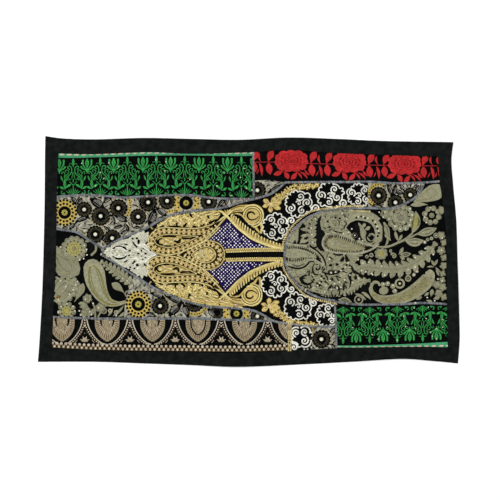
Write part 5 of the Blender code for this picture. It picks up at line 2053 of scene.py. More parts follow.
# Long strokes that swell and thin: width at each point follows the point
OLIVE_STEMS = {
    "paisley_cloth_right": (
        ((376.4, 247, 1.8), (388, 246.6, 2.2), (399.4, 242, 2.4), (405.6, 239, 2.6), (412.4, 233, 1.8)),
        ((405, 239.6, 1.8), (411, 237, 2), (418.6, 233, 1.6)),
        (
            (427.4, 270.6, 5), (429, 273.6, 10.6), (428.2, 277.6, 13.2), (424.2, 283.2, 15),
            (415.6, 290.4, 14.6), (403.6, 297, 12.4), (390.4, 299.8, 9.8), (378.6, 298.2, 7),
            (372, 292.6, 4.6), (370.8, 286.8, 3.8), (373.8, 282.4, 3.2), (378, 282.6, 2.6),
            (379.6, 285.8, 2.2),
        ),
        (
            (413.4, 201.8, 1), (418.6, 199.2, 6), (425, 196.4, 12.6), (431.6, 193.4, 16.6),
            (436.8, 191.6, 16.6), (440.6, 190.6, 13), (443, 190.2, 7),
        ),
        (
            (346, 225.4, 2.2), (349.6, 220, 4.6), (356, 216.4, 6.4), (364, 216.8, 7), (371.6, 219.8, 7),
            (377.6, 225.6, 7), (379.4, 233.4, 6.6), (378.6, 241, 5.6), (374.4, 246.4, 3.6),
        ),
        (
            (358.4, 222.6, 1), (360.6, 227, 4), (362.8, 232.6, 6.6), (365.4, 238.6, 5.6),
            (370.4, 242.4, 3.6), (374.6, 239.8, 2.8), (374, 235.2, 2.4), (370.4, 234, 2),
            (368.8, 236.6, 1.6),
        ),
        (
            (349.8, 255, 4), (349.2, 261, 5), (346.2, 266.6, 5.4), (340, 270.8, 5.8), (331.8, 272.8, 5.8),
            (325, 271.4, 4.6),
        ),
        ((288, 262.4, 3), (298, 263.4, 5), (307.6, 260.4, 4), (311.4, 258.8, 1.6)),
    ),
    "paisley_cloth_left": (
        (
            (91, 259.4, 5), (91.4, 261.4, 12), (92.2, 265.4, 18), (94.2, 272.6, 21.6), (96, 281, 21),
            (99, 289.4, 17.4), (103.4, 296.8, 13.4), (110, 302.4, 8.4), (118.4, 303.6, 4.6),
            (126, 301.6, 2.8), (131, 299.6, 1.4),
        ),
        (
            (55.6, 254.6, 6), (59, 257.6, 15), (63.6, 262.4, 23.4), (68.4, 267.8, 25), (72, 273, 20),
            (74, 277, 11),
        ),
        ((85.6, 303, 1.4), (88.4, 309, 1.8), (88.8, 317.6, 2)),
        ((92.4, 302, 1.4), (95, 309, 1.8), (95.4, 317.6, 2)),
        ((110.6, 304.8, 1.2), (104.4, 307, 1.4), (98, 316.8, 1.8)),
    ),
}
# Flowers: x, y, radius, petals, petal radius, heart radius, thread of the heart
OLIVE_FLOWERS = {
    "paisley_cloth_right": (
        (334.6, 222.4, 10.6, 12, 3, 3, "olive"), (334.6, 222.4, 5.6, 8, 2.7, 2.2, "pale olive"),
        (400.6, 217.6, 11.4, 13, 3, 3, "olive"), (400.6, 217.6, 6, 8, 3, 2.2, "olive"),
        (431.6, 215.4, 7.2, 8, 2.7, 2.6, "olive"), (381, 253.4, 4.6, 8, 2.1, 3, "yellow olive"),
        (441.6, 210, 2.6, 5, 1.8, 1.2, "olive"), (441, 235.4, 2.6, 5, 1.7, 1.2, "olive"),
        (443.8, 242.6, 2.2, 4, 1.6, 1, "olive"), (441, 250.4, 2.8, 5, 1.8, 1.2, "olive"),
        (443.8, 257.6, 2.2, 4, 1.6, 1, "olive"), (443.4, 265.8, 2.4, 5, 1.6, 1, "olive"),
        (442.4, 273.4, 2, 4, 1.5, 0.9, "olive"), (436.2, 284.4, 2.6, 5, 1.7, 1.2, "olive"),
        (442.2, 287, 2.6, 5, 1.7, 1.2, "olive"), (438.6, 293.2, 2.6, 5, 1.7, 1.2, "olive"),
        (443.6, 297, 2.2, 4, 1.6, 1, "olive"), (442, 280, 2, 4, 1.5, 1, "olive"),
        (385, 213.6, 3, 5, 2.2, 1.6, "olive"),
    ),
    "paisley_cloth_left": (
        (74.2, 248.8, 10.4, 13, 2.8, 7.4, "yellow olive"), (66.8, 311, 7.2, 9, 2.3, 4.8, "yellow olive"),
        (87.6, 298.4, 3.2, 6, 1.7, 1.3, "olive"), (84, 306, 2.6, 5, 1.6, 1.2, "olive"),
        (84.4, 313.6, 2.8, 5, 1.7, 1.2, "olive"), (100.2, 307.6, 3.2, 6, 1.8, 1.3, "olive"),
        (92, 312, 2.2, 4, 1.5, 1, "olive"), (57, 252, 4, 6, 2.4, 2, "olive"),
    ),
}
# Rings with a knot in them: x, y, radius, width
OLIVE_RINGS = {
    "paisley_cloth_right": (
        (354.6, 235.4, 2.6, 1.3), (399.6, 283.5, 4.2, 2), (408, 278.4, 2.6, 1.6), (413.6, 274.6, 1.4, 1),
        (416.9, 271.4, 1.1, 0.9), (435.8, 235.4, 2.2, 1.2), (431.3, 238.4, 1.2, 1),
        (427.6, 239.6, 1.3, 0.9), (424.6, 242.2, 1.2, 1), (371.2, 255.1, 1.7, 1),
        (366.8, 256.6, 1.4, 0.9), (358.6, 299.6, 4, 1.4), (317.4, 267.2, 3.8, 1.9),
    ),
    "paisley_cloth_left": (
        (98.9, 307.4, 2.2, 1.2), (104, 310.8, 2.6, 1.4), (110.2, 310.6, 1.6, 1.1), (116.4, 312.4, 1.8, 1),
    ),
}
# Serrated leaves: points of the midrib with the lobes' reach on each side, and a lobe count
SERRATED = {
    "paisley_cloth_right": (
        (((315.6, 216, 1.6), (313, 224, 3.8), (311.2, 234, 4.8), (310.4, 246.4, 3.4)), 7, 1),
        (
            (
                (436, 242.4, 3), (428.6, 252, 7.4), (419, 260.4, 8.6), (407, 267, 8.6), (394, 269.4, 8.6),
                (380, 268.4, 8.4), (366, 267, 8), (354, 272, 7.4), (342, 281.6, 8.4), (329, 287.6, 7),
            ),
            17, -1,
        ),
        (((344.6, 291.6, 4), (352, 285.6, 7.6), (361, 281.6, 6.4), (370.4, 280.4, 2)), 7, 1),
        (((326, 294, 3), (334, 291.6, 5), (342.6, 292, 3)), 5, 1),
        (((303, 287, 3), (308, 280, 6), (309.6, 272.4, 2.4)), 5, 1),
    ),
    "paisley_cloth_left": (
        (((102.6, 262.4, 2.4), (112, 268.6, 5), (122, 275.6, 6.4), (134, 285, 5)), 8, 1),
    ),
}
# Dark lines and gaps sewn over the olive work: x, y, width at each point
DARK_GAPS = {
    "paisley_cloth_right": (
        ((309.5, 245, 1.2), (313, 248, 1.6), (317, 247, 1.2)),
        ((344, 221, 0.6), (346.5, 223.5, 1), (344.6, 226, 1), (344, 228, 1), (341, 230, 0.6)),
        ((333, 230.6, 0.8), (337, 232, 1.2), (343, 233.2, 0.8)),
        (
            (309.5, 246, 0.9), (312, 248, 1.3), (317, 251, 1.3), (320, 254, 1.4), (323, 257.6, 1.4),
            (325, 262, 1.3), (325.6, 265.6, 0.9),
        ),
        (
            (288, 266, 1), (292, 267.4, 1.3), (298, 268.6, 1.4), (304, 267, 1.3), (308, 263.6, 1.3),
            (310, 261.4, 1.1), (314, 262, 0.7),
        ),
        ((292, 264.6, 0.5), (298, 266, 0.9), (304, 263.6, 0.5)),
        (
            (318, 264.4, 0.9), (314.4, 264.4, 1.3), (312.8, 268, 1.4), (313, 272, 1.4),
            (315.4, 274.6, 1.3), (318.4, 274.6, 0.9),
        ),
        ((319.8, 264, 1), (320, 268, 1.4), (318, 270, 1.4), (316, 269, 1.3), (317.6, 267, 0.9)),
        ((322.6, 266.6, 0.9), (321.4, 269.6, 1.1)),
        (
            (306, 274.6, 0.9), (301.4, 277.6, 1.9), (300.6, 279, 2.3), (303, 282.4, 2.5), (306, 284, 2.1),
            (309, 284, 1.9), (312, 282.2, 0.9),
        ),
        ((309.6, 270, 0.7), (308.8, 275.6, 1.5)), ((333, 254, 0.8), (338, 255, 1.5), (343, 254.6, 1)),
        ((340, 261.4, 1), (342.4, 259.4, 3), (343.4, 256.4, 1)), ((329, 256.6, 0.9), (332, 259, 1.3)),
        ((328.6, 265.6, 1), (330.6, 265, 2.2), (332.2, 266, 0.8)),
        ((335.8, 263.4, 1), (336.6, 264.4, 2.6), (338.6, 264.2, 0.9)),
        ((322.4, 271, 0.9), (325, 268.6, 1.3)),
        ((322, 271.6, 1), (326, 273.4, 1.5), (332, 274, 1.5), (338, 272.6, 1.5), (342, 269, 1.3)),
        ((328.6, 270.6, 0.9), (333, 271, 1.2), (337, 271, 0.8)),
        ((345.4, 255, 1), (346.6, 258.6, 3), (346.8, 262, 1.4)),
        ((328, 289, 1), (330.6, 286, 1.5), (332, 284.6, 1)), ((332, 286, 0.9), (333, 288, 1.1)),
        ((336.6, 285, 0.9), (338.6, 287, 1.3), (337.8, 291, 0.9)),
        ((344, 282.6, 1.1), (343.8, 286, 1.8), (343.6, 290, 1.3)), ((326, 295, 1), (327.6, 297, 1)),
        ((334, 297, 0.8), (338, 298.4, 1.2), (342, 297, 0.8)), ((340, 294.6, 0.9), (342, 297.4, 0.9)),
        ((345.8, 293.4, 0.9), (348.6, 295.6, 1.1)),
        (
            (355.4, 223.4, 2.2), (356.4, 227, 4.6), (356.4, 231, 5.8), (356, 235.5, 7.6),
            (358.4, 239.4, 4.6),
        ),
        (
            (358, 221.6, 1), (361, 222.6, 1.6), (364.6, 222, 1.6), (369, 223.8, 1.8), (372, 227, 2),
            (373.8, 230.2, 1.2),
        ),
        (
            (374.6, 233.4, 0.9), (371.6, 232.2, 1.3), (367.6, 233.4, 1.4), (366, 237, 1.4),
            (367.4, 240.8, 1.4), (370.6, 242.2, 1.3), (373, 241, 0.9),
        ),
        ((370.4, 237.4, 1), (372.4, 236, 1.3), (374.2, 237.6, 0.9)),
        ((382, 222, 1.1), (383.2, 228, 1.7), (383.4, 236, 1.9), (382.6, 241, 1.7), (378.6, 243.6, 1.1)),
        ((382.4, 214.6, 1), (383.6, 212, 1)), ((376, 247.6, 0.9), (381, 248.4, 1.1)),
        ((372, 251.4, 0.9), (375, 249.6, 0.9)),
        ((356.6, 274, 1), (353.6, 271.4, 2.6), (351.4, 267.6, 0.8)),
        ((350, 280.6, 1), (349.4, 275.6, 2.6), (351.6, 272, 1)),
        ((360, 291.4, 1.6), (364.6, 288.6, 5), (368, 285, 3.4), (368.6, 282.4, 1.2)),
        ((376.2, 291.6, 1), (374.4, 287.4, 1.4), (376, 284.4, 1.4)),
        ((350.4, 276, 0.8), (350.6, 281, 1.5), (349.6, 287.6, 0.8)),
        ((351.4, 268.4, 0.8), (356, 272.4, 1.9), (363.6, 276.2, 1)),
        ((359.6, 273.6, 0.6), (361, 277.6, 1.2)), ((366, 276.4, 0.6), (366.8, 279.4, 1)),
        ((327.4, 290, 0.7), (329.6, 287, 1.5), (330.8, 285.2, 0.7)),
        ((333.8, 288.4, 0.6), (335.6, 285.4, 1.3)), ((340.4, 289.6, 0.7), (341.6, 286.6, 1.3)),
        ((324.2, 273.6, 0.6), (326.8, 276.8, 1.2), (327.6, 280.4, 0.7)),
        ((336.4, 277.4, 0.6), (338.6, 280.6, 1.2)), ((330.8, 276.4, 0.6), (333, 279.6, 1.1)),
        ((308.6, 288.6, 0.6), (311.6, 287, 1.1)), ((303.2, 286.4, 0.6), (306.4, 287.6, 1.1)),
        ((297.6, 247.6, 0.4), (306, 249.6, 0.9), (313.6, 254, 0.5)),
        ((312.4, 291.6, 0.6), (317, 293.6, 1.3), (322.4, 294.2, 0.6)),
        ((336.8, 219.4, 0.5), (339.4, 222, 0.9), (338.6, 225.4, 0.5)),
        ((330, 218, 0.4), (333, 217.2, 0.8)), ((327.6, 230.4, 0.5), (331, 229.6, 0.9)),
        ((323.4, 226.6, 0.5), (325.4, 229, 0.9)), ((326.2, 214.4, 0.5), (325, 217.8, 0.9)),
        ((343.4, 214.4, 0.5), (345.4, 217.4, 1)), ((395.4, 209.4, 0.5), (393, 212.6, 1)),
        ((406.4, 209.8, 0.5), (408.8, 213, 1)), ((392, 221.4, 0.5), (394.4, 224.4, 1)),
        ((407, 222.4, 0.5), (404.4, 225.4, 1)), ((398, 222.8, 0.4), (400.8, 223.6, 0.9)),
        ((396.4, 214, 0.4), (399.6, 212.6, 0.9)),
    ),
    "paisley_cloth_left": (
        ((87.4, 243.6, 1), (91, 245.6, 4.6), (91, 249.6, 3.6), (89.6, 252.4, 1)),
        ((57, 290, 0.6), (62, 285, 1.1), (66.4, 281.8, 0.6)),
        ((60.6, 296.6, 0.6), (66, 290, 1.2), (70, 284, 0.6)),
        ((64, 299.6, 0.6), (70, 293.6, 1.1), (74.4, 290.6, 0.6)), ((55.6, 284, 0.6), (58.4, 280.4, 1)),
        ((70.6, 284.6, 0.5), (73.6, 287, 1.1)), ((68.6, 291, 0.5), (71.8, 293.2, 1.1)),
    ),
}
# Open places where the black ground shows between the middle's leaves, and the lobes over them:
# base x, y, tip x, y, width
OLIVE_OPENINGS = (
    (
        (321.6, 214.6), (318, 219.4), (316, 223.6), (315, 230), (315.4, 238), (316.4, 246), (320, 250.2),
        (324.6, 251.6), (322.6, 247), (321.6, 243), (322.6, 238), (325.2, 234.6), (324, 231.6),
        (321.4, 229.6), (320.4, 225.6), (320, 221.6), (321, 218.6),
    ),
    (
        (305.6, 222.6), (301.4, 224.6), (299, 229), (298, 235), (298.2, 240), (291.6, 241.2),
        (291.6, 243.6), (300, 244.4), (308, 243.8), (307.2, 238), (305.6, 232), (305.4, 227),
    ),
)
OLIVE_LOBES = (
    (309, 230, 300.6, 229.4, 3.4), (309, 235.4, 300.8, 236.4, 3.6), (309, 240.6, 300.4, 242.6, 3.4),
    (309.6, 225.4, 303.4, 223.4, 3), (312, 224, 316.4, 220.6, 3), (311.6, 229.6, 316, 227, 3.2),
    (311.4, 235.4, 316.2, 233, 3.4), (311.4, 241, 316.4, 239.4, 3.4), (311.6, 246, 316.6, 246, 3),
)
# The left cloth's fan of leaves: the ground that it fills, and the lobes on its edge as x, y, radius
FAN_GROUND = (
    (50, 277), (57, 277), (62, 280), (72, 279.6), (77.6, 283), (76.6, 290), (72.6, 296), (66, 300.6),
    (60, 302.4), (50, 303),
)
FAN_LOBES = (
    (74.6, 279.8, 2.5), (77.6, 284, 2.6), (77.2, 289.4, 2.6), (74.4, 294.2, 2.6), (70, 298.4, 2.6),
    (65, 301.6, 2.5), (60, 303.6, 2.2), (68.6, 279, 2.2), (62.4, 279.4, 2.2),
)
# Small dark openings in the middle: x, y
OLIVE_SPOTS = (
    (335.5, 217.5), (339.6, 218.5), (327.8, 221.5), (329.4, 227), (313.6, 279.6), (321.6, 276.2),
    (323.8, 278.4), (321, 281.8), (317, 283.4), (319, 285.6), (356.4, 217.6), (361, 216.6), (365, 218),
    (372.6, 220.6), (375.4, 224.4), (377.4, 228.6), (378.8, 233), (377.6, 236), (348.6, 260.2),
    (346.6, 265), (343, 268.8), (338.2, 271.2), (333.2, 272.6), (328.6, 272),
)
# Paisleys with a combed border: outline, outline of the plain middle, thread of the lines in it
COMBED_PAISLEYS = (
    (
        (
            (376.6, 246.4), (370, 245), (362.5, 243.1), (352.9, 238.9), (343.3, 235), (333.8, 232.6),
            (326.4, 234.4), (322.4, 240.6), (322.6, 246.4), (327.4, 250.4), (333.8, 252.2),
            (346.5, 253.4), (359.3, 253.4), (370, 250.2),
        ),
        (
            (364.6, 248.6), (354, 244.4), (343, 240.4), (334, 238.4), (328.4, 240.4), (327.2, 244.6),
            (331.6, 248), (341, 249.6), (354, 250),
        ),
        "muted yellow",
    ),
    (
        (
            (323.6, 265.2), (321.7, 258.4), (317.2, 252.2), (309.5, 247.6), (300.6, 245.2),
            (291.7, 244.2), (283, 245.6), (283.6, 256), (287, 264.4), (297, 265.6), (306, 262),
            (314, 259.8),
        ),
        (
            (316, 257.6), (310, 253.2), (302, 250.4), (292, 249.6), (285, 251), (286.4, 256.4),
            (296, 257), (306, 256.6),
        ),
        "olive",
    ),
)
OLIVE_GROUND = (
    (283, 243), (288, 234), (296, 224.6), (308, 215.6), (322, 210), (340, 208), (352, 209), (356, 214),
    (349, 220), (346, 228), (352, 234.4), (358, 239.4), (372, 246), (364, 253), (358, 258), (352, 266),
    (346, 276), (341, 288), (340, 296), (326, 296.6), (310, 291), (296, 281), (287, 269), (283, 256),
)
# Pearls on the olive cloths: x, y
OLIVE_PEARLS = {
    "paisley_cloth_right": (
        (311.1, 228.2), (311.8, 234.8), (312.7, 242.5), (315.6, 218.9), (342, 213.2), (346.6, 219),
        (351.6, 229), (348.4, 232.3), (343.3, 233.6), (359.3, 238.7), (362.5, 240.9), (358, 217),
        (363, 217), (367.6, 218.3), (375, 222), (376.8, 226.6), (378.2, 231.2), (329.3, 259),
        (347.8, 263), (345, 267), (340.8, 270.4), (335.4, 272), (331, 272.8), (358, 259.7), (362.8, 263),
        (368.5, 262.3), (361.5, 270.6), (365.7, 271.8), (349.7, 275), (321, 278.5), (319.7, 283),
        (317.5, 285.5), (312.7, 288), (305.7, 289.3), (330, 280.4), (334.4, 283.6), (326, 285.5),
        (331.2, 289.3), (337, 288), (340.8, 287.4), (339.2, 282.3), (344.6, 279.8), (324.8, 291.9),
        (352.3, 282.3), (358.6, 278.5), (388.8, 219.3), (395, 226.3), (400, 229.4), (405.2, 229.2),
        (409.2, 225.2), (410.4, 220.2), (412, 215), (409.8, 208.8), (383, 217.2), (379, 212.3),
        (384.5, 212.3), (381.5, 266), (397, 264.5), (415, 257.5), (408, 269.5), (384.5, 275),
        (371.5, 273.5), (421, 253.5), (425, 248.5), (433, 254.5), (415, 267), (372.4, 274.6),
        (424.6, 242.1), (442, 238.2), (441.4, 250.2), (430.2, 207.7), (424.2, 217.2), (426, 222.5),
        (399.6, 283.5), (413.7, 274.7), (416.8, 271.6), (383.2, 283.9), (387.7, 283.2), (393, 285.3),
        (395, 290.2), (441.8, 281), (437.5, 279), (427, 297.5), (434.4, 300.7), (415.4, 302.8),
        (354.6, 235.4), (435.8, 235.4),
    ),
    "paisley_cloth_left": (
        (84.7, 245.4), (86.8, 249.5), (87.2, 254.9), (83.9, 258.7), (79.8, 259.9), (77.7, 281.5),
        (76, 284.8), (73.5, 289.8), (69.8, 294.3), (66, 286.4), (61, 280.8), (67.3, 303.8), (61.4, 306.3),
        (73.2, 306.3), (75.2, 311), (58.6, 312), (85.8, 299.5), (93.4, 303.4), (98.9, 307.4), (90, 311.8),
        (91.6, 314.6), (79.6, 310.8), (81, 315), (116.4, 315.6), (123, 278.4), (127.4, 280.6),
        (58.8, 299.4), (61, 247),
    ),
}


def serrate(work, rows, count, hand):
    """A leaf whose lobes point forward on both sides of its midrib, with the ground between them."""
    rows = np.asarray(rows, float)
    spine = smooth_line(rows[:, :2], 1.0)
    lengths = distances(rows[:, :2])
    spots = evenly_spaced(spine, count)
    reach = np.interp(np.linspace(0, lengths[-1], count + 1), lengths, rows[:, 2])
    width = np.interp(np.linspace(0, lengths[-1], len(spine)), lengths, rows[:, 2])
    work.stroke(spine, 0.9 * width, "olive", 0.6)
    for spot, way, far in zip(spots, np.gradient(spots, axis=0), reach):
        gap = way / 2
        way = way / np.hypot(*way) * hand
        side = sideways(way)
        for s in (-1, 1):
            tip = spot + side * s * far * 0.98 - way * far * 0.6
            work.leaf(spot, tip, 0.5 * far + 1.9, "olive", 0.4 * s, 0.56, 0.8, 0.05, 0.2)
            work.stroke((between(spot, tip, 0.3), between(spot, tip, 0.75)), 0.4, "deep olive", 0.2, 0.8)
            cut = [spot * (1 - share) + tip * share + gap for share in (0.42, 0.75, 1.08)]
            work.stroke(np.array(cut), (0.3, 1.2, 2.0), "ink", 0.15, 0.8)
    work.stroke(spine, 0.4, "deep olive", 0.2, 0.75)


def comb(work, outline, middle, thread):
    """A paisley with a cord round it, dark dashes inside that, and a yellowish line round its middle."""
    closed = smooth_line(list(outline) + [outline[0]], 1.0)
    darn(work, closed, "olive", 1.3, 20, 0.1, 0.15)
    count = round(distances(closed)[-1] / 2.2)
    centre = np.mean(np.asarray(middle, float), axis=0)
    inner = smooth_line(list(middle) + [middle[0]], 1.0)
    for spot in evenly_spaced(closed, count)[:-1]:
        near = inner[np.argmin(np.hypot(*(inner - spot).T))]
        path = np.array([spot + (near - spot) * share for share in (0.3, 0.6, 0.9)])
        work.stroke(path, (0.6, 1.15, 0.7), "ink", 0.25, 0.4)
    darn(work, inner, "olive", 1.3, 20, 0.1, 0.3)
    work.stroke(inner, 1.9, thread, 0.4, 0.35)
    work.stroke(centre + (inner - centre) * 0.52, 0.9, thread, 0.3, 0.45)
    work.stroke(closed, 1.7, "pale olive", 0.9, 0.1)


def inner_loop(work, path, width, share, thickness, thread, lift):
    """A line of stitches that runs round inside a paisley, at a share of its width."""
    rounded = np.sin(np.linspace(0.12, math.pi - 0.12, len(path))) ** 0.4
    offset = sideways(ways_along(path)) * (share * width * rounded / 2)[:, None]
    work.loop(np.vstack([path + offset, (path - offset)[::-1]]), thickness, thread, 0.3, lift)


# Tries at the short stitches of the right cloth's ground
GROUND_TRIES = 1500


def right_ground(work):
    """The right cloth's ground: darning with loose short stitches, dark openings and small lobes."""
    darn(work, OLIVE_GROUND, "olive", 1.25, -25, 0.08, 0.1)
    edges = (np.array(OLIVE_GROUND), np.roll(OLIVE_GROUND, -1, axis=0))
    spots = work.random.uniform((283, 206), (374, 300), (GROUND_TRIES, 2))
    for k, spot in enumerate(spots[inside(spots, edges)]):
        slant = 40 * math.sin(spot[0] / 9) + 50 * math.sin(spot[1] / 11)
        way = turned((work.random.uniform(0.8, 1.8), 0.0), slant)
        thread = ("pale olive", "deep olive", "olive", "coffee", "deep olive")[k % 5]
        work.leaf(spot - way, spot + way, work.random.uniform(0.6, 1.0), thread, 0.2, 0.5, 0.2, 0.25, 0.3)
    for outline in OLIVE_OPENINGS:
        darn(work, outline, "ink", 1.2, 0, 0.08, 0.55)
    for rows in OLIVE_LOBES:
        work.leaf(rows[:2], rows[2:4], rows[4], "olive", 0.3, 0.55, 0.5, 0.65, 0.25)
        work.stroke((rows[:2], rows[2:4]), 0.4, "deep olive", 0.2, 1.1)


def left_ground(work):
    """The left cloth's ground: darning under a fan of round lobes."""
    darn(work, FAN_GROUND, "olive", 1.25, 30, 0.08, 0.5)
    for x, y, radius in FAN_LOBES:
        work.dome(x, y, radius, "olive", 0.8, 0.1, 10)
        work.stroke(arc(x, y, radius * 0.7, -60, 140, step=0.8), 0.5, "deep olive", 0.2, 0.75)


# Stems wider than this are large paisleys, known by the x that they start at, in photo pixels
PAISLEY_WIDTH = 9
# Start of the paisley that is filled with loose stitches
FILLED_PAISLEY = 427
# Lines that run round inside the others: share of the width, thickness, thread, lift
PAISLEY_LOOPS = {
    413: ((0.56, 0.9, "muted yellow", 0.95),),
    56: ((0.66, 0.9, "muted yellow", 0.9), (0.36, 0.5, "deep olive", 0.95)),
    91: (
        (0.72, 0.6, "deep olive", 0.85), (0.62, 2, "yellow olive", 0.9), (0.6, 0.5, "deep olive", 1.15),
        (0.4, 0.4, "deep olive", 1),
    ),
}


def paisley_filling(work, path, width):
    """The stitches inside a large paisley, clear of its tail and its tip."""
    keep = slice(len(path) // 9, -len(path) // 5)
    start = round(path[0, 0])
    for share, thickness, thread, lift in PAISLEY_LOOPS.get(start, ()):
        inner_loop(work, path[keep], width[keep], share, thickness, thread, lift)
    if start == FILLED_PAISLEY:
        work.stroke(path[keep], 0.62 * width[keep], "muted yellow", 0.2, 0.9)
        for k in range(130):
            step = work.random.integers(len(path) // 9, len(path) - len(path) // 5)
            spot = path[step] + work.random.uniform(-0.26, 0.26, 2) * width[step]
            way = turned((1.2, 0.0), work.random.uniform(-60, 20))
            thread = ("yellow olive", "olive", "deep olive")[k % 3]
            work.leaf(spot - way, spot + way, 0.8, thread, 0.1, 0.5, 0.2, 1.05)


# x of the tips of the leaves that are yellowish inside, in photo pixels
YELLOW_LEAVES = (415.6, 410.4)


def olive_leaves(work, patch):
    """The cloth's loose leaves; the broad ones have a dark line and a heart inside."""
    for x0, y0, x1, y1, width, bend, plump in OLIVE_LEAVES[patch]:
        yellow = x1 in YELLOW_LEAVES
        plain = patch == "paisley_cloth_left" and width < 9
        work.leaf((x0, y0), (x1, y1), width, "olive", bend, plump, 0.9, 0.05)
        if width > 5 and not plain:
            reach = np.subtract((x1, y1), (x0, y0))
            base, tip = np.add((x0, y0), 0.16 * reach), np.add((x0, y0), 0.88 * reach)
            share, filling = (0.8, "yellow olive") if yellow else (0.5, "olive")
            for part, thread in ((share + 0.1, "deep olive"), (share, filling)):
                work.leaf(base, tip, width * part, thread, bend * 0.8, plump, 0.25, 1.1 - 0.4 * part)


# Radius of the heart of the flowers whose petals stand free of it, in photo pixels
FREE_HEART = 2.6


def olive_flowers(work, patch):
    """Round flowers: petals on spokes about a heart, with a dark line inside the broad petals."""
    for x, y, radius, count, petal, heart, thread in OLIVE_FLOWERS[patch]:
        for k in range(count):
            angle = 2 * math.pi * (k + 0.3) / count
            turn = math.degrees(angle)
            spot = around(x, y, radius, angle)
            work.dome(*spot, petal, "olive", 0.9, 0.1, 10)
            if radius > 4 and heart != FREE_HEART:
                spoke = [around(x, y, radius * share, angle) for share in (0.5, 0.75, 0.98)]
                work.stroke(spoke, 2.2, "olive", 0.7, 0.05)
            if petal > 1.4:
                line = arc(*spot, 0.62 * petal, turn - 100, turn + 100, step=0.8)
                work.stroke(line, 0.55, "deep olive", 0.2, 0.85)
        work.dome(x, y, heart, thread, 0.8, 0.2, 12)
        if heart > 2.5:
            work.ring(x, y, heart * 0.6, 0.6, "deep olive", 0.25, 0.85)


# The left cloth's bent stem, and the disc with rays inside its bend, in photo pixels
LEFT_STEM = ((85.6, 241.6), (91, 240.8), (95.4, 244.6), (95.8, 250.4), (91, 255.4))
LEFT_DISC = (74.2, 248.8)
# Stems at the upper side of the right cloth, in photo pixels
RIGHT_STEM = (
    (346.6, 225.4), (350.4, 221.8), (357, 219.6), (364, 220.6), (370.4, 223.4), (374.4, 229),
    (376.2, 236), (375.6, 242.4),
)
RIGHT_BRANCH = ((351, 212.8), (358, 211.8), (366, 212.4), (373, 215.4), (379, 220))


def left_details(work):
    """The left cloth's single forms: an eye, a scroll, the bent stem and the disc with its rays."""
    work.dome(58.6, 297.2, 2.2, "ochre", 0.5, 0.9, 10)
    work.curl(128.4, 293.4, 3.4, 120, 1.1, 1.6, "olive")
    work.stroke(smooth_line(LEFT_STEM, 1.2), 2.2, "olive", 0.7, 0.1)
    work.dome(*LEFT_DISC, 3.6, "muted yellow", 0.4, 0.7, 12)
    for k in range(12):
        ray = around(*LEFT_DISC, 7.0, k * 0.524), around(*LEFT_DISC, 5.0, k * 0.524)
        work.stroke(ray, 0.4, "deep olive", 0.3, 0.75)


def right_details(work):
    """The right cloth's single forms: two stems, dark spots, a leaf pair, scrolls and round heads."""
    work.stroke(smooth_line(RIGHT_STEM, 1.2), 1.3, "pale olive", 0.7, 0.5)
    work.stroke(smooth_line(RIGHT_BRANCH, 1.2), 4.0, "olive", 0.5, 0.05)
    for x, y in OLIVE_SPOTS:
        work.dome(x, y, 1.25, "ink", 0.3, 0.95, 7)
    for base, tip, width in (((362.6, 228.0), (364.6, 223.0), 3.4), ((364.4, 230.0), (370.0, 226.6), 3.6)):
        work.leaf(base, tip, width, "olive", 0.3, 0.6, 0.8, 0.2)
    work.dome(383.6, 290.6, 4.0, "olive", 0.8, 0.1, 12, 1.2, 20)
    work.curl(393.6, 256.0, 3.0, 200, 1.2, 1.5, "olive", 0.8, 0.1, knob=0.9)
    work.curl(391.0, 250.6, 2.0, 60, 0.9, 1.2, "olive", 0.8, 0.1, knob=0.8)
    for x, y in ((382.8, 284.4), (387.6, 283.6), (392.6, 286.2), (394.6, 291.0)):
        work.dome(x, y, 2.5, "olive", 0.8, 0.1, 9)


# Below this y the left cloth's gaps are the fan's, which are thinner and lighter, in photo pixels
FAN_TOP = 275


def embroider_paisley_cloth(patch, material):
    """Paisleys, stems, leaves, flowers and rings of one olive cloth."""
    work = Needlework(patch, seed=31)
    right = patch == "paisley_cloth_right"
    if right:
        right_ground(work)
    else:
        left_ground(work)
    for rows, count, hand in SERRATED[patch]:
        serrate(work, rows, count, hand)
    for rows in OLIVE_STEMS[patch]:
        path, width = swelling_line(rows, 1.2)
        work.stroke(path, width, "olive", 0.9, 0.05)
        if max(row[2] for row in rows) > PAISLEY_WIDTH:
            paisley_filling(work, path, width)
    olive_leaves(work, patch)
    olive_flowers(work, patch)
    if right:
        for outline, middle, thread in COMBED_PAISLEYS:
            comb(work, outline, middle, thread)
    for x, y, radius, width in OLIVE_RINGS[patch]:
        work.ring(x, y, radius, width, "pale olive" if radius < 2 else "olive", 0.8, 0.6)
        work.dome(x, y, radius * 0.36, "olive", 0.6, 0.8, 8)
    for rows in DARK_GAPS[patch]:
        path, width = swelling_line(rows, 1.0)
        if not right and rows[0][1] > FAN_TOP:
            work.stroke(path, 0.6 * width, "deep olive", 0.3, 0.95)
        else:
            work.stroke(path, 1.25 * width, "ink", 0.3, 0.95)
    if right:
        right_details(work)
    else:
        left_details(work)
    return work.finish(patch + "_silk", material, patch)


# Arches along the bottom: x of each middle, in photo pixels
ARCHES = (62.4, 107.3, 152.7, 198.0, 244.6, 290.6)
ARCH_FOOT = ((50, 348.2), (90, 350.4), (130, 351.4), (171, 351.8), (245, 352.4), (290, 350.8))


# Half of an arch from its middle: its light rim, and the beige shape inside it
ARCH_RIM = (
    (20.6, 317.4), (19.6, 323), (17.6, 329), (14.6, 334.2), (10.6, 339), (5.8, 342.8), (1.6, 344.2),
)
ARCH_SHAPE = ((12.2, 316), (12.2, 325), (10.8, 330.4), (8.4, 334.6), (5.2, 338), (2.2, 340.2), (0, 341.2))


# y of the point that an arch's feathers stand out from, in photo pixels
ARCH_HEART = 321.0
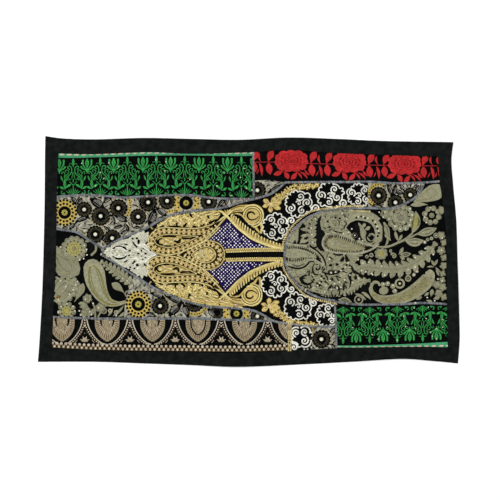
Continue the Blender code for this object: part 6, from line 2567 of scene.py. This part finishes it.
# Dark line round an arch's bud, from its middle: whole on one arch, and in two halves on the others
BUD_LINE = ((-7.2, 318), (-6.4, 327), (-3, 332.8), (0.6, 334.4), (4.6, 331.6), (7, 326), (7.6, 318))
BUD_SLIT = ((6.8, 316), (6.6, 320), (6, 323.6), (5.2, 326.6))
WHOLE_LINE_ARCH = 3
# Pitch of the two rows of knots along the bottom, in photo pixels
FOOT_PITCH = 4.55


def arch_rim(work, middle):
    """The light rim of an arch with a row of knots along its outside."""
    for side in (-1, 1):
        rim = smooth_line([(middle + side * u, v) for u, v in ARCH_RIM], 1.2)
        work.stroke(rim, np.linspace(1.35, 1.05, len(rim)), "pale sand", 0.8)
        for u, v in evenly_spaced(rim + (side * 2.5, 0.2), 14)[1:]:
            work.dome(u, v, 0.72, "pale sand", 0.7, 0.1, 7)
            work.dome(u + side * 1.6, v - 0.4, 0.45, "coffee", 0.3, 0.1, 5)


def arch_feathers(work, heart, random, edge, near, far, thread):
    """Close short stitches that stand out from the heart of an arch towards its edge."""
    for spot in edge:
        out = spot - heart
        slant = random.uniform(-0.2, 0.2)
        work.leaf(heart + out * near, heart + out * far, 1.25, thread, slant, 0.6, 0.45, 0.2, 0.4)


def arch_field(work, middle, random):
    """The feathered beige field inside an arch."""
    half = smooth_line([(middle + u, v) for u, v in ARCH_SHAPE], 1.0)
    other = half[::-1].copy()
    other[:, 0] = 2 * middle - other[:, 0]
    darn(work, np.vstack([other, half]), "sand", 1.25, 0, 0.08, 0.1)
    edge = evenly_spaced(np.vstack([half, other]), 64)
    heart = np.array((middle, ARCH_HEART))
    arch_feathers(work, heart, random, edge, 0.72, 1.0, "sand")
    arch_feathers(work, heart, random, edge[::2], 0.48, 0.74, "pale sand")
    arch_feathers(work, heart, random, edge[1::2], 0.5, 0.7, "sand")
    for spot in edge[::3]:
        out = spot - heart
        work.stroke((heart + out * 0.56, heart + out * 0.94), 0.7, "coffee", 0.2, 0.5)
        work.dome(*(heart + turned(out, 4) * 0.44), 0.5, "coffee", 0.2, 0.55, 5)


def arch_bud(work, middle, random, whole_line):
    """The bud in the middle of an arch: a plump leaf under short stitches, with a dark line round it."""
    work.leaf((middle, 314.0), (middle, 334.4), 11.6, "sand", 0, 0.5, 0.5, 0.3, 0.3)
    for k in range(30):
        u, v = random.uniform(-4.6, 4.6), random.uniform(318.6, 331.0)
        if abs(u) < (335 - v) * 0.5:
            thread = ("pale sand", "stem beige", "coffee")[k % 3]
            work.leaf((middle + u, v), (middle + u * 1.2, v + 2.0), 0.9, thread, 0.1, 0.5, 0.25, 0.72)
    if whole_line:
        work.stroke(smooth_line([(middle + u, v) for u, v in BUD_LINE], 1.2), 1.5, "ink", 0.3, 0.75)
    else:
        for side in (-1, 1):
            slit = [(middle + side * u, v) for u, v in BUD_SLIT]
            work.stroke(slit, (2.0, 2.0, 1.5, 0.5), "ink", 0.3, 0.75)


def arch_gap(work, x):
    """A fan of rays with knots over it, between two arches."""
    for k in range(9):
        way = turned((0.0, -1.0), -96 + 24 * k)
        reach = 5.6 if k % 2 else 3.9
        tip = x + 0.9 * reach * way[0], 341.0 + reach * way[1]
        work.leaf((x, 341.0), tip, 1.35, "pale sand" if k % 2 else "sand", 0, 0.4, 0.7, 0, 0.05)
    work.dome(x, 340.6, 1.4, "sand", 0.6, 0.2, 10)
    work.dome(x, 333.2, 0.6, "sand", 0.5, 0, 6)
    work.dome(x, 323.0, 0.8, "pale sand", 0.7, 0, 7)
    work.dome(x, 326.0, 1.0, "pale sand", 0.6, 0, 8)
    for side in (-1, 1):
        work.stroke(((x + side * 1.8, 330.6), (x + side * 4.2, 335.4)), 0.6, "coffee", 0.4)
        work.stroke(((x + side * 7.4, 340.0), (x + side * 9.6, 342.6)), 0.9, "sand", 0.5)


def arch_foot(work):
    """The band under the arches: a dark strip with two rows of knots and small hooks."""
    foot_line = np.array(ARCH_FOOT)
    work.stroke(smooth_line(foot_line - (0, 3.4), 4.0), 5.6, "coffee", 0.3)
    half_pitch = 2.27
    for x in np.arange(52.4, 290.0, FOOT_PITCH):
        foot, later = np.interp((x, x + half_pitch), *foot_line.T)
        work.dome(x, foot - 5.4, 1.45, "pale sand", 0.6, 0.1, 9)
        work.dome(x + half_pitch, later - 2.4, 1.45, "pale sand", 0.6, 0.1, 9)
        work.dome(x, foot - 2.6, 0.9, "ink", 0.3, 0.3, 7)
        work.dome(x + half_pitch, later - 5.2, 0.9, "ink", 0.3, 0.3, 7)
        work.stroke(arc(x, foot - 2.4, 1.9, 150, 390), 0.7, "sand", 0.3, 0.2)


def embroider_arches(material):
    """All the arches, the gaps between them and their foot."""
    work = Needlework("arch_border", seed=41)
    random = np.random.default_rng(7)
    for number, middle in enumerate(ARCHES):
        arch_rim(work, middle)
        arch_field(work, middle, random)
        arch_bud(work, middle, random, number == WHOLE_LINE_ARCH)
    for left, right in zip(ARCHES, ARCHES[1:]):
        arch_gap(work, (left + right) / 2)
    arch_foot(work)
    return work.finish("arch_border_silk", material, "arch_border")


# Scrolls on the scroll scrap: x, y, radius, start angle
SCRAP_SCROLLS = (
    (296.2, 332.8, 4, 100), (304.6, 332, 3.9, 60), (304.4, 340.6, 4.3, -60), (294, 347, 3.8, -120),
)
# Curved lines about them: x, y, radius, start angle, end angle
SCRAP_LINES = (
    (296, 332.8, 5.6, 120, 300), (304.8, 331.6, 5.4, -140, 10), (293.2, 339.8, 1.8, 90, 280),
    (296, 342.2, 1.6, 30, 200), (305, 341, 6, -10, 130), (299, 345.4, 1.8, 30, 200),
    (310.4, 334.4, 2.2, -120, 60), (311.6, 345.4, 2, -90, 120), (305.8, 348.6, 2, 0, 180),
    (293.4, 347.4, 5.4, 200, 330),
)


def embroider_scroll_scrap(material):
    """Scrolls and the curved lines about them."""
    work = Needlework("scroll_scrap", seed=43)
    for x, y, radius, start in SCRAP_SCROLLS:
        work.curl(x, y, radius, start, 1.35, 1.6, "cream", 1.1, 0.05, 0.1, 0.9)
    for row in SCRAP_LINES:
        work.stroke(arc(*row), 1.6, "cream", 1.0)
    return work.finish("scroll_scrap_thread", material, "scroll_scrap")


# Gold braid beside the round opening, in photo pixels
GOLD_BRAIDS = (
    (
        (282, 249), (283.6, 241), (286.6, 234.4), (289.6, 229.2), (293.6, 224.6), (298.6, 220),
        (304, 215.4), (310, 211.9), (316, 209.9), (322, 209.2), (330, 208.2), (340, 206.8), (350, 206.3),
        (362, 206.4),
    ),
    (
        (282.4, 261), (283.6, 268), (286.6, 274.2), (290.6, 280.2), (295.6, 286.2), (300.6, 291.2),
        (305.6, 295.4), (312, 298.4), (320, 300.4), (330, 302.4), (336, 303.6),
    ),
)
# The short one over the right paisley cloth
PAISLEY_BRAID = ((351.5, 210.4), (357, 211.2), (363, 211.5), (369.5, 211.2))
# The two at the arches' end: name, x, slant of the twists
ARCH_BRAIDS = (("arch_braid_left", 288.6, 0.6), ("arch_braid_right", 290.8, -0.6))


def stage_floor():
    """A plain pale floor, wide enough for every view."""
    half = 30.0
    floor = new_object("floor", [(-half, -half, 0), (half, -half, 0), (half, half, 0), (-half, half, 0)],
                       [(0, 1, 2, 3)], [], smooth_angle=None)
    material, _, _ = new_material("white studio floor, matt", "#ffffff", 0.9, specular=0.1)
    floor.data.materials.append(material)


def area_light(name, location, size, power):
    """A softbox of a size in metres and a power in watts, turned to the panel's middle."""
    light = bpy.data.lights.new(name, "AREA")
    light.shape = "RECTANGLE"
    light.size, light.size_y = size
    light.energy = power
    obj = bpy.data.objects.new(name, light)
    bpy.context.scene.collection.objects.link(obj)
    obj.location = location
    obj.rotation_euler = Vector(location).to_track_quat("Z", "Y").to_euler()


# Side of the square picture that the camera takes, in photo pixels
PHOTO_SIDE = 500


def build_camera():
    """The camera straight above the panel, as far off as makes a photo pixel as large as it is."""
    camera = bpy.data.cameras.new("camera")
    camera.lens = 85
    camera.sensor_width = 36
    camera.clip_end = 100
    obj = bpy.data.objects.new("camera", camera)
    bpy.context.scene.collection.objects.link(obj)
    middle = place((PHOTO_SIDE / 2, PHOTO_SIDE / 2))
    width = PHOTO_SIDE * PHOTO_PIXEL
    obj.location = (middle[0], middle[1], width * camera.lens / camera.sensor_width)
    bpy.context.scene.camera = obj


# Finishes, each made once

def finish(name, maker, *values, **more):
    """The material of this name, made when it is first asked for."""
    return bpy.data.materials.get(name) or maker(name, *values, **more)


def hem_cotton():
    # Cotton satin, piece-dyed: a soft black with no gloss, mottled lighter and darker, partly uneven dye and
    # partly painted shade of small folds
    black = bpy.context.scene.patchwork.colours.hem_black
    return finish("cotton satin, piece-dyed and woven", woven_cloth, (black, shade(black, 1.9)),
                  mottle_mm=14, pitch_mm=1.2)


def patch_cotton():
    # Old plain-woven cotton: a deeper black than the hem, so the stitches stand out on it.
    # Its threads lie 0.5 mm apart, too fine to show, and are drawn at 1.6 mm.
    black = bpy.context.scene.patchwork.colours.patch_black
    return finish("cotton, dyed and plain-woven", woven_cloth, (black, shade(black, 1.9)),
                  mottle_mm=12, pitch_mm=1.6)


def silver_lame():
    # Cotton woven with flat silvered strips: dull grey that changes in tone from place to place, a painted
    # reflection of the strips, bright in some places and dark in others
    silver = bpy.context.scene.patchwork.colours.lame_silver
    return finish("cotton lame, woven", woven_cloth, (shade(silver, 0.3), silver),
                  mottle_mm=7, pitch_mm=1.6, specular=0.05)


def silk_floss():
    # Loose silk floss in satin stitch: soft colour with a faint sheen along the stitches, partly painted as
    # lighter ridge crests.
    # The strands are 0.3 mm thick, too fine to show, and are drawn at 1 mm.
    return finish("silk floss, satin-stitched", stitched_thread, roughness=0.6,
                  pitch_mm=1.0, contrast=0.25, specular=0.08)


def gold_thread():
    # Gold strip wrapped on silk and couched down: warm and grainy, brighter on the crests, mostly a painted
    # highlight
    return finish("gold-wrapped thread, couched", stitched_thread, roughness=0.5, metallic=0.15,
                  pitch_mm=0.9, contrast=0.3, specular=0.06)


def cream_cord():
    # Thick cotton cord, bleached and couched down: nearly white and quite matt
    return finish("cotton cord, couched", stitched_thread, roughness=0.8,
                  pitch_mm=1.3, contrast=0.2, specular=0.05)


def tarnished_thread():
    # Silver-gilt thread gone dull with age: olive grey with a weak metal glint
    return finish("silver-gilt thread, darned", stitched_thread, roughness=0.6, metallic=0.1,
                  pitch_mm=0.9, contrast=0.28, specular=0.12)


def black_thread():
    # Cotton embroidery thread in chain stitch: matt, with fine dull gold lines between petals
    return finish("cotton thread, chain-stitched", stitched_thread, roughness=0.75,
                  pitch_mm=0.9, contrast=0.25, specular=0.04)


def pearls():
    # Moulded plastic with a nacre coat: off-white, softly glossy
    white = bpy.context.scene.patchwork.colours.pearl
    return finish("acrylic pearls, moulded and coated", moulded_bead, white, roughness=0.35)


def white_glass():
    # Pressed opaque glass: clean white with small sharp glints
    white = bpy.context.scene.patchwork.colours.glass
    return finish("opaque glass beads, pressed", moulded_bead, white, roughness=0.3)


def seam_cotton():
    # Grey cotton sewing thread, overcast by hand: matt, each stitch a little lighter or darker
    grey = bpy.context.scene.patchwork.colours.cord_grey
    return finish("cotton sewing thread, overcast", cord_thread, shade(grey, 0.26), grey, speck="#ab9886")


def braid_gold():
    # Gold-wrapped strands, plied: each twist catches the light on its crest
    gold = bpy.context.scene.patchwork.colours.braid_gold
    return finish("gold-wrapped cord, plied", cord_thread, shade(gold, 0.38), gold,
                  roughness=0.5)


def need(*names):
    """Raises an error where a solid or piece that the work is laid on isn't there."""
    missing = [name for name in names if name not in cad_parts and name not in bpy.data.objects]
    if missing:
        raise RuntimeError("not found: " + ", ".join(missing))


# Operators, one for each piece or group of like pieces, and one for the stage

class GroundClothOperator(Operator):
    """Makes the ground cloth with its margins turned over as a hem"""
    bl_idname = "patchwork.ground_cloth"
    bl_label = "Ground cloth and hem"

    def execute(self, context):
        need("black_cloth")
        build_ground_cloth(hem_cotton())
        return {"FINISHED"}


class PatchesOperator(Operator):
    """Makes the thirteen patches, each a thin sheet on its solid's folds"""
    bl_idname = "patchwork.patches"
    bl_label = "Patches"

    def execute(self, context):
        need("ground_cloth")
        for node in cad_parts:
            if node != "black_cloth":
                build_patch(node, silver_lame() if node.startswith("flower") else patch_cotton())
        return {"FINISHED"}


class GreenBordersOperator(Operator):
    """Embroiders the two green borders and sews their sequins"""
    bl_idname = "patchwork.green_borders"
    bl_label = "Green borders"

    def execute(self, context):
        need(*GREEN_BORDERS)
        radius = context.scene.patchwork.sizes.sequin / PHOTO_PIXEL
        for border in GREEN_BORDERS:
            embroider_green_border(border, silk_floss())
            rows = [(x, y, radius) for x, y in GREEN_SEQUINS[border]]
            sew_beads(border + "_sequins", rows, border, pearls(), 0.5, 1.2)
        return {"FINISHED"}


class RoseBorderOperator(Operator):
    """Embroiders the three roses and their leaves"""
    bl_idname = "patchwork.rose_border"
    bl_label = "Rose border"

    def execute(self, context):
        need("rose_border")
        embroider_rose_border(silk_floss())
        return {"FINISHED"}


class YokeOperator(Operator):
    """Embroiders the yoke: gold work, violet insets with white dots, cream medallions and leaf"""
    bl_idname = "patchwork.yoke"
    bl_label = "Yoke"

    def execute(self, context):
        need("yoke")
        embroider_yoke_gold(gold_thread())
        embroider_yoke_cream(cream_cord())
        largest = context.scene.patchwork.sizes.white_dot / PHOTO_PIXEL
        uneven = np.random.default_rng(6)
        rows = [(x, y, largest * uneven.uniform(0.55, 1.0)) for x, y in inset_dots()]
        sew_beads("yoke_white_dots", rows, "yoke", white_glass(), 0.35, 0.7)
        return {"FINISHED"}


class PaisleyClothsOperator(Operator):
    """Embroiders the two olive paisley cloths and sews their pearls"""
    bl_idname = "patchwork.paisley_cloths"
    bl_label = "Paisley cloths"

    def execute(self, context):
        need(*OLIVE_LEAVES)
        radius = context.scene.patchwork.sizes.small_pearl / PHOTO_PIXEL
        for patch in OLIVE_LEAVES:
            embroider_paisley_cloth(patch, tarnished_thread())
            rows = [(x, y, radius) for x, y in OLIVE_PEARLS[patch]]
            sew_beads(patch + "_pearls", rows, patch, pearls(), 0.6, 1.3)
        return {"FINISHED"}


class FlowerClothsOperator(Operator):
    """Embroiders the silver cloths' dark flowers and sews their pearls"""
    bl_idname = "patchwork.flower_cloths"
    bl_label = "Flower cloths"

    def execute(self, context):
        need(*PINWHEELS)
        radius = context.scene.patchwork.sizes.flower_pearl / PHOTO_PIXEL
        for patch in PINWHEELS:
            embroider_flower_cloth(patch, black_thread())
            rows = [(x, y, radius) for x, y, _, spokes in PINWHEELS[patch] if spokes > PEARL_SPOKES]
            sew_beads(patch + "_pearls", rows, patch, pearls(), 0.6, 1.6)
        return {"FINISHED"}


class ArchesOperator(Operator):
    """Embroiders the arches, and the scroll scrap at their end"""
    bl_idname = "patchwork.arches"
    bl_label = "Arches and scroll scrap"

    def execute(self, context):
        need("arch_border", "scroll_scrap")
        embroider_arches(silk_floss())
        embroider_scroll_scrap(cream_cord())
        return {"FINISHED"}


class BraidsOperator(Operator):
    """Lays the gold braid round the opening and at the arches' end"""
    bl_idname = "patchwork.braids"
    bl_label = "Gold braid"

    def execute(self, context):
        need("yoke", "arch_border", "paisley_cloth_right")
        sizes = context.scene.patchwork.sizes
        braids = [smooth_line(place(rows), 2 * MM) for rows in GOLD_BRAIDS]
        overcast("opening_braid", braids, sizes.braid_width, sizes.braid_pitch, 0.7, sizes.braid_thread,
                 braid_gold(), "yoke", 0.7)
        short = smooth_line(place(PAISLEY_BRAID), 2 * MM)
        overcast("paisley_braid", [short], 0.6 * sizes.braid_width, 0.8 * sizes.braid_pitch, 0.7,
                 0.9 * sizes.braid_thread, braid_gold(), "paisley_cloth_right", 0.6)
        for name, x, slant in ARCH_BRAIDS:
            side = place(((x, 322.0), (x + 0.3, 336.0), (x - 0.2, 351.0)))
            overcast(name, [side], 0.74 * sizes.braid_width, 0.78 * sizes.braid_pitch, slant,
                     0.94 * sizes.braid_thread, braid_gold(), "arch_border", 0.6)
        return {"FINISHED"}


class SeamCordsOperator(Operator):
    """Overcasts every seam between the patches with grey thread"""
    bl_idname = "patchwork.seam_cords"
    bl_label = "Seam cords"

    def execute(self, context):
        need("ground_cloth")
        sizes = context.scene.patchwork.sizes
        overcast("seam_cords", seam_lines().values(), sizes.cord_width, sizes.cord_pitch, 0.12,
                 sizes.cord_thread, seam_cotton(), "black_cloth")
        return {"FINISHED"}


class StageOperator(Operator):
    """Sets the floor, the studio light and the camera at the photograph's angle"""
    bl_idname = "patchwork.stage"
    bl_label = "Stage"

    def execute(self, context):
        stage_floor()
        build_camera()
        area_light("key light", (-0.9, 1.4, 2.6), (2.2, 1.6), 46)
        area_light("fill light", (1.3, -1.0, 2.6), (2.4, 2.0), 19)
        world = bpy.data.worlds.new("studio")
        context.scene.world = world
        world.use_nodes = True
        background = world.node_tree.nodes["Background"]
        background.inputs["Color"].default_value = (1, 1, 1, 1)
        background.inputs["Strength"].default_value = 0.7
        context.scene.view_settings.view_transform = "Standard"
        return {"FINISHED"}


OPERATORS = (
    GroundClothOperator, PatchesOperator, GreenBordersOperator, RoseBorderOperator, YokeOperator,
    PaisleyClothsOperator, FlowerClothsOperator, ArchesOperator, BraidsOperator, SeamCordsOperator,
    StageOperator,
)


class PatchworkSidebar(Panel):
    """Sizes, colours and the steps of the patchwork panel"""
    bl_idname = "PATCHWORK_PT_sidebar"
    bl_label = "Patchwork panel"
    bl_space_type = "VIEW_3D"
    bl_region_type = "UI"
    bl_category = "Patchwork"

    def draw(self, context):
        looks = context.scene.patchwork
        for title, group in (("Sizes", looks.sizes), ("Colours", looks.colours)):
            box = self.layout.box()
            box.label(text=title)
            for name in type(group).__annotations__:
                box.prop(group, name)
        for operator in OPERATORS:
            self.layout.operator(operator.bl_idname)


CLASSES = (PanelSizes, PanelColours, PanelLooks, *OPERATORS, PatchworkSidebar)


def register():
    """Adds the classes, and their values to the scene."""
    for kind in CLASSES:
        bpy.utils.register_class(kind)
    bpy.types.Scene.patchwork = PointerProperty(type=PanelLooks, name="Patchwork",
                                                description="Sizes and colours of the patchwork panel")


def unregister():
    """Takes them out again."""
    del bpy.types.Scene.patchwork
    for kind in reversed(CLASSES):
        bpy.utils.unregister_class(kind)


def main():
    """Builds the panel and its stage."""
    register()
    bpy.ops.patchwork.ground_cloth()
    bpy.ops.patchwork.patches()
    bpy.ops.patchwork.green_borders()
    bpy.ops.patchwork.rose_border()
    bpy.ops.patchwork.yoke()
    bpy.ops.patchwork.paisley_cloths()
    bpy.ops.patchwork.flower_cloths()
    bpy.ops.patchwork.arches()
    bpy.ops.patchwork.braids()
    bpy.ops.patchwork.seam_cords()
    bpy.ops.patchwork.stage()


if __name__ == "__main__":
    main()
